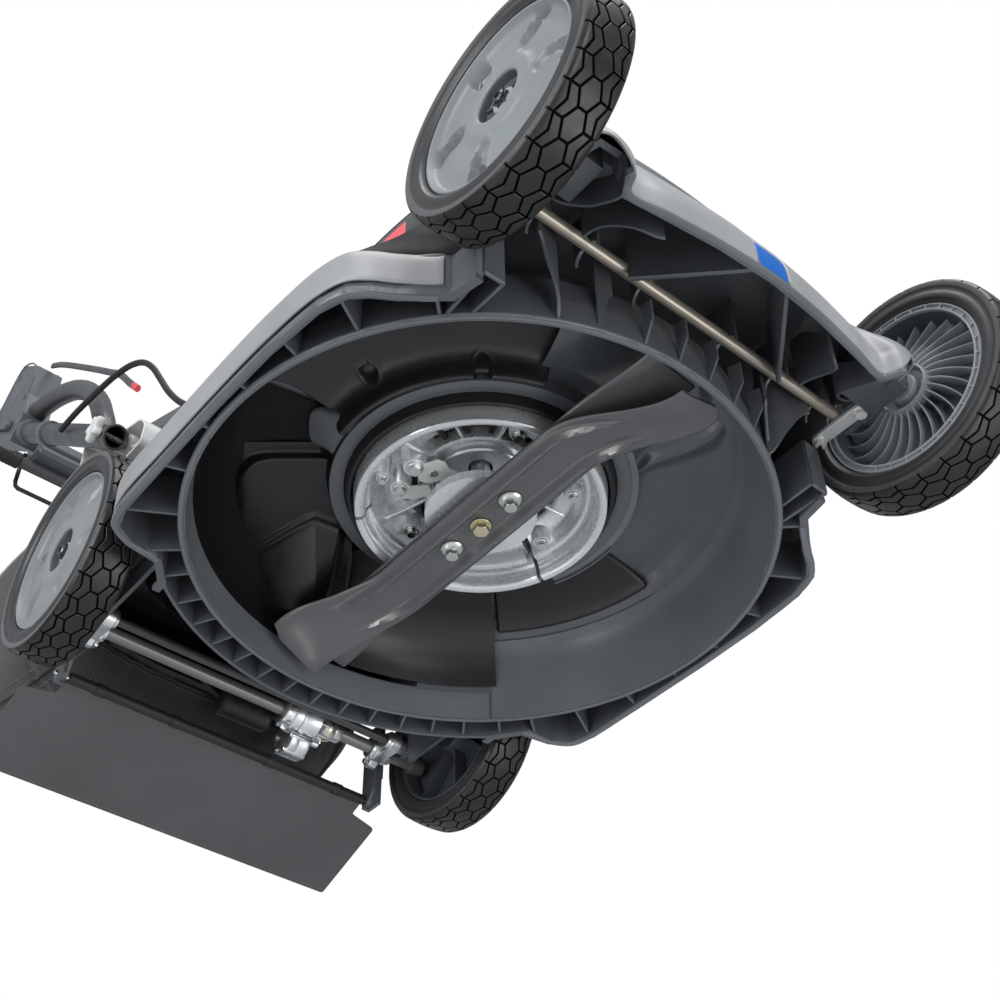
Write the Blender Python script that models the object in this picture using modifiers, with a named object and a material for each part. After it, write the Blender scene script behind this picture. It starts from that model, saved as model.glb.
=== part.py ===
# Self-propelled cordless lawn mower, deck on the lowest cutting height.
# Metres, +Z up. +Y is the rear (handle side), -Y the front, +X the operator's left.
# The blade axis is the working reference: every number below is measured from
# it, and the whole assembly is then shifted along Y so that the origin lies at
# the bottom centre of the model's box.
import bpy, bmesh, math
from mathutils import Vector, Matrix

for o in list(bpy.data.objects):
    bpy.data.objects.remove(o, do_unlink=True)

# ---------------------------------------------------------------- dimensions
YS = -0.3965            # shift of the blade-axis frame to the box centre

LIP_Z = 0.0276          # bottom of the deck rim above the ground
RING_R = 0.270          # cutting chamber radius at the rim
WALL = 0.0040           # deck wall
GAP = 0.0004            # running gap between separate pieces

WHEEL_R = 0.112         # nine inch wheel
FW_Y, FW_Z = -0.333, 0.112
FW_IN, FW_OUT = 0.2136, 0.2605
RW_Y, RW_Z = 0.338, 0.112
RW_IN, RW_OUT = 0.2228, 0.2703
FP_Y, FP_Z = -0.276, 0.105      # front height pivot
RP_Y, RP_Z = 0.384, 0.097       # rear height pivot
DS_Y, DS_Z = 0.4125, 0.102      # drive shaft
FLAP_Y, FLAP_Z = 0.4445, 0.0530  # trailing flap hinge

HP_Y, HP_Z = 0.310, 0.260       # handle fold pivot
HX = 0.250                      # handle tube plane
H_ANG = math.atan2(0.340, 0.410)
HD = (math.cos(H_ANG), math.sin(H_ANG))     # along the handle (y, z)
HN = (-HD[1], HD[0])                        # above the handle (y, z)
TUBE_R, TUBE_BORE, INNER_R = 0.0135, 0.0117, 0.0110
BAR_Y, BAR_Z = 1.205, 1.030                 # handle bar

# ---------------------------------------------------------------- scaffolding
scene = bpy.context.scene
PARTS = bpy.data.collections.new("cordless_lawn_mower")
CUTS = bpy.data.collections.new("cutters")
scene.collection.children.link(PARTS)
scene.collection.children.link(CUTS)
ROOT = bpy.data.objects.new("mower_frame", None)
ROOT.location = (0, YS, 0)
PARTS.objects.link(ROOT)

MATS = {}


def mat(name, rgb, rough=0.5, metal=0.0):
    if name not in MATS:
        m = bpy.data.materials.new(name)
        m.use_nodes = True
        b = m.node_tree.nodes["Principled BSDF"]
        b.inputs["Base Color"].default_value = (*rgb, 1)
        b.inputs["Roughness"].default_value = rough
        b.inputs["Metallic"].default_value = metal
        m.diffuse_color = (*rgb, 1)
        MATS[name] = m
    return MATS[name]


DECK = mat("deck_plastic", (0.060, 0.064, 0.070), 0.5)
TRIM = mat("trim_plastic", (0.30, 0.31, 0.32), 0.45)
BLACK = mat("black_plastic", (0.012, 0.012, 0.012), 0.45)
RUBBER = mat("rubber", (0.030, 0.027, 0.024), 0.7)
RIM = mat("rim_plastic", (0.30, 0.33, 0.36), 0.45)
CAST = mat("cast_aluminium", (0.55, 0.56, 0.57), 0.35, 1.0)
STEEL = mat("plated_steel", (0.55, 0.55, 0.53), 0.3, 1.0)
SHAFT = mat("raw_steel", (0.30, 0.27, 0.23), 0.35, 1.0)
BLADE = mat("blade_steel", (0.10, 0.10, 0.105), 0.4, 0.8)
TUBE = mat("powder_coat", (0.035, 0.036, 0.038), 0.4)
LIGHT = mat("light_plastic", (0.50, 0.51, 0.52), 0.45)
FABRIC = mat("bag_fabric", (0.16, 0.16, 0.16), 0.9)
RED = mat("signal_red", (0.65, 0.10, 0.10), 0.4)


def adopt(ob, material, cut=False):
    (CUTS if cut else PARTS).objects.link(ob)
    ob.parent = ROOT
    if cut:
        ob.hide_render = True
        ob.display_type = 'WIRE'
    elif material is not None:
        ob.data.materials.clear()
        ob.data.materials.append(material)
    return ob


def from_bm(name, bm, material, cut=False, smooth=True, sharp=35):
    me = bpy.data.meshes.new(name)
    bm.to_mesh(me)
    bm.free()
    if smooth:
        me.shade_smooth()
        me.set_sharp_from_angle(angle=math.radians(sharp))
    return adopt(bpy.data.objects.new(name, me), material, cut)


def baked(ob, name, material, cut=False, weld=True):
    """Evaluated copy of an object as a plain mesh; the source is removed."""
    bpy.context.view_layer.update()
    dg = bpy.context.evaluated_depsgraph_get()
    me = bpy.data.meshes.new_from_object(ob.evaluated_get(dg))
    mw = ob.matrix_local.copy()
    bpy.data.objects.remove(ob, do_unlink=True)
    if weld:
        bm = bmesh.new()
        bm.from_mesh(me)
        bmesh.ops.remove_doubles(bm, verts=bm.verts, dist=1e-5)
        bmesh.ops.recalc_face_normals(bm, faces=bm.faces)
        bm.to_mesh(me)
        bm.free()
    me.name = name
    me.shade_smooth()
    me.set_sharp_from_angle(angle=math.radians(35))
    new = bpy.data.objects.new(name, me)
    new.matrix_local = mw
    adopt(new, material, cut)
    new.matrix_local = mw
    return new


def box(name, lo, hi, material=None, cut=False, bevel=0.0):
    bm = bmesh.new()
    bmesh.ops.create_cube(bm, size=1.0)
    size = [hi[i] - lo[i] for i in range(3)]
    mid = [(hi[i] + lo[i]) / 2 for i in range(3)]
    bmesh.ops.transform(bm, matrix=Matrix.Translation(mid) @ Matrix.Diagonal((*size, 1)), verts=bm.verts)
    ob = from_bm(name, bm, material, cut, smooth=False)
    if bevel:
        m = ob.modifiers.new("edges", 'BEVEL')
        m.width, m.segments = bevel, 1
    return ob


def cyl(name, p0, p1, r, material=None, n=20, cut=False, r2=None):
    p0, p1 = Vector(p0), Vector(p1)
    d = p1 - p0
    bm = bmesh.new()
    bmesh.ops.create_cone(bm, cap_ends=True, segments=n, radius1=r,
                          radius2=r if r2 is None else r2, depth=d.length)
    rot = d.to_track_quat('Z', 'Y').to_matrix().to_4x4()
    bmesh.ops.transform(bm, matrix=Matrix.Translation((p0 + p1) / 2) @ rot, verts=bm.verts)
    return from_bm(name, bm, material, cut)


def turned(name, prof, material=None, n=40, axis='Z', at=(0, 0, 0), cut=False, closed=True):
    """Turn a profile of (radius, height). Open profiles start and end on the axis."""
    area = sum(prof[i][0] * prof[(i + 1) % len(prof)][1] - prof[(i + 1) % len(prof)][0] * prof[i][1]
               for i in range(len(prof)))
    if area > 0:
        prof = prof[::-1]
    me = bpy.data.meshes.new(name)
    k = len(prof)
    edges = [(i, i + 1) for i in range(k - 1)] + ([(k - 1, 0)] if closed else [])
    me.from_pydata([(r, 0, z) for r, z in prof], edges, [])
    ob = bpy.data.objects.new(name, me)
    PARTS.objects.link(ob)
    s = ob.modifiers.new("turn", 'SCREW')
    s.steps = s.render_steps = n
    s.use_merge_vertices = True
    s.merge_threshold = 0.00005
    s.use_smooth_shade = True
    if axis == 'X':
        ob.matrix_local = Matrix.Translation(at) @ Matrix.Rotation(math.pi / 2, 4, 'Y')
    elif axis == '-X':
        ob.matrix_local = Matrix.Translation(at) @ Matrix.Rotation(-math.pi / 2, 4, 'Y')
    else:
        ob.matrix_local = Matrix.Translation(at)
    return baked(ob, name, material, cut)


def wire(name, pts, r, material=None, res=2, cut=False, mesh=False):
    cu = bpy.data.curves.new(name, 'CURVE')
    cu.dimensions = '3D'
    sp = cu.splines.new('POLY')
    sp.points.add(len(pts) - 1)
    for p, q in zip(sp.points, pts):
        p.co = (*q, 1)
    cu.bevel_depth, cu.bevel_resolution, cu.use_fill_caps = r, res, True
    ob = bpy.data.objects.new(name, cu)
    if mesh or cut:
        PARTS.objects.link(ob)
        return baked(ob, name, material, cut)
    return adopt(ob, material)


def plate(name, pts, depth, axis, at, material=None, cut=False, mesh=True):
    """Flat outline, extruded. axis X: pts are (y, z); axis Z: pts are (x, y)."""
    cu = bpy.data.curves.new(name, 'CURVE')
    cu.dimensions, cu.fill_mode, cu.extrude = '2D', 'BOTH', depth / 2
    sp = cu.splines.new('POLY')
    sp.points.add(len(pts) - 1)
    for p, q in zip(sp.points, pts):
        p.co = (q[0], q[1], 0, 1)
    sp.use_cyclic_u = True
    ob = bpy.data.objects.new(name, cu)
    PARTS.objects.link(ob)
    if axis == 'X':
        ob.matrix_local = Matrix(((0, 0, 1, at), (1, 0, 0, 0), (0, 1, 0, 0), (0, 0, 0, 1)))
    else:
        ob.matrix_local = Matrix.Translation((0, 0, at))
    return baked(ob, name, material, cut)


def loft(name, rings, material=None, cut=False, closed=False, smooth=True):
    bm = bmesh.new()
    vs = [[bm.verts.new(p) for p in ring] for ring in rings]
    n = len(rings[0])
    k = len(rings)
    for i in range(k if closed else k - 1):
        a, b = vs[i], vs[(i + 1) % k]
        for j in range(n):
            bm.faces.new((a[j], a[(j + 1) % n], b[(j + 1) % n], b[j]))
    if not closed:
        bm.faces.new(vs[0][::-1])
        bm.faces.new(vs[-1])
    bmesh.ops.recalc_face_normals(bm, faces=bm.faces)
    warped = []
    for f in bm.faces:
        if len(f.verts) == 4:
            q = [v.co for v in f.verts]
            m = (q[1] - q[0]).cross(q[2] - q[0])
            if m.length > 1e-12 and abs((q[3] - q[0]).dot(m.normalized())) > 2e-6:
                warped.append(f)
    bmesh.ops.triangulate(bm, faces=warped)
    return from_bm(name, bm, material, cut, smooth)


def boolean(ob, other, op):
    m = ob.modifiers.new(op.lower(), 'BOOLEAN')
    m.operation, m.object, m.solver = op, other, 'EXACT'
    return ob


def join_meshes(name, obs, cut=True):
    """Several closed, non-touching bodies in one cutter."""
    bpy.context.view_layer.update()
    dg = bpy.context.evaluated_depsgraph_get()
    bm = bmesh.new()
    for o in obs:
        me = bpy.data.meshes.new_from_object(o.evaluated_get(dg))
        me.transform(o.matrix_local)
        bm.from_mesh(me)
        bpy.data.objects.remove(o, do_unlink=True)
    return from_bm(name, bm, None, cut, smooth=False)


def lerp(a, b, t):
    return a + (b - a) * t


def mix(A, B, t):
    return [(lerp(a[0], b[0], t), lerp(a[1], b[1], t)) for a, b in zip(A, B)]


def full(half):
    """Mirror a half outline that starts and ends on x = 0."""
    return list(half) + [(-x, y) for x, y in half[-2:0:-1]]


def inset(pts, d):
    """Move a closed outline inwards by d (one value, or one per corner)."""
    n = len(pts)
    ds = d if isinstance(d, list) else [d] * n
    area = sum(pts[i][0] * pts[(i + 1) % n][1] - pts[(i + 1) % n][0] * pts[i][1] for i in range(n))
    s = 1 if area > 0 else -1
    out = []
    for i in range(n):
        a, b, c = pts[i - 1], pts[i], pts[(i + 1) % n]
        u = Vector((b[0] - a[0], b[1] - a[1])).normalized()
        v = Vector((c[0] - b[0], c[1] - b[1])).normalized()
        n1, n2 = Vector((-u.y, u.x)) * s, Vector((-v.y, v.x)) * s
        m = n1 + n2
        m = m / max(m.length_squared, 1e-9) * 2
        m = m * min(1.0, 2.5 / max(m.length, 1e-9))
        out.append((b[0] + m.x * ds[i], b[1] + m.y * ds[i]))
    return out


def at_z(pts, z):
    return [(x, y, z) for x, y in pts]


# ---------------------------------------------------------------- deck outlines
RIM_HALF = [(0, -0.3745), (0.058, -0.3715), (0.109, -0.3650), (0.146, -0.3600), (0.155, -0.3740),
            (0.186, -0.3720), (0.193, -0.338), (0.1965, -0.298), (0.1985, -0.252), (0.206, -0.215),
            (0.238, -0.189), (0.256, -0.178), (0.271, -0.164), (0.2805, -0.136), (0.2860, -0.075),
            (0.2875, 0.0), (0.2865, 0.090), (0.285, 0.160), (0.278, 0.186), (0.255, 0.200),
            (0.2227, 0.205), (0.2045, 0.2286), (0.2035, 0.300), (0.2035, 0.370), (0.2035, 0.453), (0, 0.453)]
TOP_HALF = [(0, -0.338), (0.052, -0.336), (0.098, -0.332), (0.130, -0.328), (0.148, -0.325),
            (0.168, -0.318), (0.182, -0.303), (0.190, -0.280), (0.195, -0.245), (0.199, -0.212),
            (0.203, -0.186), (0.207, -0.165), (0.211, -0.143), (0.214, -0.118), (0.216, -0.060),
            (0.216, 0.0), (0.215, 0.075), (0.212, 0.140), (0.209, 0.170), (0.206, 0.190),
            (0.203, 0.210), (0.201, 0.240), (0.199, 0.300), (0.199, 0.370), (0.199, 0.453), (0, 0.453)]
TOP_Z = 0.158
SKIRT_Z = 0.077

L0 = full(RIM_HALF)
L0i = inset(L0, 0.0034)
L3 = full(TOP_HALF)
# per-corner set-back of the shoulder above the skirt, and blend towards the top
SHOULDER = [0.0050] * 6 + [0.0034] * 4 + [0.0060] + [0.0085] * 9 + [0.0060] + [0.0034] * 5
BLEND = [0.42] * 5 + [0.30] + [0.06] * 4 + [0.30] + [0.42] * 9 + [0.30] + [0.10] * 5
NH = len(RIM_HALF)


def mirrored(vals):
    return list(vals) + list(vals[-2:0:-1])


SH = mirrored(SHOULDER)
BL = mirrored(BLEND)
L1 = L0i
LS = inset(L0, SH)
L2 = [(lerp(a[0], b[0], t), lerp(a[1], b[1], t)) for a, b, t in zip(inset(L0, [v + 0.0015 for v in SH]), L3, BL)]


def band(z):
    return at_z(L0i, z)


outer = loft("deck_shell", [at_z(L0, LIP_Z), at_z(L0, 0.0335), at_z(L0i, 0.0340), at_z(L1, SKIRT_Z),
                            at_z(LS, 0.0835), at_z(L2, 0.121), at_z(L3, TOP_Z)], DECK)
inner = loft("deck_hollow", [at_z(inset(L0, 0.0042 + 0.0034), 0.015), at_z(inset(L0, 0.0042 + 0.0034), SKIRT_Z - 0.002),
                             at_z(inset(L0, [v + 0.0045 for v in SH]), 0.0800), at_z(inset(L2, WALL), 0.1175),
                             at_z(inset(L3, WALL), TOP_Z - WALL)], None, cut=True)


# rear housing over the discharge duct: cross-sections along Y
def house(y, ztop, hw=0.2025, zb=0.100, t=0.0):
    w = hw - t
    return [(-w, y, zb), (w, y, zb), (w, y, ztop - 0.034), (w - 0.004, y, ztop - 0.012 - t * 0.4),
            (w - 0.016, y, ztop - t), (-w + 0.016, y, ztop - t), (-w + 0.004, y, ztop - 0.012 - t * 0.4),
            (-w, y, ztop - 0.034)]


HS = [(0.196, 0.246), (0.214, 0.286), (0.250, 0.312), (0.360, 0.360), (0.440, 0.396)]
rear_o = loft("rear_housing", [house(y, z) for y, z in HS], None, cut=True)
rear_i = loft("rear_hollow", [house(0.2000, 0.246 - 0.003, t=WALL, zb=0.120), house(0.2170, 0.286 - 0.003, t=WALL, zb=0.120),
                              house(0.2500, 0.3085, t=WALL, zb=0.120), house(0.3600, 0.3565, t=WALL, zb=0.120),
                              house(0.4600, 0.4020, t=WALL, zb=0.120)], None, cut=True)

# cutting chamber, turned about the blade axis
CH_IN = [(0.2700, LIP_Z), (0.2665, 0.0600), (0.2590, 0.0920), (0.2460, 0.1120), (0.2250, 0.1240),
         (0.1580, 0.1280), (0.1470, 0.1200), (0.1425, 0.0975), (0.1300, 0.0975), (0.1300, 0.1280), (0.1000, 0.1280)]
CH_OUT = [(0.1000, 0.1335), (0.2270, 0.1335), (0.2510, 0.1185), (0.2640, 0.0950), (0.2712, 0.0620), (0.2750, LIP_Z)]
chamber = turned("chamber", CH_IN + CH_OUT, None, n=56, cut=True)


def ray_out(pts, ang):
    """Distance from the blade axis to an outline, along an angle."""
    best = None
    dx, dy = math.cos(ang), math.sin(ang)
    n = len(pts)
    for i in range(n):
        (x1, y1), (x2, y2) = pts[i], pts[(i + 1) % n]
        ex, ey = x2 - x1, y2 - y1
        den = dx * ey - dy * ex
        if abs(den) < 1e-12:
            continue
        t = (x1 * ey - y1 * ex) / den
        u = (x1 * dy - y1 * dx) / den
        if t > 0 and 0 <= u <= 1 and (best is None or t < best):
            best = t
    return best


def radial(name, ang, r0, r1, z0, z1, t):
    bm = bmesh.new()
    bmesh.ops.create_cube(bm, size=1.0)
    m = Matrix.Rotation(ang, 4, 'Z') @ Matrix.Translation(((r0 + r1) / 2, 0, (z0 + z1) / 2)) @ \
        Matrix.Diagonal((r1 - r0, t, z1 - z0, 1))
    bmesh.ops.transform(bm, matrix=m, verts=bm.verts)
    return from_bm(name, bm, None, True, smooth=False)


# second wall behind the chamber, over the narrow rear strip
def arc_wall(name, a0, a1, r0, r1, z0, z1, n):
    rings = []
    for i in range(n + 1):
        a = lerp(a0, a1, i / n)
        c, s = math.cos(a), math.sin(a)
        rings.append([(r0 * c, r0 * s, z0), (r1 * c, r1 * s, z0), (r1 * c, r1 * s, z1), (r0 * c, r0 * s, z1)])
    return loft(name, rings, None, cut=True, smooth=False)


A0 = math.atan2(0.2286, 0.2045)
back_wall = arc_wall("back_wall", A0 - 0.03, math.pi - A0 + 0.03, 0.3005, 0.3040, LIP_Z, 0.085, 22)

RIBS = []
for deg in (-44, -30, -18, -6, 6, 18, 30, 40, 47):
    for a in (math.radians(deg), math.pi - math.radians(deg)):
        r1 = ray_out(L0i, a) - 0.0018
        RIBS.append(radial("rib", a, 0.2700 + 0.0035, r1, 0.0300, 0.0750, 0.0026))
for k in range(12):
    a = math.radians(54.5 + 71.0 * k / 11)
    RIBS.append(radial("rib", a, 0.2735, 0.3020, 0.0290, 0.0600, 0.0022))
ribs = join_meshes("deck_ribs", RIBS)


def gusset(p0, p1, z0, z1, top, t):
    """Upright triangular web from p0 near the shaft to p1 at the rim; z0, z1 are its lower edge's heights."""
    d = Vector((p1[0] - p0[0], p1[1] - p0[1])).normalized()
    n = Vector((-d.y, d.x)) * (t / 2)
    rings = []
    for sg in (1, -1):
        ox, oy = n.x * sg, n.y * sg
        rings.append([(p0[0] + ox, p0[1] + oy, z0), (p1[0] + ox, p1[1] + oy, z1), (p1[0] + ox, p1[1] + oy, z1 + 0.026),
                      (lerp(p0[0], p1[0], 0.35) + ox, lerp(p0[1], p1[1], 0.35) + oy, top), (p0[0] + ox, p0[1] + oy, top)])
    return loft("web", rings, None, cut=True, smooth=False)


WEBS = [gusset((-0.0720, -0.2812), (-0.0176, -0.3690), 0.0885, 0.0560, 0.1540, 0.0030),
        gusset((0.1080, -0.2812), (0.0165, -0.3690), 0.0885, 0.0560, 0.1540, 0.0030)]
webs = join_meshes("nose_webs", WEBS)
hanger_l = box("hanger", (0.1996 - 0.0006, 0.3720, 0.0860), (0.2035, 0.3906, 0.1600), cut=True)
hanger_r = box("hanger", (-0.2035, 0.3720, 0.0860), (-0.1996 + 0.0006, 0.3906, 0.1600), cut=True)
hangers = join_meshes("rod_hangers", [hanger_l, hanger_r])

CUT = [box("cut", (-0.1610, -0.4000, 0.0), (0.1610, -0.3450, 0.0545), cut=True),
       box("cut", (0.1600, -0.3380, 0.0), (0.25, -0.2400, 0.0992), cut=True),
       box("cut", (-0.25, -0.3380, 0.0), (-0.1600, -0.2400, 0.0992), cut=True),
       box("cut", (0.1600, -0.4000, 0.0), (0.25, -0.3380 + 0.001, 0.0850), cut=True),
       box("cut", (-0.25, -0.4000, 0.0), (-0.1600, -0.3380 + 0.001, 0.0850), cut=True),
       box("cut", (-0.25, 0.240, 0.0), (0.25, 0.3720, 0.0700), cut=True),
       box("cut", (-0.25, 0.3720 - 0.001, 0.0), (0.25, 0.4270, 0.1480), cut=True),
       box("cut", (-0.1900, 0.4270 - 0.001, 0.0), (0.1900, 0.50, 0.1480), cut=True),
       box("cut", (-0.25, 0.4270 - 0.001, 0.0), (0.25, 0.50, 0.0440), cut=True)]

boolean(outer, rear_o, 'UNION')
boolean(outer, inner, 'DIFFERENCE')
boolean(outer, rear_i, 'DIFFERENCE')
for c in CUT:
    boolean(outer, c, 'DIFFERENCE')
boolean(outer, hangers, 'UNION')
boolean(outer, back_wall, 'UNION')
boolean(outer, chamber, 'UNION')
boolean(outer, ribs, 'UNION')
boolean(outer, webs, 'UNION')
# discharge opening through the chamber wall, towards the rear
boolean(outer, box("discharge_cut", (-0.150, 0.205, 0.0610), (0.110, 0.2990, 0.1200), cut=True), 'DIFFERENCE')
# bores of the pivot shafts, and the arc the drive shaft sweeps
boolean(outer, cyl("rod_bore", (-0.22, RP_Y, RP_Z), (0.22, RP_Y, RP_Z), 0.0056, n=16, cut=True), 'DIFFERENCE')
boolean(outer, cyl("shaft_slot", (-0.21, FP_Y, FP_Z), (0.21, FP_Y, FP_Z), 0.0115, n=16, cut=True), 'DIFFERENCE')
boolean(outer, cyl("flap_bore", (-0.22, FLAP_Y, FLAP_Z), (0.22, FLAP_Y, FLAP_Z), 0.0030, n=12, cut=True), 'DIFFERENCE')
# motor opening in the deck top
boolean(outer, cyl("motor_cut", (0, 0, 0.1345), (0, 0, 0.20), 0.095, n=40, cut=True), 'DIFFERENCE')


# ---------------------------------------------------------------- trims and covers
def strip(name, line, zs, offs, thick, material, gap=GAP):
    """A thin wall that follows an open run of an outline; offs move it inwards."""
    rings = []
    for i, (x, y) in enumerate(line):
        a = line[max(i - 1, 0)]
        b = line[min(i + 1, len(line) - 1)]
        t = Vector((b[0] - a[0], b[1] - a[1])).normalized()
        n = Vector((t.y, -t.x))
        ring = []
        for z, o in zip(zs, offs):
            d = gap - o + thick
            ring.append((x + n.x * d, y + n.y * d, z))
        for z, o in zip(zs[::-1], offs[::-1]):
            d = gap - o
            ring.append((x + n.x * d, y + n.y * d, z))
        rings.append(ring)
    return loft(name, rings, material)


n_half = len(RIM_HALF)
side_l = [L0i[i] for i in range(10, 20)]
strip("side_trim_left", side_l, [0.0345, 0.0765], [0, 0], 0.0028, TRIM)
side_r = [(-x, y) for x, y in side_l][::-1]
strip("side_trim_right", side_r, [0.0345, 0.0765], [0, 0], 0.0028, TRIM)

# front cover: skin over the nose, from one wheel bay to the other
def skin(name, levels, span, gap, thick, material):
    """Wall outside the closed outlines of (z, outline), over the corners -span..span."""
    sel = [k for k in range(-span, span + 1)]
    ins = [(z, inset(o, -gap)) for z, o in levels]
    out = [(z, inset(o, -gap - thick)) for z, o in levels]
    rings = []
    for k in sel:
        ring = [(o[k][0], o[k][1], z + 0.0002 * j) for j, (z, o) in enumerate(out)]
        ring += [(o[k][0], o[k][1], z + 0.0002 * j) for j, (z, o) in reversed(list(enumerate(ins)))]
        rings.append(ring)
    return loft(name, rings, material)


skin("front_cover", [(0.0560, L0i), (SKIRT_Z, L0i), (0.0835, LS), (0.121, L2), (0.1572, L3)], 6, 0.0012, 0.0024, TRIM)
cover = PARTS.objects["front_cover"]
for sx in (1, -1):
    boolean(cover, box("cover_cut", (min(sx * 0.1590, sx * 0.25), -0.4200, 0.0), (max(sx * 0.1590, sx * 0.25), -0.3000, 0.0860), cut=True), 'DIFFERENCE')

# hood over motor, battery and electronics
HOOD_HALF = [(0, -0.330), (0.060, -0.328), (0.110, -0.323), (0.150, -0.313), (0.176, -0.292),
             (0.190, -0.255), (0.200, -0.190), (0.2085, -0.130), (0.2115, -0.060), (0.2115, 0.010),
             (0.210, 0.080), (0.2070, 0.140), (0.2030, 0.180), (0.198, 0.193), (0, 0.193)]
H0 = full(HOOD_HALF)


def scaled(pts, sx, sy, cy=-0.05):
    return [(x * sx, cy + (y - cy) * sy if y < 0.19 else y) for x, y in pts]


HOOD_Z = [(0.1585, 1.0, 1.0), (0.185, 0.985, 0.985), (0.222, 0.940, 0.940), (0.258, 0.850, 0.870),
          (0.285, 0.740, 0.770), (0.303, 0.580, 0.640), (0.311, 0.420, 0.500)]
hood_o = [at_z(scaled(H0, sx, sy), z) for z, sx, sy in HOOD_Z]
hood_i = [at_z(inset(scaled(H0, sx, sy), 0.0032), z - (0.0 if k == 0 else 0.0025)) for k, (z, sx, sy) in enumerate(HOOD_Z)]
hood_i[0] = [(x, y, 0.150) for x, y, z in hood_i[0]]
hood_i[-1] = [(x, y, 0.3078) for x, y, z in hood_i[-1]]
hood = loft("top_hood", hood_o, TRIM)
boolean(hood, loft("hood_hollow", hood_i, None, cut=True), 'DIFFERENCE')
DX, DY0, DY1, DZ = 0.098, -0.205, 0.085, 0.262
boolean(hood, box("door_opening", (-DX, DY0, DZ), (DX, DY1, 0.36), cut=True), 'DIFFERENCE')
door = loft("battery_door", hood_o, DECK)
boolean(door, loft("door_hollow", hood_i, None, cut=True), 'DIFFERENCE')
boolean(door, box("door_limit", (-DX + 0.0006, DY0 + 0.0006, DZ + 0.0006), (DX - 0.0006, DY1 - 0.0006, 0.36), cut=True), 'INTERSECT')

box("battery_pack", (-0.058, -0.150, 0.1950), (0.058, 0.040, 0.2860), BLACK, bevel=0.006)

# ---------------------------------------------------------------- motor and cutter
turned("motor_ring", [(0.1180, 0.0727), (0.1200, 0.0900), (0.1215, 0.1276), (0.0700, 0.1276), (0.0700, 0.1180),
                      (0.0980, 0.1120), (0.1050, 0.0900), (0.1060, 0.0727)], CAST, n=48)
turned("motor_housing", [(0, 0.1860), (0.060, 0.1860), (0.084, 0.1780), (0.090, 0.1680), (0.090, 0.1340),
                         (0.0600, 0.1340), (0.0600, 0.1300), (0.0120, 0.1300), (0.0120, 0.1700), (0, 0.1700)], CAST, n=32, closed=False)
turned("blade_hub", [(0, 0.1690), (0.0095, 0.1690), (0.0095, 0.1000), (0.0220, 0.0940), (0.0220, 0.0820),
                     (0.0530, 0.0760), (0.0530, 0.0668), (0, 0.0668)], CAST, n=24, closed=False)


def blade(name, half_len, z0, tip_shift, tip_low, tip_high, width, rot, thick, root=0.125):
    """Pressed steel blade, the same both ways round; the low edge cuts."""
    rows = []
    ts = [-1, -0.96, -0.88, -0.78, -0.68, -0.58, -0.5, -0.2, 0.2, 0.5, 0.58, 0.68, 0.78, 0.88, 0.96, 1]
    for t in ts:
        y = abs(t) * half_len
        sg = 1 if t > 0 else -1
        u = min(1.0, max(0.0, (y - root) / (half_len - root)))
        u = u * u * (3 - 2 * u)
        xa, xb = -width / 2 - (tip_shift - 0.0) * u, width / 2 - tip_shift * u
        za, zb = lerp(z0, tip_high, u), lerp(z0, tip_low, u)
        ya = y - 0.006 * u
        ring = [(sg * xa, sg * ya, za), (sg * (xa + xb) / 2, sg * y, (za + zb) / 2), (sg * xb, sg * y, zb),
                (sg * xb, sg * y, zb + thick), (sg * (xa + xb) / 2, sg * y, (za + zb) / 2 + thick), (sg * xa, sg * ya, za + thick)]
        if sg < 0:
            ring = [ring[2], ring[1], ring[0], ring[5], ring[4], ring[3]]
        rows.append(ring)
    c, s = math.cos(rot), math.sin(rot)
    rows = [[(x * c - y * s, x * s + y * c, z) for x, y, z in r] for r in rows]
    return loft(name, rows, BLADE)


blade("lower_blade", 0.2525, 0.0560, 0.0405, 0.0270, 0.0500, 0.0640, 0.0, 0.0040)
blade("upper_blade", 0.2540, 0.0620, 0.0000, 0.0530, 0.0570, 0.0620, math.radians(1.0), 0.0036, root=0.16)
for nm, y in (("blade_bolt_front", -0.0430), ("blade_bolt_rear", 0.0430)):
    turned(nm, [(0, 0.0556), (0.0115, 0.0556), (0.0115, 0.0538), (0.0078, 0.0530), (0.0078, 0.0460), (0, 0.0460)],
           STEEL, n=18, at=(0, y, 0), closed=False)
turned("centre_bolt", [(0, 0.0556), (0.0105, 0.0556), (0.0105, 0.0540), (0.0085, 0.0530), (0.0085, 0.0450), (0, 0.0450)],
       STEEL, n=18, closed=False)


# ---------------------------------------------------------------- chamber liners
def sector(name, a0, a1, prof, n, material):
    rings = []
    for i in range(n + 1):
        a = lerp(a0, a1, i / n)
        rings.append([(r * math.cos(a), r * math.sin(a), z) for r, z in prof])
    return loft(name, rings, material)


LINER = [(0.2420, 0.1105), (0.2240, 0.1205), (0.1600, 0.1243), (0.1505, 0.1180), (0.1474, 0.1020), (0.1444, 0.1020),
         (0.1480, 0.1196), (0.1580, 0.1268), (0.2246, 0.1230), (0.2438, 0.1125)]
sector("chamber_liner_front", math.radians(150), math.radians(252), LINER, 20, BLACK)
sector("chamber_liner_rear", math.radians(3), math.radians(48), LINER, 10, BLACK)


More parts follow.
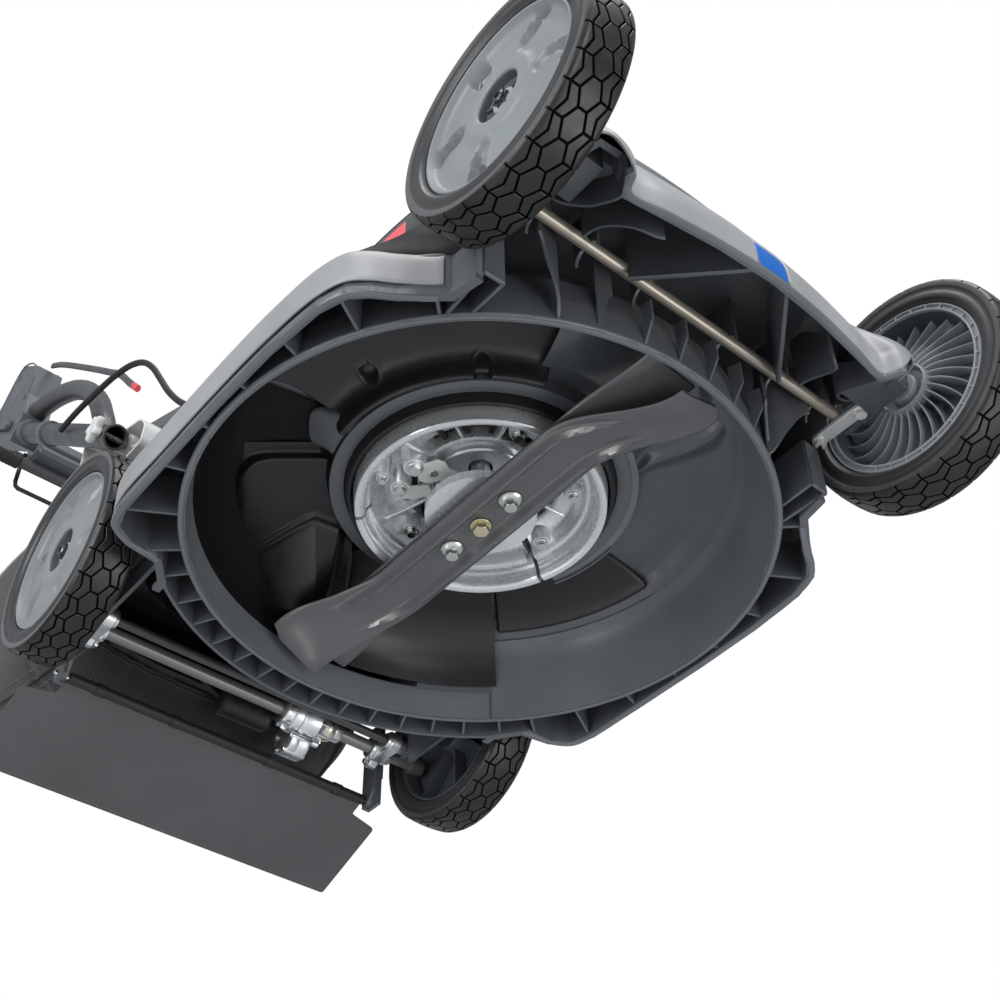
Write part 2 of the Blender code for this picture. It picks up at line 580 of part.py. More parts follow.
# ---------------------------------------------------------------- wheels
def wheel(tag, side, y, z, xin, xout, r, disc, ring):
    s = 1 if side == 'left' else -1
    w = xout - xin
    # profile heights run outwards from the inner face of the tyre
    tyre = [(r - 0.0026, 0.0), (r, 0.006), (r, w - 0.006), (r - 0.0026, w), (disc + 0.006, w - 0.001),
            (disc + 0.0005, w - 0.006), (disc + 0.0005, 0.006), (disc + 0.006, 0.001)]
    rim = [(disc, 0.0065), (disc, w - 0.0065), (disc - 0.004, w - 0.0040), (disc - 0.030, w - 0.0060),
           (0.030, w - 0.0030), (0.024, w - 0.0080), (0.0065, w - 0.0080), (0.0065, 0.0040), (0.0230, 0.0040),
           (0.0250, w - 0.0140), (ring, w - 0.0140), (ring, 0.0065)]
    ax = 'X' if s > 0 else '-X'
    turned(tag + "_tyre_" + side, tyre, RUBBER, n=36, axis=ax, at=(s * xin, y, z))
    turned(tag + "_rim_" + side, rim, RIM, n=24, axis=ax, at=(s * xin, y, z))


for side in ('left', 'right'):
    wheel("front", side, FW_Y, FW_Z, FW_IN, FW_OUT, WHEEL_R, 0.0865, 0.0800)
    wheel("rear", side, RW_Y, RW_Z, RW_IN, RW_OUT, WHEEL_R, 0.0890, 0.0860)

# ---------------------------------------------------------------- front swing: shaft, arms, straps
cyl("front_pivot_shaft", (-0.2050, FP_Y, FP_Z), (0.2050, FP_Y, FP_Z), 0.0058, SHAFT, n=16)


def arm(name, s, x0, x1, py, pz, hy, hz, rp, rh, axle_r, axle_x, material):
    """Crank arm in a plane of constant x, with the stub axle of its wheel."""
    d = Vector((hy - py, hz - pz))
    L = d.length
    u = d.normalized()
    v = Vector((-u.y, u.x))
    pts = []
    for k in range(9):
        a = math.pi / 2 + math.pi * k / 8
        pts.append((py + u.x * math.cos(a) * rp + v.x * math.sin(a) * rp, pz + u.y * math.cos(a) * rp + v.y * math.sin(a) * rp))
    for k in range(9):
        a = -math.pi / 2 + math.pi * k / 8
        pts.append((hy + u.x * math.cos(a) * rh + v.x * math.sin(a) * rh, hz + u.y * math.cos(a) * rh + v.y * math.sin(a) * rh))
    ob = plate(name, pts, x1 - x0, 'X', s * (x0 + x1) / 2, material)
    boolean(ob, cyl(name + "_axle", (s * (x1 - 0.001), hy, hz), (s * axle_x, hy, hz), axle_r, n=16, cut=True), 'UNION')
    return ob


for side, s in (('left', 1), ('right', -1)):
    arm("front_arm_" + side, s, 0.2054, 0.2112, FP_Y, FP_Z, FW_Y, FW_Z, 0.0120, 0.0125, 0.0060, 0.2500, DECK)
    st = box("front_strap_" + side, (s * 0.1970 - 0.0070, -0.3060, 0.0950), (s * 0.1970 + 0.0070, -0.2435, 0.0984), CAST)
    boolean(st, cyl("strap_bolt_a", (s * 0.1971, -0.2985, 0.0890), (s * 0.1971, -0.2985, 0.0970), 0.0062, n=6, cut=True), 'UNION')
    boolean(st, cyl("strap_bolt_b", (s * 0.1971, -0.2510, 0.0890), (s * 0.1971, -0.2510, 0.0970), 0.0062, n=6, cut=True), 'UNION')

# ---------------------------------------------------------------- rear swing: rod, brackets, drive
cyl("rear_pivot_rod", (-0.2042, RP_Y, RP_Z), (0.2042, RP_Y, RP_Z), 0.0050, TUBE, n=16)
for side, s in (('left', 1), ('right', -1)):
    arm("rear_arm_" + side, s, 0.2046, 0.2150, RP_Y, RP_Z, RW_Y, RW_Z, 0.0120, 0.0130, 0.0060, 0.2580, DECK)
    b = plate("rear_bracket_" + side, [(0.3700, 0.0980), (0.3740, 0.0860), (0.3860, 0.0820), (0.3990, 0.0860),
                                      (0.4100, 0.0850), (0.4260, 0.0900), (0.4290, 0.1030), (0.4210, 0.1150),
                                      (0.4060, 0.1170), (0.3900, 0.1100), (0.3760, 0.1080)],
              0.0120, 'X', s * 0.1860, CAST)
    boolean(b, cyl("b1", (s * 0.17, RP_Y, RP_Z), (s * 0.20, RP_Y, RP_Z), 0.0054, n=16, cut=True), 'DIFFERENCE')
    boolean(b, cyl("b2", (s * 0.17, DS_Y, DS_Z), (s * 0.20, DS_Y, DS_Z), 0.0079, n=16, cut=True), 'DIFFERENCE')
ds = turned("drive_shaft", [(0, -0.2440), (0.0100, -0.2440), (0.0100, -0.2290), (0.0074, -0.2285), (0.0074, 0.2285),
                            (0.0100, 0.2290), (0.0100, 0.2440), (0, 0.2440)], STEEL, n=18, axis='X',
            at=(0, DS_Y, DS_Z), closed=False)
gb = turned("gearbox_housing", [(0.0080, 0.050), (0.0170, 0.050), (0.0180, 0.060), (0.0225, 0.064), (0.0225, 0.094),
                                (0.0180, 0.098), (0.0150, 0.118), (0.0120, 0.128), (0.0080, 0.128)], CAST, n=24,
            axis='X', at=(0, DS_Y, DS_Z))
boolean(gb, cyl("gear_lobe", (0.0665, 0.4300, 0.0800), (0.0915, 0.4300, 0.0800), 0.0205, n=24, cut=True), 'UNION')
boolean(gb, box("lug", (0.0940, 0.4160, 0.0780), (0.1060, 0.4260, 0.0960), cut=True), 'UNION')
boolean(gb, cyl("gear_bore", (0.04, DS_Y, DS_Z), (0.14, DS_Y, DS_Z), 0.0080, n=24, cut=True), 'DIFFERENCE')
turned("drive_motor", [(0, 0.0), (0.0130, 0.0), (0.0150, 0.003), (0.0150, 0.060), (0.0130, 0.0635), (0, 0.0635)],
       DECK, n=20, axis='X', at=(-0.0140, 0.4405, 0.1000), closed=False)

# ---------------------------------------------------------------- discharge duct, flap, rear door
def duct_sec(y, x0, x1, z0, z1):
    return [(x0, y, z0), (x1, y, z0), (x1, y, z1), (x0, y, z1)]


DUCT = [(0.3060, -0.158, 0.120, 0.0720, 0.150), (0.3360, -0.164, 0.140, 0.1080, 0.215), (0.3640, -0.170, 0.158, 0.1610, 0.260),
        (0.4380, -0.180, 0.180, 0.1680, 0.330)]
duct = loft("discharge_duct", [duct_sec(*d) for d in DUCT], BLACK, smooth=False)
T = 0.0030
DI = [(d[0], d[1] + T, d[2] - T, d[3] + T, d[4] - T) for d in DUCT]
DI[0] = (0.2900,) + DI[0][1:]
DI[-1] = (0.4500,) + DI[-1][1:]
boolean(duct, loft("duct_hollow", [duct_sec(*d) for d in DI], None, cut=True, smooth=False), 'DIFFERENCE')

FL_A = math.radians(21.0)
FL_L = 0.1370


def flap_pt(x, l, o):
    return (x, FLAP_Y + math.cos(FL_A) * l + math.sin(FL_A) * o, FLAP_Z - math.sin(FL_A) * l + math.cos(FL_A) * o)


FLO = [(-0.1870, 0.004), (0.1870, 0.004), (0.1870, 0.022), (0.2235, 0.030), (0.2235, FL_L), (-0.2235, FL_L), (-0.2235, 0.030), (-0.1870, 0.022)]
flap = loft("rear_flap", [[flap_pt(x, l, -0.0015) for x, l in FLO], [flap_pt(x, l, 0.0015) for x, l in FLO]], RUBBER, smooth=False)
boolean(flap, cyl("flap_knuckle", (-0.1870, FLAP_Y, FLAP_Z), (0.1870, FLAP_Y, FLAP_Z), 0.0058, n=16, cut=True), 'UNION')
boolean(flap, cyl("flap_pin", (-0.2030, FLAP_Y, FLAP_Z), (0.2030, FLAP_Y, FLAP_Z), 0.0026, n=12, cut=True), 'UNION')

RD_Y, RD_Z = 0.4480, 0.4050
DOORP = [(0.4430, 0.4060), (0.4455, 0.4110), (0.4600, 0.4135), (0.5400, 0.4255), (0.6150, 0.4330), (0.6230, 0.4290),
         (0.6240, 0.4200), (0.6200, 0.4200), (0.6180, 0.4270), (0.5400, 0.4215), (0.4600, 0.4090), (0.4500, 0.4030),
         (0.4450, 0.4020)]
plate("rear_door", DOORP, 0.3700, 'X', 0.0, DECK)

# ---------------------------------------------------------------- grass bag
def bag_sec(y, zb, zt, w, t=0.0):
    pts = []
    hw, hz, cz = w - t, (zt - zb) / 2 - t, (zt + zb) / 2
    for k in range(20):
        a = 2 * math.pi * (k + 0.5) / 20
        c, s = math.cos(a), math.sin(a)
        e = 0.42
        pts.append((hw * math.copysign(abs(c) ** e, c), y, cz + hz * math.copysign(abs(s) ** e, s)))
    return pts


BAG = [(0.4650, 0.120, 0.392, 0.1900), (0.5000, 0.108, 0.402, 0.2000), (0.5600, 0.104, 0.410, 0.2080), (0.6400, 0.120, 0.412, 0.2120),
       (0.7400, 0.150, 0.416, 0.2100), (0.8400, 0.195, 0.414, 0.2040), (0.9100, 0.236, 0.404, 0.1900), (0.9450, 0.268, 0.384, 0.1600)]
bag = loft("grass_bag", [bag_sec(*b) for b in BAG], FABRIC)
BI = [bag_sec(b[0], b[1], b[2], b[3], t=0.0035) for b in BAG[1:-1]]
BI = [bag_sec(0.4500, 0.120, 0.392, 0.1900, t=0.0035), bag_sec(0.4850, 0.112, 0.399, 0.1960, t=0.0035)] + BI
boolean(bag, loft("bag_hollow", BI, None, cut=True), 'DIFFERENCE')
# mouth frame that hooks on behind the duct
def mouth(y, t):
    return [(x, y, z) for x, _, z in bag_sec(0, 0.120 - t, 0.392 + t, 0.1900 + t)]


fr = loft("bag_frame", [mouth(0.4535, 0.0), mouth(0.4645, 0.0)], BLACK)
boolean(fr, loft("frame_hole", [[(x * 0.93, y - 0.01, 0.256 + (z - 0.256) * 0.90) for x, y, z in mouth(0.4535, 0.0)],
                                [(x * 0.93, y + 0.01, 0.256 + (z - 0.256) * 0.90) for x, y, z in mouth(0.4645, 0.0)]], None, cut=True), 'DIFFERENCE')
boolean(bag, wire("bag_handle", [(0, 0.6600 + 0.0, 0.4100), (0, 0.6620, 0.4300), (0, 0.6720, 0.4440), (0, 0.6900, 0.4520), (0, 0.7300, 0.4560),
                    (0, 0.7700, 0.4560), (0, 0.8000, 0.4510), (0, 0.8160, 0.4400), (0, 0.8200, 0.4120)], 0.0095, cut=True), 'UNION')

# ---------------------------------------------------------------- handle
def hp(s, n=0.0):
    """(y, z) at s along the handle from its pivot and n above it."""
    return (HP_Y + HD[0] * s + HN[0] * n, HP_Z + HD[1] * s + HN[1] * n)


for side, s in (('left', 1), ('right', -1)):
    # bracket on the rear housing, with the pivot bolt
    br = plate("handle_bracket_" + side, [(0.2720, 0.2340), (0.3700, 0.2340), (0.4250, 0.2560), (0.4330, 0.2900), (0.4330, 0.3560),
                                         (0.4180, 0.3640), (0.3940, 0.3400), (0.3560, 0.3060), (0.3200, 0.2920),
                                         (0.2840, 0.2800), (0.2680, 0.2600)], 0.0300, 'X', s * 0.2187, LIGHT)
    boolean(br, cyl("pivot_bolt", (s * 0.2300, HP_Y, HP_Z), (s * 0.2690, HP_Y, HP_Z), 0.0045, n=14, cut=True), 'UNION')
    # lower tube: hollow, drilled for the pivot bolt
    a, b = hp(-0.018), hp(0.520)
    tb = cyl("lower_tube_" + side, (s * HX, *a), (s * HX, *b), TUBE_R, TUBE, n=20)
    a2, b2 = hp(-0.03), hp(0.54)
    boolean(tb, cyl("bore", (s * HX, *a2), (s * HX, *b2), TUBE_BORE, n=20, cut=True), 'DIFFERENCE')
    boolean(tb, cyl("bolt_hole", (s * 0.225, HP_Y, HP_Z), (s * 0.275, HP_Y, HP_Z), 0.0050, n=14, cut=True), 'DIFFERENCE')
    # brace: clamp block round the tube with a curved bar back to its foot
    blk = plate("handle_brace_" + side, [hp(0.372, -0.0200), hp(0.372, 0.0200), hp(0.395, 0.0480), hp(0.420, 0.0880),
                                        hp(0.505, 0.0900), hp(0.512, 0.0300), hp(0.512, -0.0200)], 0.0340, 'X', s * HX, DECK)
    arc = []
    for k in range(11):
        t = k / 10
        sx = lerp(0.075, 0.400, t)
        arc.append((s * HX, *hp(sx, 0.0262 + 0.0330 * math.sin(math.pi * min(1, t * 1.05)) ** 0.8)))
    boolean(blk, wire("brace_bar", arc, 0.0115, cut=True), 'UNION')
    boolean(blk, cyl("tube_hole", (s * HX, *hp(0.34)), (s * HX, *hp(0.54)), TUBE_R + GAP, n=20, cut=True), 'DIFFERENCE')
    # cam lever that locks the telescope
    plate("clamp_lever_" + side, [hp(0.490, -0.0100), hp(0.500, 0.0), hp(0.490, 0.0100), hp(0.455, 0.0085), hp(0.405, 0.0070),
                                 hp(0.400, 0.0), hp(0.405, -0.0070), hp(0.455, -0.0085)], 0.0060, 'X', s * 0.2706, DECK)

# upper handle: one bent tube
UH = []
TOPS = 0.520
y1, z1 = hp(0.905)
for s_ in (0.300, 0.520, 0.700, 0.860):
    UH.append(hp(s_))
UH += [(y1, z1), (1.0450, 0.8720), (1.1000, 0.9260), (1.1600, 0.9850)]
side_pts = [(-HX, y, z) for y, z in UH]
corner = []
RC = 0.050
ey, ez = 0.7147, 0.6994
for k in range(1, 7):
    a = math.pi / 2 * k / 6
    d = RC * (1 - math.cos(a))
    f = RC * math.sin(a)
    corner.append((-HX + d, BAR_Y - ey * (RC - f), BAR_Z - ez * (RC - f)))
left = [(-x, y, z) for x, y, z in reversed(side_pts + corner)]
wire("upper_handle", side_pts + corner + [(0, BAR_Y, BAR_Z)] + left, INNER_R, TUBE, res=3)

cb = box("control_box", (-0.0560, 1.1680, 1.0416), (0.0560, 1.2340, 1.0860), DECK, bevel=0.006)
boolean(cb, cyl("button_well", (0.026, 1.1960, 1.0760), (0.026, 1.1960, 1.0960), 0.0106, n=20, cut=True), 'DIFFERENCE')
cyl("start_button", (0.026, 1.1960, 1.0815), (0.026, 1.1960, 1.0905), 0.0100, RED, n=20)
turned("speed_dial", [(0, 1.1000), (0.0120, 1.1000), (0.0140, 1.0980), (0.0150, 1.0865), (0, 1.0865)], BLACK, n=20,
       at=(-0.0240, 1.2000, 0), closed=False)

# operator presence bail: pivots on the inner sides of the tubes
B0 = (BAR_Y - ey * 0.140, BAR_Z - ez * 0.140)
ba = math.atan2(ez, ey) + math.radians(25)
bd = (math.cos(ba), math.sin(ba))
bl = 0.112
bw = 0.224
bail = [(-0.2380, *B0), (-bw - 0.003, *B0), (-bw, B0[0] + bd[0] * 0.004, B0[1] + bd[1] * 0.004)]
for k in range(0, 6):
    a = math.pi / 2 * k / 5
    f = bl - 0.03 + 0.03 * math.sin(a)
    bail.append((-bw + 0.03 * (1 - math.cos(a)), B0[0] + bd[0] * f, B0[1] + bd[1] * f))
bail = bail + [(-x, y, z) for x, y, z in reversed(bail)]
wire("bail_bar", bail, 0.0040, TUBE, res=2)
# self-propel lever under the handle bar, pivoting beside the control box
dl = [(-0.0567, 1.2150, 1.0640), (-0.0610, 1.2160, 1.0640), (-0.0625, 1.2220, 1.0600), (-0.0625, 1.2290, 1.0480), (-0.0630, 1.2330, 1.0050),
      (-0.0660, 1.2335, 0.9980), (-0.0760, 1.2335, 0.9950), (-0.1050, 1.2320, 0.9950)]
dl = [(-0.0612, 1.2150, 1.0640), (-0.0612, 1.2220, 1.0590), (-0.0612, 1.2285, 1.0480), (-0.0612, 1.2330, 1.0080), (-0.0590, 1.2340, 1.0000),
      (-0.0530, 1.2340, 0.9960)]
dl = dl + [(-x, y, z) for x, y, z in reversed(dl)]
wire("drive_lever", dl, 0.0040, BLACK, res=2)

# fold release: flat rod over the brace with a red tab, operator's right
rr = [hp(0.425, 0.0975), hp(0.380, 0.0990), hp(0.200, 0.0840), hp(0.090, 0.0690), hp(0.070, 0.0640)]
wire("fold_release_rod", [(-HX, y, z) for y, z in rr], 0.0042, TUBE, res=2)

# height lever on the operator's left, beside the rear housing
HL_Y, HL_Z = 0.2100, 0.1900
lv = plate("height_lever", [(0.1960, 0.1900), (0.2010, 0.1790), (0.2100, 0.1755), (0.2200, 0.1800), (0.2240, 0.1900),
                            (0.2210, 0.2020), (0.2130, 0.2500), (0.2050, 0.3150), (0.1960, 0.3170), (0.1900, 0.3100),
                            (0.1960, 0.2500), (0.2000, 0.2050)], 0.0080, 'X', 0.2216 + 0.0012, BLACK)

# cable from the handle to the deck
CAB = [(-0.2680, 0.4200, 0.3475), (-0.2700, 0.3950, 0.3420), (-0.2720, 0.3600, 0.3330), (-0.2730, 0.3200, 0.3230), (-0.2730, 0.2800, 0.3130),
       (-0.2715, 0.2450, 0.3010), (-0.2690, 0.2180, 0.2840), (-0.2660, 0.1980, 0.2610), (-0.2620, 0.1820, 0.2330), (-0.2580, 0.1660, 0.2040),
       (-0.2540, 0.1480, 0.1780), (-0.2500, 0.1290, 0.1560), (-0.2480, 0.1180, 0.1400), (-0.2470, 0.1130, 0.1290)]


def smooth_path(pts, per=3):
    out = []
    n = len(pts)
    V = [Vector(p) for p in pts]
    for i in range(n - 1):
        p0, p1, p2, p3 = V[max(i - 1, 0)], V[i], V[i + 1], V[min(i + 2, n - 1)]
        for k in range(per):
            t = k / per
            out.append(0.5 * ((2 * p1) + (p2 - p0) * t + (2 * p0 - 5 * p1 + 4 * p2 - p3) * t * t + (3 * p1 - p0 - 3 * p2 + p3) * t ** 3))
    out.append(V[-1])
    return [tuple(p) for p in out]


wire("handle_cable", smooth_path(CAB, 2), 0.0033, BLACK, res=2)

bpy.context.view_layer.update()
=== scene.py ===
# Looks of the self-propelled cordless lawn mower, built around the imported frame.
# Blade-centred coordinates are used for every piece (x to the operator's left,
# y to the rear, z up); YS moves them into the row frame.
import math, random
import bpy, bmesh
from mathutils import Vector, Matrix
from mathutils.geometry import delaunay_2d_cdt


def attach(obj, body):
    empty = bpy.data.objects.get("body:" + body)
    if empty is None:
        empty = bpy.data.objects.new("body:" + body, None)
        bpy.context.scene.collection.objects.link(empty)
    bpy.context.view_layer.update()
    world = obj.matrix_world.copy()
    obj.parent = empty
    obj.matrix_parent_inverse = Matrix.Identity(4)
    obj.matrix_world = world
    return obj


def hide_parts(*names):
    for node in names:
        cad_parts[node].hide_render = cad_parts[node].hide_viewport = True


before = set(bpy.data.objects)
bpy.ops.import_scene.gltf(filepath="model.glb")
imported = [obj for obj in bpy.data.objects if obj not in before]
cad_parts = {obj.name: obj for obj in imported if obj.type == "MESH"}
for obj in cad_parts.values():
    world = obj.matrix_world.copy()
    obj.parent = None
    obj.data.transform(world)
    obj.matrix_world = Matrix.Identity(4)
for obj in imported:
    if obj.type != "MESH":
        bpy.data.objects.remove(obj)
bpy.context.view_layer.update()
SC = bpy.context.scene
YS = -0.3965
rnd = random.Random(7)

# ---------------------------------------------------------------- camera
CR = Vector((0.76944, -0.63856, -0.01408))
CD = Vector((0.43146, 0.53590, -0.72571))
CF = Vector((0.47096, 0.55231, 0.68786))
CPOS = Vector((-0.66575, -0.80874 + YS, -0.90501))
cam = bpy.data.cameras.new("photo_camera")
cam.lens, cam.sensor_width, cam.sensor_fit = 55.005, 36.0, 'AUTO'
cam.clip_start, cam.clip_end = 0.05, 60
cam_ob = bpy.data.objects.new("photo_camera", cam)
SC.collection.objects.link(cam_ob)
cam_ob.matrix_world = Matrix(((CR.x, -CD.x, -CF.x, CPOS.x), (CR.y, -CD.y, -CF.y, CPOS.y),
                              (CR.z, -CD.z, -CF.z, CPOS.z), (0, 0, 0, 1)))
SC.camera = cam_ob
SC.view_settings.view_transform = 'Standard'
SC.view_settings.look = 'None'

# ---------------------------------------------------------------- stage: floor, world, lights
TARGET = Vector((0.0, YS + 0.02, 0.12))


def area(name, offset, size, power, colour=(1, 1, 1), size_y=None):
    """Soft light at an offset given as (right, up, towards camera) of the photo's view."""
    li = bpy.data.lights.new(name, 'AREA')
    li.shape = 'RECTANGLE'
    li.size, li.size_y = size, size_y or size
    li.energy, li.color = power, colour
    ob = bpy.data.objects.new(name, li)
    SC.collection.objects.link(ob)
    p = TARGET + CR * offset[0] - CD * offset[1] - CF * offset[2]
    ob.location = p
    ob.rotation_mode = 'QUATERNION'
    ob.rotation_quaternion = (TARGET - p).to_track_quat('-Z', 'Y')
    return ob


area("key_soft", (-1.5, 1.5, 1.6), 1.6, 38)
area("strip_left", (-1.35, 0.55, 1.15), 0.16, 9, size_y=1.5)
area("strip_right", (0.95, 1.15, 1.30), 0.14, 8, size_y=1.3)
area("fill_soft", (1.7, -0.3, 1.5), 1.5, 20)
area("low_soft", (-0.4, -1.6, 1.4), 1.6, 14)
area("top_soft", (0.3, 2.2, -0.8), 1.8, 40)
fl = bpy.data.meshes.new("studio_floor")
fl.from_pydata([(-40, -40, -1.9), (40, -40, -1.9), (40, 40, -1.9), (-40, 40, -1.9)], [], [(0, 1, 2, 3)])
floor = bpy.data.objects.new("studio_floor", fl)
SC.collection.objects.link(floor)
wd = bpy.data.worlds.new("white_studio")
wd.use_nodes = True
SC.world = wd
nt = wd.node_tree
nt.nodes.clear()
wo = nt.nodes.new("ShaderNodeOutputWorld")
b_cam = nt.nodes.new("ShaderNodeBackground")
b_lit = nt.nodes.new("ShaderNodeBackground")
mx = nt.nodes.new("ShaderNodeMixShader")
lp = nt.nodes.new("ShaderNodeLightPath")
b_cam.inputs["Color"].default_value = (1, 1, 1, 1)
b_cam.inputs["Strength"].default_value = 1.0
b_lit.inputs["Color"].default_value = (0.90, 0.95, 1.0, 1)
b_lit.inputs["Strength"].default_value = 0.46
nt.links.new(lp.outputs["Is Camera Ray"], mx.inputs[0])
nt.links.new(b_lit.outputs[0], mx.inputs[1])
nt.links.new(b_cam.outputs[0], mx.inputs[2])
nt.links.new(mx.outputs[0], wo.inputs["Surface"])


# ---------------------------------------------------------------- materials
def lin(c):
    """sRGB 0-255 to linear."""
    return tuple((v / 255 / 12.92) if v / 255 <= 0.04045 else ((v / 255 + 0.055) / 1.055) ** 2.4 for v in c)


def base_nodes(name):
    m = bpy.data.materials.new(name)
    m.use_nodes = True
    t = m.node_tree
    b = t.nodes["Principled BSDF"]
    co = t.nodes.new("ShaderNodeTexCoord")
    return m, t, b, co.outputs["Object"]


def noise(t, co, scale, detail=3.0, rough=0.5, dist=0.0):
    n = t.nodes.new("ShaderNodeTexNoise")
    n.inputs["Scale"].default_value = scale
    n.inputs["Detail"].default_value = detail
    n.inputs["Roughness"].default_value = rough
    n.inputs["Distortion"].default_value = dist
    t.links.new(co, n.inputs["Vector"])
    return n.outputs["Fac"]


def ramp(t, fac, stops):
    r = t.nodes.new("ShaderNodeValToRGB")
    while len(r.color_ramp.elements) < len(stops):
        r.color_ramp.elements.new(0.5)
    for e, (p, c) in zip(r.color_ramp.elements, stops):
        e.position = p
        e.color = (*c, 1) if len(c) == 3 else c
    t.links.new(fac, r.inputs["Fac"])
    return r.outputs["Color"]


def span(t, fac, lo, hi, a=0.3, b=0.7):
    m = t.nodes.new("ShaderNodeMapRange")
    m.inputs["From Min"].default_value = a
    m.inputs["From Max"].default_value = b
    m.inputs["To Min"].default_value = lo
    m.inputs["To Max"].default_value = hi
    t.links.new(fac, m.inputs["Value"])
    return m.outputs["Result"]


def bump(t, b, height, strength, distance):
    n = t.nodes.new("ShaderNodeBump")
    n.inputs["Strength"].default_value = strength
    n.inputs["Distance"].default_value = distance
    t.links.new(height, n.inputs["Height"])
    t.links.new(n.outputs["Normal"], b.inputs["Normal"])
    return n


def scale_rgb(c, k):
    return tuple(min(1.0, v * k) for v in c)


def plastic(name, rgb, rough=0.42, grain=900.0, strength=0.12, tone=0.14, spec=0.5, coat=0.0):
    """Moulded plastic: fine eroded grain, soft mottling of tone and gloss."""
    m, t, b, co = base_nodes(name)
    c = lin(rgb)
    big = noise(t, co, 9.0, 3.0, 0.55)
    col = ramp(t, big, [(0.30, scale_rgb(c, 1 - tone)), (0.52, c), (0.74, scale_rgb(c, 1 + tone))])
    t.links.new(col, b.inputs["Base Color"])
    mid = noise(t, co, 46.0, 4.0, 0.6)
    t.links.new(span(t, mid, rough - 0.05, rough + 0.07), b.inputs["Roughness"])
    fine = noise(t, co, grain, 2.0, 0.6)
    bump(t, b, fine, strength, 0.0004)
    b.inputs["Specular IOR Level"].default_value = spec
    b.inputs["Coat Weight"].default_value = coat
    b.inputs["Coat Roughness"].default_value = 0.25
    return m


def metal(name, rgb, rough=0.3, grain=500.0, strength=0.10, tone=0.10, stretch=(1, 1, 1), metallic=1.0):
    m, t, b, co = base_nodes(name)
    mp = t.nodes.new("ShaderNodeMapping")
    mp.inputs["Scale"].default_value = stretch
    t.links.new(co, mp.inputs["Vector"])
    co = mp.outputs["Vector"]
    c = lin(rgb)
    big = noise(t, co, 14.0, 4.0, 0.6)
    t.links.new(ramp(t, big, [(0.30, scale_rgb(c, 1 - tone)), (0.52, c), (0.75, scale_rgb(c, 1 + tone))]), b.inputs["Base Color"])
    mid = noise(t, co, 70.0, 4.0, 0.6)
    t.links.new(span(t, mid, max(0.05, rough - 0.08), rough + 0.10), b.inputs["Roughness"])
    bump(t, b, noise(t, co, grain, 3.0, 0.6), strength, 0.0004)
    b.inputs["Metallic"].default_value = metallic
    return m


M_DECK = plastic("deck_plastic", (80, 83, 87), 0.36, coat=0.10)
# lighter copy of the deck plastic for lips, beads and the chamber wall: painted highlight
M_DECK_PAINTED_HIGHLIGHT = plastic("deck_lip", (96, 99, 103), 0.34, coat=0.10)
M_DECK_IN = plastic("deck_inner", (44, 45, 48), 0.36)
M_TRIM = plastic("trim_grey", (144, 145, 147), 0.40)
M_BLACK = plastic("liner_black", (30, 30, 31), 0.36)
M_HOOD = plastic("hood_charcoal", (40, 41, 43), 0.34, coat=0.15)
# near-black copy of the deck plastic for the deck's shoulders: painted shade
M_SIDE = plastic("shoulder_painted_shade", (24, 24, 26), 0.62, spec=0.18)
M_MATTE = plastic("black_matte", (22, 22, 23), 0.55)
# black plastic darkened to near black: painted shade inside the discharge cavity
M_CAVITY_PAINTED_SHADE = plastic("cavity_painted_shade", (9, 9, 10), 0.62, spec=0.2)
M_DUCTIN = plastic("duct_inner", (20, 20, 21), 0.30, spec=0.45)
M_VOLUTE = plastic("volute_grey", (76, 79, 83), 0.22, coat=0.35)
M_RIM = plastic("rim_bluegrey", (126, 131, 133), 0.38)
M_RIM_IN = plastic("rim_inside", (150, 154, 158), 0.38)
# darker copy of the rim plastic for the hub recess and the drum's inside: painted shade
M_RIM_PAINTED_SHADE = plastic("rim_recess_painted_shade", (78, 82, 86), 0.42)
M_STAR = metal("hub_fastener", (120, 122, 124), 0.30, grain=600)
M_TUBE = plastic("powder_coat", (62, 63, 65), 0.34, grain=1400, strength=0.2)
M_LIGHT = plastic("light_plastic", (206, 207, 206), 0.45)
M_BLUE = plastic("accent_blue", (0, 90, 176), 0.46, spec=0.22)
M_RED = plastic("accent_red", (228, 84, 92), 0.40)
M_ALU = metal("cast_aluminium", (196, 198, 200), 0.36, grain=380, strength=0.30, metallic=0.72)
M_ALU_BRIGHT = metal("bright_aluminium", (218, 220, 221), 0.24, grain=260, strength=0.10, metallic=0.66)
M_CAST_W = metal("pale_casting", (222, 224, 226), 0.36, grain=300, strength=0.25)
M_FLAP = plastic("flap_sheet", (74, 74, 76), 0.46, grain=1100, strength=0.2)
M_STRAP = metal("strap_steel", (212, 214, 216), 0.34, grain=300, strength=0.15, metallic=0.30)
M_BOLT_W = metal("bolt_bright", (228, 228, 224), 0.26, grain=600, metallic=0.35)
M_ZINC = metal("zinc_plated", (205, 206, 204), 0.22, grain=600)
M_YELLOW = metal("yellow_zinc", (224, 216, 184), 0.26, grain=600)
M_AXLE = metal("axle_bar", (136, 135, 133), 0.40, grain=420, stretch=(0.05, 1, 1), metallic=0.55)
M_SHAFT = metal("drawn_bar", (168, 160, 149), 0.42, grain=420, stretch=(0.05, 1, 1), metallic=0.62)
M_BLADE = plastic("blade_coat", (80, 81, 83), 0.19, grain=700, strength=0.18, tone=0.06, spec=0.6)


def rubber():
    m, t, b, co = base_nodes("tyre_rubber")
    big = noise(t, co, 11.0, 4.0, 0.6)
    t.links.new(ramp(t, big, [(0.28, lin((15, 14, 13))), (0.5, lin((22, 20, 19))), (0.75, lin((35, 31, 27)))]), b.inputs["Base Color"])
    t.links.new(span(t, noise(t, co, 60.0, 4.0, 0.6), 0.28, 0.46), b.inputs["Roughness"])
    bump(t, b, noise(t, co, 800.0, 3.0, 0.6), 0.22, 0.0005)
    return m


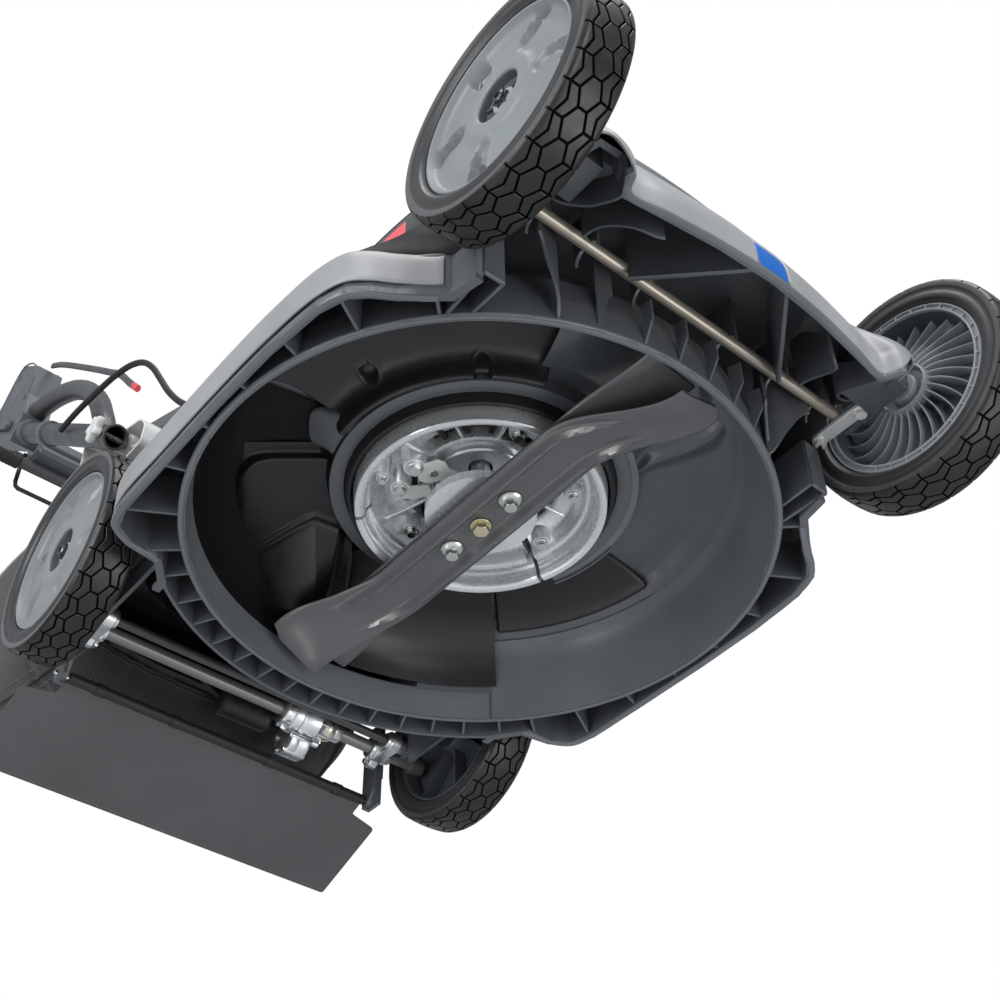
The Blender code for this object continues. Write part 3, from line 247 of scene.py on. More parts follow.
M_RUBBER = rubber()
# near-black copy of the tyre rubber for the groove floor: painted shade in the grooves
M_GROOVE_PAINTED_SHADE = plastic("tread_groove_painted_shade", (5, 5, 5), 0.85, spec=0.1)
M_SIDEWALL = plastic("tyre_sidewall", (48, 48, 49), 0.40, grain=700, strength=0.2)
# lighter, glossier copy of the tyre rubber on the rounded shoulder: a painted highlight band
M_SHOULDER_PAINTED_HIGHLIGHT = plastic("tyre_shoulder_painted_highlight", (74, 74, 76), 0.28, grain=700, strength=0.1, coat=0.2)


# ---------------------------------------------------------------- mesh helpers
def put(name, verts, faces, mats, body, idx=None, angle=38, shift=True, flip=False, replaces=(), slot=None, smooth=True):
    me = bpy.data.meshes.new(name)
    dy = YS if shift else 0.0
    me.from_pydata([(v[0], v[1] + dy, v[2]) for v in verts], [], [tuple(reversed(f)) if flip else tuple(f) for f in faces])
    for m in (mats if isinstance(mats, (list, tuple)) else [mats]):
        me.materials.append(m)
    if idx is not None:
        me.polygons.foreach_set("material_index", idx)
    if smooth:
        me.shade_smooth()
        me.set_sharp_from_angle(angle=math.radians(angle))
    bm = bmesh.new()
    bm.from_mesh(me)
    bmesh.ops.recalc_face_normals(bm, faces=bm.faces)
    bm.to_mesh(me)
    bm.free()
    me.update()
    ob = bpy.data.objects.new(name, me)
    SC.collection.objects.link(ob)
    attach(ob, body)
    if replaces:
        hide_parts(*replaces)
    return ob


class Mesh:
    """Collects vertices and faces of several shapes into one piece."""

    def __init__(self):
        self.v, self.f, self.m = [], [], []

    def add(self, verts, faces, mat=0, tf=None):
        n = len(self.v)
        self.v += [tuple(tf @ Vector(p)) for p in verts] if tf is not None else [tuple(p) for p in verts]
        self.f += [tuple(i + n for i in f) for f in faces]
        self.m += [mat] * len(faces)

    def put(self, name, mats, body, **kw):
        return put(name, self.v, self.f, mats, body, idx=self.m if isinstance(mats, (list, tuple)) and len(mats) > 1 else None, **kw)


def revolve(profile, n, axis='X', closed=False, a0=0.0, a1=2 * math.pi):
    """Profile of (r, h) about an axis; closed joins the profile's ends; open ends on the axis close themselves."""
    full_turn = abs(abs(a1 - a0) - 2 * math.pi) < 1e-6
    cols = n if full_turn else n + 1
    V, F = [], []
    k = len(profile)
    for i in range(cols):
        a = a0 + (a1 - a0) * i / n
        c, s = math.cos(a), math.sin(a)
        for r, h in profile:
            V.append((h, r * c, r * s) if axis == 'X' else (r * c, r * s, h))
    for i in range(n):
        p, q = i * k, ((i + 1) % cols) * k
        for j in range(k if closed else k - 1):
            j2 = (j + 1) % k
            F.append((p + j, p + j2, q + j2, q + j) if axis == 'X' else (p + j, q + j, q + j2, p + j2))
    if not full_turn and closed:
        F.append(tuple(range(k)) if axis == 'X' else tuple(reversed(range(k))))
        F.append(tuple(reversed(range(n * k, n * k + k))) if axis == 'X' else tuple(range(n * k, n * k + k)))
    return V, F


def inset(pts, d):
    n = len(pts)
    area2 = sum(pts[i][0] * pts[(i + 1) % n][1] - pts[(i + 1) % n][0] * pts[i][1] for i in range(n))
    s = 1 if area2 > 0 else -1
    out = []
    for i in range(n):
        a, b, c = pts[i - 1], pts[i], pts[(i + 1) % n]
        u = Vector((b[0] - a[0], b[1] - a[1])).normalized()
        v = Vector((c[0] - b[0], c[1] - b[1])).normalized()
        m = Vector((-u.y, u.x)) * s + Vector((-v.y, v.x)) * s
        m = m / max(m.length_squared, 1e-9) * 2
        m = m * min(1.0, 2.2 / max(m.length, 1e-9))
        out.append((b[0] + m.x * d, b[1] + m.y * d))
    return out


def densify(pts, step):
    out = []
    n = len(pts)
    for i in range(n):
        a, b = pts[i], pts[(i + 1) % n]
        k = max(1, int(math.ceil(math.dist(a, b) / step)))
        out += [(a[0] + (b[0] - a[0]) * j / k, a[1] + (b[1] - a[1]) * j / k) for j in range(k)]
    return out


def fill2d(outline, inner=()):
    """Triangles inside an outline, with extra inner points."""
    n = len(outline)
    r = delaunay_2d_cdt([Vector(p) for p in list(outline) + list(inner)], [], [list(range(n))], 1, 1e-7)
    return [tuple(p) for p in r[0]], [tuple(f) for f in r[2]]


def smoothstep(a, b, x):
    t = min(1.0, max(0.0, (x - a) / (b - a)))
    return t * t * (3 - 2 * t)


def lerp(a, b, t):
    return a + (b - a) * t


# ---------------------------------------------------------------- wheels
TW = 0.0470


def tread_point(u, s, depth):
    """u round the tyre, s across it from the crown centre; metres."""
    sg = 1 if s >= 0 else -1
    a = abs(s)
    if a <= 0.0190:
        x, r = s, 0.1119 - 0.0012 * (a / 0.0190) ** 2 - depth
    else:
        b = (a - 0.0190) / 0.0045
        rr = 0.0045 - depth
        x, r = sg * (0.0190 + rr * math.sin(b)), 0.1107 - 0.0045 + rr * math.cos(b)
    th = u / 0.1119
    return (TW / 2 + x, r * math.cos(th), r * math.sin(th))


def tyre_mesh():
    M = Mesh()
    N = 28
    p = 2 * math.pi * 0.1119 / N
    e, W, Z0, Z1, edge = 0.0040, 0.0098, 0.0178, 0.0138, 0.0246
    hexa = [(p / 2, -e), (p / 2, e), (0, W), (-p / 2, e), (-p / 2, -e), (0, -W)]
    band = [(0, W), (p / 2, e), (p, W), (p, Z0), (p / 2, Z1), (0, Z0)]
    block = [(0, Z0), (p / 2, Z1), (p, Z0), (p, edge), (0, edge)]
    g, dep = 0.00092, 0.0026
    pads = []
    for poly, kind in ((hexa, 'hex'), (band, 'band'), (block, 'block')):
        for sd in ((1,) if kind == 'hex' else (1, -1)):
            q = [(u, v * sd) for u, v in poly]
            a2 = sum(q[i][0] * q[(i + 1) % len(q)][1] - q[(i + 1) % len(q)][0] * q[i][1] for i in range(len(q)))
            if a2 < 0:
                q = q[::-1]
            q = densify(q, 0.0034)
            a = inset(q, g)
            b = inset(q, g + 0.00042)
            if kind == 'block':
                a = [(u, sd * edge if abs(abs(v) - edge) < 0.0013 else v) for u, v in a]
                b = [(u, sd * edge if abs(abs(v) - edge) < 0.0017 else v) for u, v in b]
            us, vs = [x[0] for x in b], [x[1] for x in b]
            grid = []
            uu = min(us) + 0.0030
            while uu < max(us) - 0.0015:
                vv = min(vs) + 0.0021
                while vv < max(vs) - 0.0012:
                    inside = False
                    for i in range(len(b)):
                        (x1, y1), (x2, y2) = b[i], b[(i + 1) % len(b)]
                        if (y1 > vv) != (y2 > vv) and uu < (x2 - x1) * (vv - y1) / (y2 - y1) + x1:
                            inside = not inside
                    if inside and min(math.dist((uu, vv), x) for x in b) > 0.0015:
                        grid.append((uu, vv))
                    vv += 0.0028
                uu += 0.0040
            top, tri = fill2d(b, grid)
            pads.append((a, b, top, tri))
    for k in range(N):
        du = k * p
        for a, b, top, tri in pads:
            n = len(a)
            V = [tread_point(u + du, v, dep) for u, v in a] + [tread_point(u + du, v, 0.00030) for u, v in a] + \
                [tread_point(u + du, v, 0.0) for u, v in b]
            F = []
            for j in range(n):
                j2 = (j + 1) % n
                F.append((j, j2, n + j2, n + j))
                F.append((n + j, n + j2, 2 * n + j2, 2 * n + j))
            idx = []
            for q in top:
                best = min(range(n), key=lambda i: (b[i][0] - q[0]) ** 2 + (b[i][1] - q[1]) ** 2)
                if math.dist(b[best], q) < 2e-6:
                    idx.append(2 * n + best)
                else:
                    idx.append(len(V))
                    V.append(tread_point(q[0] + du, q[1], 0.0))
            F += [tuple(idx[i] for i in t) for t in tri]
            M.add(V, F, 0)
    # groove floor in near-black rubber as painted shade, then the side walls down to the rim on both sides
    S = [-edge, -0.0225, -0.0195, -0.0100, 0.0, 0.0100, 0.0195, 0.0225, edge]
    fl_p = []
    for s in S:
        x, y, z = tread_point(0.0, s, dep)
        fl_p.append((y, x))
    V, F = revolve(fl_p, 168)
    M.add(V, F, 1)
    for sgn in (1, -1):
        x0, y0, _ = tread_point(0.0, sgn * edge, dep)
        x1, y1, _ = tread_point(0.0, sgn * edge, 0.0)
        c = TW / 2
        pr = [(y0, x0), (y1, x1), (0.1066, c + sgn * 0.02345), (0.1050, c + sgn * 0.02350), (0.1036, c + sgn * 0.02345),
              (0.1026, c + sgn * 0.02310), (0.1018, c + sgn * 0.02240), (0.1006, c + sgn * 0.02215), (0.0984, c + sgn * 0.02220),
              (0.0974, c + sgn * 0.02250), (0.0962, c + sgn * 0.02300), (0.0940, c + sgn * 0.02330), (0.0918, c + sgn * 0.02325), (0.0908, c + sgn * 0.02270),
              (0.0900, c + sgn * 0.02150), (0.0890, c + sgn * 0.02060), (0.0876, c + sgn * 0.02000), (0.0868, c + sgn * 0.0170)]
        V, F = revolve(pr, 140)
        if sgn > 0:
            F = [tuple(reversed(f)) for f in F]
        k = len(pr)
        n0 = len(M.m)
        M.add(V, F, 2)
        # the rounded shoulder's faces take the lighter rubber, a painted highlight
        for q in range(len(F)):
            if q % (k - 1) in (1, 2, 3, 4):
                M.m[n0 + q] = 3
    V, F = revolve([(0.0868, TW / 2 - 0.0170), (0.0868, TW / 2 + 0.0170)], 112)
    M.add(V, F, 2)
    return M


def star(r0, r1, n, h0, h1):
    V, F = [], []
    for h in (h0, h1):
        for i in range(2 * n):
            a = math.pi * i / n
            r = r1 if i % 2 == 0 else r0
            V.append((h, r * math.cos(a), r * math.sin(a)))
    k = 2 * n
    for i in range(k):
        j = (i + 1) % k
        F.append((i, j, k + j, k + i))
    F.append(tuple(range(k, 2 * k)))
    F.append(tuple(reversed(range(k))))
    return V, F


POCKETS = {"front": [(7, 1.0), (69, 1.0), (130, 1.0), (193, 1.0), (296, 1.0)], "rear": [(141, 0.5), (201, 0.5), (261, 0.5), (329, 0.5), (21, 0.5), (81, 0.5)]}


def rim_mesh(end):
    """Disc wheel centre: scooped outer face, hub, drum with double ring and vanes."""
    M = Mesh()
    w = TW
    prof = [(0.0868, 0.0100), (0.0864, 0.0052), (0.0856, 0.0040), (0.0846, 0.0037), (0.0836, 0.0041), (0.0828, 0.0056), (0.0818, 0.0080), (0.0804, 0.0098),
            (0.0784, 0.0108), (0.0750, 0.0112), (0.0715, 0.0108), (0.0680, 0.0100), (0.0645, 0.0093), (0.0610, 0.0088), (0.0575, 0.0085),
            (0.0540, 0.0084), (0.0505, 0.0084), (0.0470, 0.0084), (0.0440, 0.0082), (0.0415, 0.0076), (0.0390, 0.0066), (0.0370, 0.0056),
            (0.0350, 0.0050), (0.0320, 0.0047), (0.0290, 0.0046), (0.0262, 0.0046), (0.0246, 0.0048), (0.0238, 0.0054), (0.0233, 0.0068), (0.0228, 0.0100), (0.0222, 0.0135),
            (0.0212, 0.0142), (0.0150, 0.0144), (0.0090, 0.0144), (0.0000, 0.0144)]
    fine = []
    for i in range(len(prof) - 1):
        (r0, h0), (r1, h1) = prof[i], prof[i + 1]
        k = 2 if 0.036 < r0 < 0.080 else 1
        for j in range(k):
            fine.append((lerp(r0, r1, j / k), lerp(h0, h1, j / k)))
    fine.append(prof[-1])
    NT = 240
    V, F = [], []
    for i in range(NT):
        th = 2 * math.pi * i / NT
        for r, h in fine:
            d = 0.0
            if 0.036 < r < 0.0822:
                for pa, dep in POCKETS[end]:
                    ph = (math.degrees(th) - pa + 180) % 360 - 180
                    a = math.radians(ph) * r
                    wd = 0.0112 + 0.05 * max(0.0, r - 0.055)
                    if r < 0.0560:
                        q = math.hypot(a / wd, (0.0560 - r) / 0.0160)
                    else:
                        q = abs(a) / wd
                    if q > 1.5:
                        continue
                    m = 1 - smoothstep(0.70, 1.0, q)
                    out = 1 - smoothstep(0.0775, 0.0812, r)
                    side = 0.80 + 0.20 * math.sin(ph * 0.12)
                    d += 0.0105 * dep * m * out * (0.40 + 0.60 * smoothstep(0.042, 0.066, r)) * side
                    d -= 0.0009 * dep * math.exp(-((q - 1.10) / 0.14) ** 2) * out * (1 - smoothstep(0.070, 0.078, r))
            V.append((w - h - d, r * math.cos(th), r * math.sin(th)))
    k = len(fine)
    MI = []
    for i in range(NT):
        p, q = i * k, ((i + 1) % NT) * k
        for j in range(k - 1):
            F.append((p + j, q + j, q + j + 1, p + j + 1))
            # faces of the hub recess take the darker rim copy, painted shade
            MI.append(3 if fine[j][0] < 0.0234 else 0)
    n0 = len(M.m)
    M.add(V, F, 0)
    M.m[n0:] = MI
    # fastener in the hub, on a stepped boss with ribs; the ribs are in the darker rim copy as painted shade
    V, F = revolve([(0.0120, w - 0.0143), (0.0116, w - 0.0112), (0.0108, w - 0.0106), (0.0080, w - 0.0104), (0.0030, w - 0.0104)], 40)
    M.add(V, [tuple(reversed(f)) for f in F], 1)
    for i in range(6):
        b = [(x, r, t) for x in (w - 0.0143, w - 0.0118) for r in (0.0112, 0.0222) for t in (-0.0008, 0.0008)]
        M.add(b, [(0, 1, 3, 2), (4, 6, 7, 5), (0, 4, 5, 1), (2, 3, 7, 6), (0, 2, 6, 4), (1, 5, 7, 3)], 3, Matrix.Rotation(math.pi / 3 * i + 0.4, 4, 'X'))
    V, F = star(0.0052, 0.0086, 6, w - 0.0112, w - 0.0076)
    M.add(V, F, 4)
    V, F = revolve([(0.0058, w - 0.0078), (0.0056, w - 0.0060), (0.0048, w - 0.0050), (0.0032, w - 0.0046), (0.0030, w - 0.0070), (0.0005, w - 0.0072)], 30)
    M.add(V, [tuple(reversed(f)) for f in F], 4)
    if end == "front":
        pin = [(0.0868, 0.0370), (0.0868, 0.0058), (0.0862, 0.0036), (0.0854, 0.0030), (0.0846, 0.0034), (0.0842, 0.0064), (0.0812, 0.0064), (0.0808, 0.0034),
               (0.0802, 0.0028), (0.0792, 0.0030), (0.0786, 0.0060), (0.0778, 0.0220), (0.0764, 0.0280), (0.0700, 0.0306), (0.0500, 0.0312),
               (0.0320, 0.0304), (0.0276, 0.0270), (0.0262, 0.0160), (0.0256, 0.0070), (0.0250, 0.0052), (0.0236, 0.0048), (0.0228, 0.0056), (0.0222, 0.0120),
               (0.0150, 0.0130), (0.0138, 0.0060), (0.0128, 0.0050), (0.0074, 0.0050), (0.0064, 0.0060), (0.0064, 0.0330)]
        V, F = revolve(pin, 150)
        n0 = len(M.m)
        M.add(V, [tuple(reversed(f)) for f in F], 1)
        kk = len(pin) - 1
        # the drum floor's faces take the darker rim copy, painted shade
        for q in range(len(F)):
            if q % kk in (10, 11, 12, 13, 14, 15, 16):
                M.m[n0 + q] = 3
        for i in range(30):
            a = 2 * math.pi * (i + 0.3) / 30
            b = [(x, r, t) for x in (0.0036, 0.0066) for r in (0.0806, 0.0848) for t in (-0.0006, 0.0006)]
            M.add(b, [(0, 1, 3, 2), (4, 6, 7, 5), (0, 4, 5, 1), (2, 3, 7, 6), (0, 2, 6, 4), (1, 5, 7, 3)], 1, Matrix.Rotation(a, 4, 'X'))
        for i in range(26):
            a0 = 2 * math.pi * i / 26
            V, F = [], []
            S = 10
            for j in range(S + 1):
                t = j / S
                r = lerp(0.0256, 0.0790, t)
                a = a0 + math.radians(24) * (t ** 1.4)
                xe = 0.0075 + 0.0120 * smoothstep(0.0, 1.0, t) + 0.0040 * math.sin(math.pi * t)
                th = 0.00085
                d = Vector((-math.sin(a), math.cos(a)))
                c = Vector((r * math.cos(a), r * math.sin(a)))
                for x, tt in ((xe + 0.0004, -th * 0.8), (xe, -th * 0.3), (xe, th * 0.3), (xe + 0.0004, th * 0.8), (0.0305, th * 1.3), (0.0305, -th * 1.3)):
                    q = c + d * tt
                    V.append((x, q.x, q.y))
            for j in range(S):
                for q in range(6):
                    a, b = j * 6, (j + 1) * 6
                    q2 = (q + 1) % 6
                    F.append((a + q, a + q2, b + q2, b + q))
            M.add(V, [tuple(reversed(f)) for f in F], 1)
    else:
        pin = [(0.0868, 0.0370), (0.0868, 0.0058), (0.0860, 0.0034), (0.0848, 0.0030), (0.0842, 0.0060), (0.0836, 0.0290), (0.0700, 0.0306), (0.0400, 0.0306),
               (0.0262, 0.0290), (0.0246, 0.0160), (0.0240, 0.0075), (0.0232, 0.0060), (0.0120, 0.0056), (0.0064, 0.0060), (0.0064, 0.0330)]
        # the rear drum, its teeth and ribs are all in the darker rim copy, painted shade of the drum's inside
        V, F = revolve(pin, 120)
        M.add(V, [tuple(reversed(f)) for f in F], 3)
        # ring gear teeth inside the drum
        for i in range(86):
            a = 2 * math.pi * i / 86
            V = [(x, r, t) for x in (0.0060, 0.0220) for r, t in ((0.0840, -0.0018), (0.0840, 0.0018), (0.0827, 0.0008), (0.0827, -0.0008))]
            M.add(V, [(0, 1, 2, 3), (7, 6, 5, 4), (0, 4, 5, 1), (1, 5, 6, 2), (2, 6, 7, 3), (3, 7, 4, 0)], 3, Matrix.Rotation(a, 4, 'X'))
        for i in range(8):
            a = 2 * math.pi * i / 8
            b = [(x, r, t) for x in (0.0140, 0.0300) for r in (0.0250, 0.0820) for t in (-0.0012, 0.0012)]
            M.add(b, [(0, 1, 3, 2), (4, 6, 7, 5), (0, 4, 5, 1), (2, 3, 7, 6), (0, 2, 6, 4), (1, 5, 7, 3)], 3, Matrix.Rotation(a, 4, 'X'))
    return M


TYRE = tyre_mesh()
RIMS = {"front": rim_mesh("front"), "rear": rim_mesh("rear")}
WHEELS = {"front": (-0.333, 0.112, 0.2136), "rear": (0.338, 0.112, 0.2228)}
for end, (wy, wz, xin) in WHEELS.items():
    for side, s in (("left", 1), ("right", -1)):
        ph = {"frontleft": 3.0, "frontright": 6.4, "rearleft": 11.0, "rearright": 8.6}[end + side]
        for what, M, mats, slot in (("tyre", TYRE, [M_RUBBER, M_GROOVE_PAINTED_SHADE, M_SIDEWALL, M_SHOULDER_PAINTED_HIGHLIGHT], "tyre"),
                                    ("rim", RIMS[end], [M_RIM, M_RIM_IN, M_MATTE, M_RIM_PAINTED_SHADE, M_STAR], "rim_plastic")):
            R = Matrix.Rotation(math.radians(ph if what == "tyre" else 0.0), 4, 'X')
            V = [R @ Vector(v) for v in M.v]
            V = [(s * (xin + v.x), wy + v.y, wz + v.z) for v in V]
            put(f"{end}_{what}_{side}_detail", V, M.f, mats, f"{end}_wheel_{side}", idx=M.m, angle=32,
                flip=(s < 0), replaces=[f"{end}_{what}_{side}"], slot=slot)

# ---------------------------------------------------------------- finishes of the carried-over CAD nodes
FINISH = {
    "deck_shell": M_DECK, "discharge_duct": M_BLACK, "bag_frame": M_BLACK, "rear_door": M_DECK, "battery_door": M_DECK,
    "top_hood": M_HOOD, "front_cover": M_TRIM, "side_trim_left": M_TRIM, "side_trim_right": M_TRIM, "battery_pack": M_BLACK,
    "front_pivot_shaft": M_SHAFT, "motor_housing": M_ALU, "blade_hub": M_ALU_BRIGHT, "drive_shaft": M_AXLE, "rear_pivot_rod": M_TUBE,
    "front_arm_left": M_DECK, "front_arm_right": M_DECK, "rear_arm_left": M_DECK, "rear_arm_right": M_DECK,
    "bail_bar": M_TUBE, "upper_handle": M_TUBE, "lower_tube_left": M_TUBE, "lower_tube_right": M_TUBE, "drive_lever": M_BLACK,
    "fold_release_rod": M_TUBE, "handle_brace_left": M_DECK, "handle_brace_right": M_DECK, "clamp_lever_left": M_DECK,
    "clamp_lever_right": M_DECK, "handle_bracket_left": M_LIGHT, "handle_bracket_right": M_LIGHT, "height_lever": M_BLACK,
    "control_box": M_DECK, "speed_dial": M_BLACK, "start_button": M_RED, "rear_flap": M_DECK, "drive_motor": M_DECK,
    "gearbox_housing": M_ALU, "rear_bracket_left": M_ALU, "rear_bracket_right": M_ALU,
    "front_strap_left": M_ALU, "front_strap_right": M_ALU, "handle_cable": M_MATTE, "grass_bag": M_BLACK,
}
SOFT_EDGE = {"deck_shell": 0.0010, "front_cover": 0.0008, "top_hood": 0.0010, "battery_door": 0.0008, "rear_door": 0.0010, "discharge_duct": 0.0012,
             "bag_frame": 0.0012, "front_arm_left": 0.0012, "front_arm_right": 0.0012, "rear_arm_left": 0.0012, "rear_arm_right": 0.0012,
             "handle_brace_left": 0.0016, "handle_brace_right": 0.0016, "clamp_lever_left": 0.0012, "clamp_lever_right": 0.0012,
             "height_lever": 0.0014, "control_box": 0.0016, "side_trim_left": 0.0006, "side_trim_right": 0.0006, "battery_pack": 0.0020,
             "rear_flap": 0.0006, "drive_motor": 0.0010}


def cad(name):
    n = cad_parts[name]
    return n if hasattr(n, "data") else bpy.data.objects[name]


def soft_edges(ob, width, seg=2, angle=28):
    w = ob.modifiers.new("weld", 'WELD')
    w.merge_threshold = 0.00002
    m = ob.modifiers.new("edges", 'BEVEL')
    m.width, m.segments, m.limit_method, m.angle_limit = width, seg, 'ANGLE', math.radians(angle)
    m.use_clamp_overlap = True
    m.harden_normals = True
    return m


for nm, mt in FINISH.items():
    ob = cad(nm)
    for sl in ob.material_slots:
        sl.material = mt
    if nm in SOFT_EDGE:
        soft_edges(ob, SOFT_EDGE[nm])

# ---------------------------------------------------------------- blades
def hexr(r, th):
    """Radius of a hexagon of circumradius r at an angle."""
    q = (th + math.pi / 6) % (math.pi / 3) - math.pi / 6
    return r * math.cos(math.pi / 6) / math.cos(q)


def turned_v(rings, n, axis=(0, 0, 1), at=(0, 0, 0)):
    """Rings of (radius or function of angle, height) about an axis; the ends are closed by small discs."""
    q = Vector((0, 0, 1)).rotation_difference(Vector(axis).normalized())
    V, F = [], []
    for r, h in rings:
        for i in range(n):
            a = 2 * math.pi * i / n
            rr = r(a) if callable(r) else r
            V.append(tuple(Vector(at) + q @ Vector((rr * math.cos(a), rr * math.sin(a), h))))
    for k in range(len(rings) - 1):
        for i in range(n):
            j = (i + 1) % n
            F.append((k * n + i, k * n + j, (k + 1) * n + j, (k + 1) * n + i))
    F.append(tuple(reversed(range(n))))
    F.append(tuple(range((len(rings) - 1) * n, len(rings) * n)))
    return V, F


def hex_bolt(M, at, axis, r, h, flange=0.0, fh=0.0022, mat=0, washer=0.0, turn=0.0):
    """Hex head with chamfered top, on a domed flange and washer; grows from `at` along axis."""
    n = 48

    def hx(k):
        return lambda a: min(hexr(r, a + turn) * 1.0, r * k)
    z = 0.0
    if washer:
        V, F = turned_v([(washer - 0.0004, 0.0), (washer, 0.0003), (washer, 0.0012), (washer - 0.0004, 0.0015), (0.001, 0.0015)], n, axis, at)
        M.add(V, F, mat)
        z = 0.0014
    if flange:
        V, F = turned_v([(flange - 0.0003, z), (flange, z + 0.0005), (flange * 0.97, z + 0.0010), (flange * 0.86, z + fh * 0.62), (flange * 0.72, z + fh * 0.86), (r * 0.99, z + fh), (0.001, z + fh)], n, axis, at)
        M.add(V, F, mat)
        z += fh - 0.0004
    V, F = turned_v([(hx(1.0), z), (hx(1.0), z + h * 0.80), (hx(0.955), z + h * 0.93), (hx(0.90), z + h * 0.985), (r * 0.80, z + h), (0.0004, z + h)], n, axis, at)
    M.add(V, F, mat)


def bolt_piece(name, body, at, axis, r, h, mats, **kw):
    rep = kw.pop("replaces", ())
    slot = kw.pop("slot", "plated_steel")
    M = Mesh()
    hex_bolt(M, at, axis, r, h, **kw)
    return M.put(name, mats, body, replaces=rep, slot=slot, angle=30)


def blade_mesh(half_len, z0, tip_shift, tip_low, tip_high, width, rot, thick, root, ridges):
    NT, NS = 150, 40
    top, bot = [], []
    for i in range(NT + 1):
        t = -1 + 2 * i / NT
        t = math.copysign(abs(t) ** 0.92, t)
        y = abs(t) * half_len
        sg = 1 if t > 0 else -1
        u = smoothstep(root, half_len, y)
        u1 = smoothstep(root - 0.012, half_len - 0.018, y)
        pinch = 0.0035 * math.exp(-((y - 0.176) / 0.020) ** 2) if tip_shift else 0.0
        rb, rt = [], []
        for j in range(NS + 1):
            sj = -1 + 2 * j / NS
            sj = math.copysign(abs(sj) ** 0.9, sj)
            w = width / 2 - 0.0006
            xa, xb = -w - tip_shift * u1, w - tip_shift * u
            if tip_shift:
                xa += pinch * 0.6
            q = (sj + 1) / 2
            x = lerp(xa, xb, q)
            z = lerp(lerp(z0, tip_high, u), lerp(z0, tip_low, u), smoothstep(0.0, 1.0, q) * 0.6 + q * 0.4)
            yy = y - 0.006 * u * (1 - q)
            if tip_shift:
                # rounded outer corner of the flared end
                yy -= 0.010 * smoothstep(0.72, 1.0, 1 - q) * smoothstep(0.9, 1.0, y / half_len)
            hgt = 0.0
            if ridges:
                for cs, amp in ((-0.66, 1.0), (0.66, 1.0)):
                    fade = 1 - smoothstep(0.150, 0.200 if cs > 0 else 0.192, y)
                    taper = 0.145 * (0.30 + 0.70 * (1 - smoothstep(0.10, 0.200, y)))
                    c2 = cs * (1 - 0.22 * smoothstep(0.11, 0.20, y))
                    hgt += amp * ridges * fade * math.exp(-((sj - c2) / taper) ** 2)
            edge = 0.0012 * smoothstep(0.90, 1.0, abs(sj)) ** 2
            rb.append((sg * x, sg * yy, z - hgt + edge))
            rt.append((sg * x, sg * yy, z - hgt * 0.9 + thick - edge))
        if sg < 0:
            rb, rt = rb[::-1], rt[::-1]
        bot.append(rb)
        top.append(rt)
    c, s = math.cos(rot), math.sin(rot)
    V = []
    for rows in (bot, top):
        for r in rows:
            V += [(x * c - y * s, x * s + y * c, z) for x, y, z in r]
    F = []
    K = NS + 1
    off = (NT + 1) * K
    for i in range(NT):
        for j in range(NS):
            a, b = i * K + j, (i + 1) * K + j
            F.append((a, b, b + 1, a + 1))
            F.append((off + a, off + a + 1, off + b + 1, off + b))
        F.append((i * K, off + i * K, off + (i + 1) * K, (i + 1) * K))
        F.append((i * K + NS, (i + 1) * K + NS, off + (i + 1) * K + NS, off + i * K + NS))
    for j in range(NS):
        F.append((j, j + 1, off + j + 1, off + j))
        F.append((NT * K + j, off + NT * K + j, off + NT * K + j + 1, NT * K + j + 1))
    return V, F


V, F = blade_mesh(0.2535, 0.0563, 0.0400, 0.0298, 0.0497, 0.0640, 0.0, 0.0034, 0.125, 0.0080)
put("lower_blade_detail", V, F, M_BLADE, "cutter", angle=50, replaces=["lower_blade"], slot="blade_steel")
V, F = blade_mesh(0.2535, 0.0622, 0.0, 0.0534, 0.0572, 0.0620, math.radians(1.0), 0.0032, 0.16, 0.0)
put("upper_blade_detail", V, F, M_BLADE, "cutter", angle=50, replaces=["upper_blade"], slot="blade_steel")
for nm, y, tn in (("blade_bolt_front", -0.043, 0.25), ("blade_bolt_rear", 0.043, 0.62)):
    bolt_piece(nm + "_detail", "cutter", (0, y, 0.0556), (0, 0, -1), 0.0066, 0.0068, M_ZINC, flange=0.0116, fh=0.0036, turn=tn, replaces=[nm])
bolt_piece("centre_bolt_detail", "cutter", (0, 0, 0.0556), (0, 0, -1), 0.0080, 0.0072, M_YELLOW, washer=0.0098, turn=0.4, replaces=["centre_bolt"])

# ---------------------------------------------------------------- motor seen from below
def arc_profile(M, prof, a0, a1, n, mat=0, closed=True):
    V, F = revolve(prof, n, 'Z', closed, math.radians(a0), math.radians(a1))
    ar = sum(prof[i][0] * prof[(i + 1) % len(prof)][1] - prof[(i + 1) % len(prof)][0] * prof[i][1] for i in range(len(prof)))
    if (ar < 0) == closed or (not closed and ar < 0):
        F = [tuple(reversed(f)) for f in F]
    M.add(V, F, mat)


MR = Mesh()
RING = [(0.1180, 0.0730), (0.1187, 0.0738), (0.1204, 0.0900), (0.1214, 0.1270), (0.1080, 0.1270), (0.1046, 0.1080), (0.1030, 0.0960),
        (0.1036, 0.0900), (0.1062, 0.0868), (0.1084, 0.0842), (0.1092, 0.0790), (0.1104, 0.0750), (0.1122, 0.0733), (0.1150, 0.0727)]
for a0, a1 in ((21.0, 135.4), (137.6, 378.8)):
    arc_profile(MR, RING, a0, a1, int((a1 - a0) * 0.6))
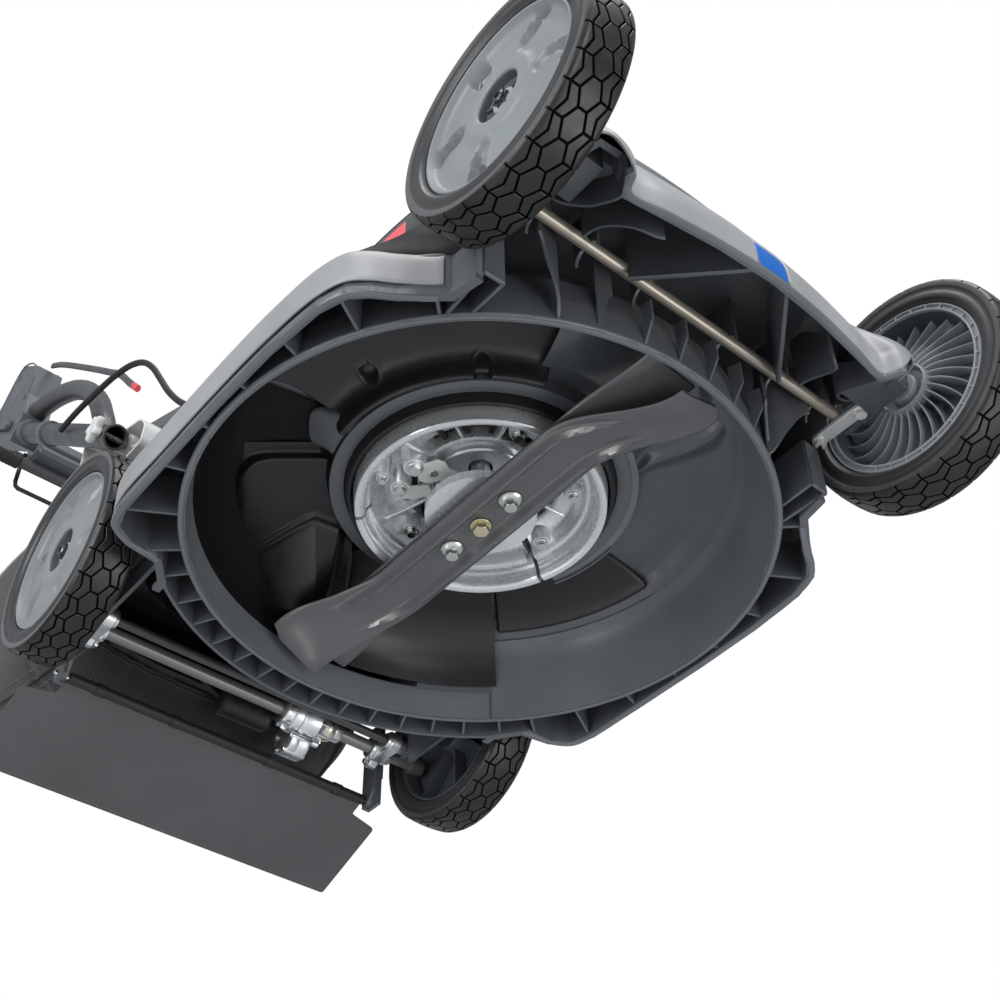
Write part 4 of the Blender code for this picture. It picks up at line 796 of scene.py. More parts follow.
# inner step: a second ring lower down in the well, in segments
STEP = [(0.1036, 0.0905), (0.1036, 0.1270), (0.0760, 0.1270), (0.0760, 0.1130), (0.0800, 0.1090), (0.0880, 0.1065), (0.0940, 0.1010), (0.0968, 0.0940), (0.1000, 0.0908)]
for a0, a1 in ((24, 62), (66, 118), (-74, 19)):
    arc_profile(MR, STEP, a0, a1, int(abs(a1 - a0) * 0.7))
WELL = [(0.1040, 0.1270), (0.0700, 0.1275), (0.0700, 0.1180), (0.0860, 0.1170), (0.0940, 0.1120), (0.1000, 0.1010), (0.1036, 0.0935)]
arc_profile(MR, WELL, 118.5, 285.5, 110)
# radial cast ribs and pads in the well
for a, r0, r1, w, z in ((24, .055, .103, .0030, .1010), (66, .055, .100, .0036, .1050), (96, .055, .100, .0030, .1070), (118, .055, .103, .0042, .1000),
                        (150, .058, .102, .0036, .1040), (183, .056, .102, .0046, .0990), (214, .058, .102, .0036, .1050), (246, .058, .103, .0042, .1000),
                        (285, .055, .103, .0036, .1000), (318, .055, .100, .0030, .1060), (348, .055, .100, .0036, .1040)):
    V, F = [], []
    K = 10
    for i in range(K + 1):
        t = i / K
        r = lerp(r0, r1, t)
        zz = z + 0.010 * (1 - t) ** 2
        for dx, dz in ((-w, 0.1275 - zz), (-w * 0.45, 0.0008), (-w * 0.2, 0.0), (w * 0.2, 0.0), (w * 0.45, 0.0008), (w, 0.1275 - zz)):
            V.append((r, dx, zz + dz))
    for i in range(K):
        for j in range(6):
            p, q = i * 6, (i + 1) * 6
            j2 = (j + 1) % 6
            F.append((p + j, q + j, q + j2, p + j2))
    F.append((0, 1, 2, 3, 4, 5))
    F.append(tuple(reversed(range(K * 6, K * 6 + 6))))
    MR.add(V, F, 0, Matrix.Rotation(math.radians(a), 4, 'Z'))
# inner bearing carrier with a stepped rim
arc_profile(MR, [(0.0600, 0.1274), (0.0600, 0.1120), (0.0585, 0.1098), (0.0560, 0.1094), (0.0545, 0.1110), (0.0540, 0.1150), (0.0480, 0.1160), (0.0470, 0.1100),
                 (0.0455, 0.1085), (0.0430, 0.1085), (0.0420, 0.1100), (0.0420, 0.1274)], 0, 359.99, 120)
# lower collar segments of the ring, with bolts
for a, r, rad, z in ((170.7, .0706, .0120, .0960), (147.1, .0767, .0105, .0950), (157.8, .0960, .0070, .0900), (9.4, .0900, .0095, .0940), (-37.8, .0880, .0090, .0950),
                     (60, .088, .0085, .0960), (-105, .0850, .0090, .0960), (103, .0850, .0090, .0960)):
    ar = math.radians(a)
    at = (r * math.cos(ar), r * math.sin(ar), 0.1274)
    V, F = turned_v([(rad + 0.0030, 0.0), (rad + 0.0010, (0.1274 - z) * 0.55), (rad, (0.1274 - z) * 0.92), (rad - 0.0010, 0.1274 - z), (rad * 0.55, 0.1274 - z)], 40, (0, 0, -1), at)
    MR.add(V, F, 0)
    hex_bolt(MR, (at[0], at[1], z + 0.0002), (0, 0, -1), rad * 0.52, 0.0050, flange=rad * 0.74, fh=0.0014, mat=1, turn=a * 0.03)
MR.put("motor_ring_detail", [M_ALU_BRIGHT, M_ZINC], "chassis", replaces=["motor_ring"], slot="cast_aluminium", angle=34)

# dark stator plate behind the carrier, and the pressed clip over it
ST = Mesh()
arc_profile(ST, [(0.1046, 0.1276), (0.0400, 0.1276), (0.0400, 0.1262), (0.0700, 0.1258), (0.1046, 0.1262)], 0, 359.99, 90)
for k in range(18):
    a = 2 * math.pi * k / 18
    V = [(r, w, z) for r in (0.0625, 0.0780) for w in (-0.0022, 0.0022) for z in (0.1150, 0.1264)]
    ST.add(V, [(0, 1, 3, 2), (4, 6, 7, 5), (0, 4, 5, 1), (2, 3, 7, 6), (0, 2, 6, 4), (1, 5, 7, 3)], 0, Matrix.Rotation(a, 4, 'Z'))
ST.put("stator_plate", [M_BLACK], "chassis", slot="black_plastic")
CL = Mesh()
clip = [(-0.0640, 0.0160), (-0.0560, 0.0225), (-0.0470, 0.0200), (-0.0420, 0.0110), (-0.0330, 0.0070), (-0.0270, -0.0010), (-0.0330, -0.0090), (-0.0440, -0.0080),
        (-0.0520, -0.0120), (-0.0600, -0.0100), (-0.0640, -0.0020), (-0.0680, 0.0070)]
clip = densify(clip, 0.003)


def slab(M, outline, z0, z1, bev=0.0006, mat=0, inner=()):
    """Flat plate with rounded edges; outline runs anticlockwise seen from +Z."""
    n = len(outline)
    o2 = inset(outline, bev)
    rings = [[(x, y, z0) for x, y in o2], [(x, y, z0 + bev) for x, y in outline], [(x, y, z1 - bev) for x, y in outline], [(x, y, z1) for x, y in o2]]
    V = [p for r in rings for p in r]
    F = []
    for k in range(3):
        for i in range(n):
            j = (i + 1) % n
            F.append((k * n + i, k * n + j, (k + 1) * n + j, (k + 1) * n + i))
    pts, tri = fill2d(o2, inner)
    for zz, base, rev in ((z0, 0, True), (z1, 3 * n, False)):
        idx = []
        for p in pts:
            b = min(range(n), key=lambda i: (o2[i][0] - p[0]) ** 2 + (o2[i][1] - p[1]) ** 2)
            if math.dist(o2[b], p) < 2e-6:
                idx.append(base + b)
            else:
                idx.append(len(V))
                V.append((p[0], p[1], zz))
        for t in tri:
            f = tuple(idx[i] for i in t)
            F.append(tuple(reversed(f)) if rev else f)
    M.add(V, F, mat)


def ccw(pts):
    a = sum(pts[i][0] * pts[(i + 1) % len(pts)][1] - pts[(i + 1) % len(pts)][0] * pts[i][1] for i in range(len(pts)))
    return pts if a > 0 else pts[::-1]


slab(CL, ccw(clip), 0.0955, 0.0975, 0.0005)
V, F = turned_v([(0.0044, 0.0), (0.0044, 0.0010), (0.0036, 0.0014), (0.0024, 0.0012), (0.0010, 0.0012)], 24, (0, 0, -1), (-0.0520, 0.0060, 0.0957))
CL.add(V, F, 1)
slab(CL, ccw(densify([(-0.0330, 0.0300), (-0.0420, 0.0480), (-0.0560, 0.0560), (-0.0620, 0.0500), (-0.0560, 0.0360), (-0.0440, 0.0240)], 0.003)), 0.0985, 0.1008, 0.0005)
CL.put("motor_clips", [M_LIGHT, M_ZINC], "chassis", slot="plated_steel")

# ---------------------------------------------------------------- cutting chamber, seen from below
def arc_grid(name, a0, a1, na, prof, mats, body="chassis", thick=0.0016, warp=None, angle=36, slot=None, replaces=(), limit=None, matf=None):
    """Curved panel under the deck: a profile of (r, z) swept round the blade axis; closed by a back face."""
    k = len(prof)
    front, back = [], []
    for i in range(na + 1):
        t = i / na
        fr, bk = [], []
        for j, (r, z) in enumerate(prof):
            lo, hi = a0, a1
            if limit:
                lo, hi = limit(r, j / (k - 1), a0, a1)
            a = math.radians(lerp(lo, hi, t))
            rr, zz = r, z
            if warp:
                rr, zz = warp(r, z, math.degrees(a), t, j / (k - 1))
            p, q = prof[max(j - 1, 0)], prof[min(j + 1, k - 1)]
            tn = Vector((q[0] - p[0], q[1] - p[1])).normalized()
            nrm = Vector((-tn.y, tn.x))
            fr.append((rr * math.cos(a), rr * math.sin(a), zz))
            rb, zb = rr + nrm.x * thick, zz + nrm.y * thick
            bk.append((rb * math.cos(a), rb * math.sin(a), zb))
        front.append(fr)
        back.append(bk)
    V = [p for r in front for p in r] + [p for r in back for p in r]
    off = (na + 1) * k
    F, MI = [], []
    for i in range(na):
        for j in range(k - 1):
            a, b = i * k + j, (i + 1) * k + j
            F.append((a, a + 1, b + 1, b))
            MI.append(matf(lerp(a0, a1, (i + 0.5) / na), (j + 0.5) / (k - 1)) if matf else 0)
            F.append((off + a, off + b, off + b + 1, off + a + 1))
            MI.append(MI[-1])
    for i in range(na):
        a, b = i * k, (i + 1) * k
        F.append((a, b, off + b, off + a))
        F.append((a + k - 1, off + a + k - 1, off + b + k - 1, b + k - 1))
        MI += [MI[0], MI[0]]
    for j in range(k - 1):
        F.append((j, off + j, off + j + 1, j + 1))
        e = na * k + j
        F.append((e, e + 1, off + e + 1, off + e))
        MI += [MI[0], MI[0]]
    return put(name, V, F, mats, body, idx=MI if matf else None, angle=angle, slot=slot, replaces=replaces)


def dense_prof(P, step=0.004):
    out = []
    for a, b in zip(P[:-1], P[1:]):
        n = max(1, int(math.ceil(math.dist(a, b) / step)))
        out += [(lerp(a[0], b[0], i / n), lerp(a[1], b[1], i / n)) for i in range(n)]
    return out + [P[-1]]


def smooth_prof(P, per=4):
    out = []
    n = len(P)
    for i in range(n - 1):
        p0, p1, p2, p3 = P[max(i - 1, 0)], P[i], P[i + 1], P[min(i + 2, n - 1)]
        for k in range(per):
            t = k / per
            out.append(tuple(0.5 * ((2 * p1[d]) + (p2[d] - p0[d]) * t + (2 * p0[d] - 5 * p1[d] + 4 * p2[d] - p3[d]) * t * t +
                                    (3 * p1[d] - p0[d] - 3 * p2[d] + p3[d]) * t ** 3) for d in range(len(p1))))
    return out + [P[-1]]


# outer wall of the chamber: the deck plastic's lighter copy as painted light from the seam round the front, darker
# behind
WALL_P = smooth_prof([(0.2696, 0.0288), (0.2684, 0.0420), (0.2662, 0.0600), (0.2630, 0.0765), (0.2584, 0.0912), (0.2530, 0.1020), (0.2452, 0.1112)], 4)
arc_grid("chamber_wall_bright", -131.5, 48.4, 220, WALL_P, [M_DECK_PAINTED_HIGHLIGHT], thick=0.0012, slot="deck_plastic")
arc_grid("chamber_wall_side", 172.0, 228.0, 90, WALL_P, [M_DECK_PAINTED_HIGHLIGHT], thick=0.0012, slot="deck_plastic")
REAR_P = smooth_prof([(0.2696, 0.0288), (0.2687, 0.0400), (0.2674, 0.0500), (0.2664, 0.0590)], 4)
arc_grid("chamber_wall_rear", 49.0, 171.4, 160, REAR_P, [M_DECK_PAINTED_HIGHLIGHT], thick=0.0012, slot="deck_plastic")

# rounded lip round the ring, a soft bead on the deck's lowest edge, in the deck plastic's lighter copy as a painted
# highlight
LIPB = Mesh()
bead = [(0.2698, 0.0310), (0.2697, 0.0288), (0.2703, 0.0280), (0.2712, 0.0275), (0.2736, 0.0275), (0.2746, 0.0280), (0.2752, 0.0288), (0.2753, 0.0310)]
arc_profile(LIPB, bead, 0, 359.999, 260)
LIPB.put("chamber_lip", [M_DECK_PAINTED_HIGHLIGHT], "chassis", slot="deck_plastic")

# volute, glossy, from the front liner's edge round to the rear liner
VOL_P = smooth_prof([(0.1424, 0.0985), (0.1440, 0.1100), (0.1475, 0.1188), (0.1560, 0.1252), (0.1700, 0.1268), (0.2000, 0.1262), (0.2240, 0.1230), (0.2360, 0.1176), (0.2460, 0.1100)], 5)


def volute_warp(r, z, a, t, j):
    d = smoothstep(-109, 0, a)
    z2 = z - 0.020 * math.sin(math.pi * smoothstep(0.10, 0.98, j)) * (1 - d) ** 1.3
    # two raised webs that run out from the collar
    for c, w, h in ((-62.0, 5.0, 0.010), (-47.5, 3.2, 0.007)):
        z2 -= h * math.exp(-((a - c - 26 * (0.5 - j)) / w) ** 2) * smoothstep(0.15, 0.4, j) * (1 - smoothstep(0.75, 0.98, j))
    return r, z2


arc_grid("volute_detail", -109.5, 3.5, 200, VOL_P, [M_VOLUTE], thick=0.0012, warp=volute_warp, slot="deck_plastic", angle=60)

# front liner: black panel with a rounded lip along the collar, two dimples, and an S-shaped end
LIN_P = [(0.1466, 0.1010), (0.1470, 0.0960), (0.1482, 0.0936), (0.1502, 0.0930), (0.1522, 0.0940), (0.1540, 0.0975), (0.1556, 0.1040), (0.1580, 0.1100),
         (0.1640, 0.1160), (0.1740, 0.1184), (0.1900, 0.1190), (0.2080, 0.1176), (0.2230, 0.1142), (0.2350, 0.1090), (0.2440, 0.1020), (0.2500, 0.0935),
         (0.2530, 0.0850), (0.2538, 0.0800)]
LIN_S = smooth_prof(LIN_P, 4)
DIMPLES = [(0.1650, -165.7 + 360, 0.0085, 0.0065), (0.1650, -133.5 + 360, 0.0085, 0.0065)]


def liner_warp(r, z, a, t, j):
    for dr, da, rad, dep in ((0.1682, -165.6 + 360, 0.0088, 0.0080), (0.1530, -128.6 + 360, 0.0088, 0.0080)):
        x, y = r * math.cos(math.radians(a)), r * math.sin(math.radians(a))
        cx, cy = dr * math.cos(math.radians(da)), dr * math.sin(math.radians(da))
        d = math.hypot(x - cx, y - cy)
        z += dep * (1 - smoothstep(rad * 0.62, rad, d)) - 0.0012 * math.exp(-((d - rad * 1.12) / 0.0016) ** 2)
    # fold down to the ends
    e = min(t, 1 - t)
    z += 0.0035 * (1 - smoothstep(0.0, 0.012, e))
    return r, z


def liner_limit(r, j, a0, a1):
    s = smoothstep(0.145, 0.25, r)
    hi = a1 + 6.5 * math.sin(math.pi * s) * (1 - s) * 1.4 - 2.5 * s
    lo = a0 + 2.6 * smoothstep(0.145, 0.21, r)
    return lo, hi


arc_grid("liner_front_detail", 172.4, 253.0, 300, LIN_S, [M_BLACK], thick=0.0014, warp=liner_warp, limit=liner_limit, slot="black_plastic",
         replaces=["chamber_liner_front"], angle=60)

# rear liner: two black panels with a joint between them
def liner2_warp(r, z, a, t, j):
    e = min(t, 1 - t)
    z += 0.0030 * (1 - smoothstep(0.0, 0.02, e)) + 0.0025 * (1 - smoothstep(0.0, 0.05, 1 - j))
    z -= 0.0016 * math.exp(-((a - 30) / 1.2) ** 2) * (1 - smoothstep(0.2, 0.6, j))
    return r, z


LIN2_P = smooth_prof([(0.1466, 0.1030), (0.1474, 0.1100), (0.1500, 0.1160), (0.1560, 0.1205), (0.1700, 0.1222), (0.1900, 0.1218), (0.2080, 0.1195), (0.2230, 0.1155), (0.2330, 0.1100)], 5)
arc_grid("liner_rear_detail", 3.2, 46.5, 140, LIN2_P, [M_BLACK], thick=0.0014, warp=liner2_warp, slot="black_plastic", replaces=["chamber_liner_rear"], angle=60)
arc_grid("liner_discharge_panel", 47.3, 101.0, 160, smooth_prof([(0.1466, 0.1030), (0.1474, 0.1090), (0.1500, 0.1140), (0.1600, 0.1172), (0.1800, 0.1180), (0.2050, 0.1170), (0.2250, 0.1120), (0.2420, 0.1010), (0.2540, 0.0840), (0.2610, 0.0640)], 5),
         [M_BLACK], thick=0.0014, slot="black_plastic", angle=60)

# collar round the motor: stepped ring with a rolled lip, painted bright in the deck plastic's lighter copy as a
# highlight
COL = Mesh()
arc_profile(COL, [(0.1300, 0.1010), (0.1300, 0.0984), (0.1306, 0.0976), (0.1318, 0.0972), (0.1420, 0.0972), (0.1430, 0.0976), (0.1434, 0.0986), (0.1434, 0.1010)], 0, 359.999, 240)
COL.put("collar_face", [M_DECK], "chassis", slot="deck_plastic")
GAPR = Mesh()
arc_profile(GAPR, [(0.1222, 0.1060), (0.1222, 0.0880), (0.1232, 0.0868), (0.1250, 0.0866), (0.1264, 0.0876), (0.1270, 0.0900), (0.1292, 0.0990), (0.1296, 0.1060)], 0, 359.999, 240)
GAPR.put("motor_seal", [M_MATTE], "chassis", slot="black_plastic")
LIPA = Mesh()
arc_profile(LIPA, [(0.1500, 0.1000), (0.1500, 0.0952), (0.1508, 0.0946), (0.1516, 0.0952), (0.1518, 0.1000)], -8, 21, 60)
arc_profile(LIPA, [(0.1434, 0.1030), (0.1434, 0.0990), (0.1500, 0.0980), (0.1502, 0.1030)], -60, 21, 60)
LIPA.put("collar_rim", [M_DECK_PAINTED_HIGHLIGHT], "chassis", slot="deck_plastic")


# discharge cavity: black plastic walls darkened further as painted shade of the deep duct, the duct's pressed panel
# with its ramp, and the fin at the collar
def un(u, v, z):
    """Point at height z behind a spot (u, v) of the 1000-wide view."""
    d = CF + CR * ((u - 500) / 1527.93) + CD * ((v - 500) / 1527.93)
    q = CPOS + d * ((z - CPOS.z) / d.z)
    return (q.x, q.y - YS, q.z)


# near-black backdrop wall behind the duct panel: painted shade
CAV_P = smooth_prof([(0.1440, 0.1000), (0.1475, 0.1130), (0.1540, 0.1200), (0.1700, 0.1228), (0.2240, 0.1208), (0.2425, 0.1105), (0.2550, 0.0930), (0.2618, 0.0760), (0.2650, 0.0600)], 4)
arc_grid("cavity_wall", 88.6, 172.6, 150, CAV_P, [M_CAVITY_PAINTED_SHADE], thick=0.0010, slot="black_plastic", angle=60)


def crease(u):
    return lerp(556, 515, smoothstep(236, 316, u) * 0.35 + (u - 236) / 80 * 0.65) if u < 316 else lerp(515, 529, (u - 316) / 36)


NU, NV = 90, 110
GC = []
for i in range(NU + 1):
    col = []
    for j in range(NV + 1):
        u, v = lerp(206, 352, i / NU), lerp(442, 618, j / NV)
        # rounded panel, proud of the wall behind it
        ex = abs((u - 290 + (v - 500) * 0.16) / 60.0)
        ey = abs((v - 535) / 82.0)
        e = (ex ** 5 + ey ** 5) ** 0.2
        z = 0.1205 - 0.0085 * (1 - smoothstep(0.90, 1.04, e))
        d = v - crease(u)
        z -= 0.0026 * math.exp(-((d - 1.0) / 3.2) ** 2) * (1 - smoothstep(0.8, 1.0, e))
        z -= 0.00042 * max(0.0, d) * smoothstep(0, 10, d) * (1 - smoothstep(0.98, 1.2, e) * 0.5)
        z += 0.0035 * math.exp(-((u - 232 + (v - 520) * 0.12) / 6.0) ** 2) * smoothstep(470, 500, v)
        col.append(un(u, v, z))
    GC.append(col)
V = [p for c in GC for p in c]
V += [(x, y, z + 0.0012) for x, y, z in V]
nr_, tot = NV + 1, (NU + 1) * (NV + 1)
F = []
for i in range(NU):
    for j in range(NV):
        a, b = i * nr_ + j, (i + 1) * nr_ + j
        F.append((a, a + 1, b + 1, b))
        F.append((tot + a, tot + b, tot + b + 1, tot + a + 1))
for i in range(NU):
    a, b = i * nr_, (i + 1) * nr_
    F.append((a, b, tot + b, tot + a))
    F.append((a + NV, tot + a + NV, tot + b + NV, b + NV))
for j in range(NV):
    F.append((j, tot + j, tot + j + 1, j + 1))
    e = NU * nr_ + j
    F.append((e, e + 1, tot + e + 1, tot + e))
put("cavity_duct_panel", V, F, M_DUCTIN, "chassis", slot="black_plastic", angle=60)

# fin between the collar and the front liner's end
FIN_A = smooth_prof([(337, 500, 0.0985), (338, 486, 0.0982), (342, 470, 0.0980), (349, 452, 0.0980), (360, 434, 0.0978), (372, 424, 0.0976)], 5)
FIN_B = smooth_prof([(334, 492, 0.1020), (332, 468, 0.1060), (329, 449, 0.1110), (311, 440, 0.1150), (312, 412, 0.1170), (333, 409, 0.1160)], 5)
GR = []
for a, b in zip(FIN_A, FIN_B):
    GR.append([un(lerp(a[0], b[0], t), lerp(a[1], b[1], t), lerp(a[2], b[2], t) - 0.0016 * math.sin(math.pi * t)) for t in (0, 0.08, 0.2, 0.35, 0.5, 0.65, 0.8, 0.92, 1.0)])
nc_, nk = len(GR), len(GR[0])
V = [p for c in GR for p in c]
V += [(x, y, z + 0.0024) for x, y, z in V]
tot = nc_ * nk
F = []
for i in range(nc_ - 1):
    for j in range(nk - 1):
        a, b = i * nk + j, (i + 1) * nk + j
        F.append((a, a + 1, b + 1, b))
        F.append((tot + a, tot + b, tot + b + 1, tot + a + 1))
for i in range(nc_ - 1):
    a, b = i * nk, (i + 1) * nk
    F.append((a, b, tot + b, tot + a))
    F.append((a + nk - 1, tot + a + nk - 1, tot + b + nk - 1, b + nk - 1))
for j in range(nk - 1):
    F.append((j, tot + j, tot + j + 1, j + 1))
    e = (nc_ - 1) * nk + j
    F.append((e, e + 1, tot + e + 1, tot + e))
me_bm = bmesh.new()
vs = [me_bm.verts.new(p) for p in V]
for f in F:
    me_bm.faces.new([vs[i] for i in f])
bmesh.ops.recalc_face_normals(me_bm, faces=me_bm.faces)
me_bm.verts.index_update()
V = [tuple(v.co) for v in me_bm.verts]
F = [tuple(v.index for v in f.verts) for f in me_bm.faces]
me_bm.free()
put("collar_fin", V, F, M_DECK, "chassis", slot="deck_plastic", angle=45)

# ---------------------------------------------------------------- deck skins
RIM_HALF = [(0, -0.3745), (0.058, -0.3715), (0.109, -0.3650), (0.146, -0.3600), (0.155, -0.3740),
            (0.186, -0.3720), (0.193, -0.338), (0.1965, -0.298), (0.1985, -0.252), (0.206, -0.215),
            (0.238, -0.189), (0.256, -0.178), (0.271, -0.164), (0.2805, -0.136), (0.2860, -0.075),
            (0.2875, 0.0), (0.2865, 0.090), (0.285, 0.160), (0.278, 0.186), (0.255, 0.200),
            (0.2227, 0.205), (0.2045, 0.2286), (0.2035, 0.300), (0.2035, 0.370), (0.2035, 0.453), (0, 0.453)]
TOP_HALF = [(0, -0.338), (0.052, -0.336), (0.098, -0.332), (0.130, -0.328), (0.148, -0.325),
            (0.168, -0.318), (0.182, -0.303), (0.190, -0.280), (0.195, -0.245), (0.199, -0.212),
            (0.203, -0.186), (0.207, -0.165), (0.211, -0.143), (0.214, -0.118), (0.216, -0.060),
            (0.216, 0.0), (0.215, 0.075), (0.212, 0.140), (0.209, 0.170), (0.206, 0.190),
            (0.203, 0.210), (0.201, 0.240), (0.199, 0.300), (0.199, 0.370), (0.199, 0.453), (0, 0.453)]
SHOULDER = [0.0050] * 6 + [0.0034] * 4 + [0.0060] + [0.0085] * 9 + [0.0060] + [0.0034] * 5
BLEND = [0.42] * 5 + [0.30] + [0.06] * 4 + [0.30] + [0.42] * 9 + [0.30] + [0.10] * 5


def whole(half):
    return list(half) + [(-x, y) for x, y in half[-2:0:-1]]


def inset_by(pts, d):
    n = len(pts)
    ds = d if isinstance(d, list) else [d] * n
    area2 = sum(pts[i][0] * pts[(i + 1) % n][1] - pts[(i + 1) % n][0] * pts[i][1] for i in range(n))
    s = 1 if area2 > 0 else -1
    out = []
    for i in range(n):
        a, b, c = pts[i - 1], pts[i], pts[(i + 1) % n]
        u = Vector((b[0] - a[0], b[1] - a[1])).normalized()
        v = Vector((c[0] - b[0], c[1] - b[1])).normalized()
        m = Vector((-u.y, u.x)) * s + Vector((-v.y, v.x)) * s
        m = m / max(m.length_squared, 1e-9) * 2
        m = m * min(1.0, 2.5 / max(m.length, 1e-9))
        out.append((b[0] + m.x * ds[i], b[1] + m.y * ds[i]))
    return out


def mirror_vals(v):
    return list(v) + list(v[-2:0:-1])


O0 = whole(RIM_HALF)
O0i = inset_by(O0, 0.0034)
O3 = whole(TOP_HALF)
SHV, BLV = mirror_vals(SHOULDER), mirror_vals(BLEND)
OS = inset_by(O0, SHV)
O2 = [(lerp(a[0], b[0], t), lerp(a[1], b[1], t)) for a, b, t in zip(inset_by(O0, [v + 0.0015 for v in SHV]), O3, BLV)]
NO = len(O0)


def curve4(P, n):
    """Centripetal curve from P[1] to P[2] in n steps, end not included."""
    t = [0.0]
    for a, b in zip(P, P[1:]):
        t.append(t[-1] + max(1e-5, math.dist(a, b)) ** 0.5)
    out = []
    for j in range(n):
        u = t[1] + (t[2] - t[1]) * j / n
        A = [tuple(((t[i + 1] - u) * p + (u - t[i]) * q) / (t[i + 1] - t[i]) for p, q in zip(P[i], P[i + 1])) for i in range(3)]
        B = [tuple(((t[i + 2] - u) * p + (u - t[i]) * q) / (t[i + 2] - t[i]) for p, q in zip(A[i], A[i + 1])) for i in range(2)]
        out.append(tuple(((t[2] - u) * p + (u - t[1]) * q) / (t[2] - t[1]) for p, q in zip(B[0], B[1])))
    return out


def smooth_line(pts, n, closed=False):
    out = []
    m = len(pts)
    for k in range(m if closed else m - 1):
        if closed:
            P = [pts[(k + i) % m] for i in (-1, 0, 1, 2)]
        else:
            b, c = pts[k], pts[k + 1]
            a = pts[k - 1] if k else tuple(2 * p - q for p, q in zip(b, c))
            d = pts[k + 2] if k + 2 < m else tuple(2 * q - p for p, q in zip(b, c))
            P = [a, b, c, d]
        out += curve4(P, n)
    if not closed:
        out.append(tuple(pts[-1]))
    return out


def run(O, a, b, n):
    """Smooth line through the corners a..b of a closed outline."""
    out = []
    for k in range(a, b):
        out += curve4([O[(k - 1) % NO], O[k % NO], O[(k + 1) % NO], O[(k + 2) % NO]], n)
    out.append(O[b % NO])
    return out


def skin_grid(levels, a, b, n, m):
    """Columns of points over corners a..b; levels are (z, outline)."""
    lines = [run(o, a, b, n) for z, o in levels]
    zs = [z for z, o in levels]
    return [smooth_line([(l[i][0], l[i][1], z) for l, z in zip(lines, zs)], m) for i in range(len(lines[0]))]


def grid_normals(G, centre=(0.0, 0.0)):
    nc, nr = len(G), len(G[0])
    N = []
    for i in range(nc):
        row = []
        for j in range(nr):
            du = Vector(G[min(i + 1, nc - 1)][j]) - Vector(G[max(i - 1, 0)][j])
            dv = Vector(G[i][min(j + 1, nr - 1)]) - Vector(G[i][max(j - 1, 0)])
            row.append(du.cross(dv).normalized())
        N.append(row)
    p, q = Vector(G[nc // 2][nr // 2]), N[nc // 2][nr // 2]
    if (p.x - centre[0]) * q.x + (p.y - centre[1]) * q.y < 0:
        N = [[-v for v in row] for row in N]
    return N


def shell(M, G, thick, matf=None, offs=None, centre=(0.0, 0.0), edge=0.0006, normals=None):
    """Wall on a grid: outer face on the grid (plus offs), inner face thick below it, rounded rims."""
    N = normals or grid_normals(G, centre)
    nc, nr = len(G), len(G[0])

    def layer(d, shrink):
        out = []
        for i in range(nc):
            col = []
            for j in range(nr):
                p = Vector(G[i][j]) + N[i][j] * (d + (offs(i, j) if offs else 0.0))
                if shrink and (i in (0, nc - 1) or j in (0, nr - 1)):
                    t = Vector((0, 0, 0))
                    if i == 0:
                        t += (Vector(G[1][j]) - Vector(G[0][j])).normalized()
                    if i == nc - 1:
                        t += (Vector(G[-2][j]) - Vector(G[-1][j])).normalized()
                    if j == 0:
                        t += (Vector(G[i][1]) - Vector(G[i][0])).normalized()
                    if j == nr - 1:
                        t += (Vector(G[i][-2]) - Vector(G[i][-1])).normalized()
                    p += t * shrink
                col.append(tuple(p))
            out.append(col)
        return out
    A, B = layer(0.0, edge), layer(-thick, edge)
    E0, E1 = layer(-edge, 0.0), layer(-thick + edge, 0.0)
    base = len(M.v)
    V = [p for c in A for p in c] + [p for c in B for p in c]
    F, K = [], []
    for i in range(nc - 1):
        for j in range(nr - 1):
            a, b, c, d = i * nr + j, (i + 1) * nr + j, (i + 1) * nr + j + 1, i * nr + j + 1
            mt = matf(i, j) if matf else 0
            F.append((a, b, c, d)); K.append(mt)
            o = nc * nr
            F.append((o + a, o + d, o + c, o + b)); K.append(mt)
    ringi = [(i, 0) for i in range(nc)] + [(nc - 1, j) for j in range(1, nr)] + [(i, nr - 1) for i in range(nc - 2, -1, -1)] + [(0, j) for j in range(nr - 2, 0, -1)]
    n0 = len(V)
    V += [E0[i][j] for i, j in ringi] + [E1[i][j] for i, j in ringi]
    L = len(ringi)
    for k in range(L):
        k2 = (k + 1) % L
        (i, j), (i2, j2) = ringi[k], ringi[k2]
        mt = matf(min(i, nc - 2), min(j, nr - 2)) if matf else 0
        a, b = i * nr + j, i2 * nr + j2
        F.append((b, a, n0 + k, n0 + k2)); K.append(mt)
        F.append((n0 + k2, n0 + k, n0 + L + k, n0 + L + k2)); K.append(mt)
        F.append((n0 + L + k2, n0 + L + k, nc * nr + a, nc * nr + b)); K.append(mt)
    # faces outward: compare one face with its normal
    f = F[0]
    q = (Vector(V[f[1]]) - Vector(V[f[0]])).cross(Vector(V[f[2]]) - Vector(V[f[0]]))
    if q.dot(N[0][0]) < 0:
        F = [tuple(reversed(x)) for x in F]
    M.v += V
    M.f += [tuple(x + base for x in f) for f in F]
    M.m += K


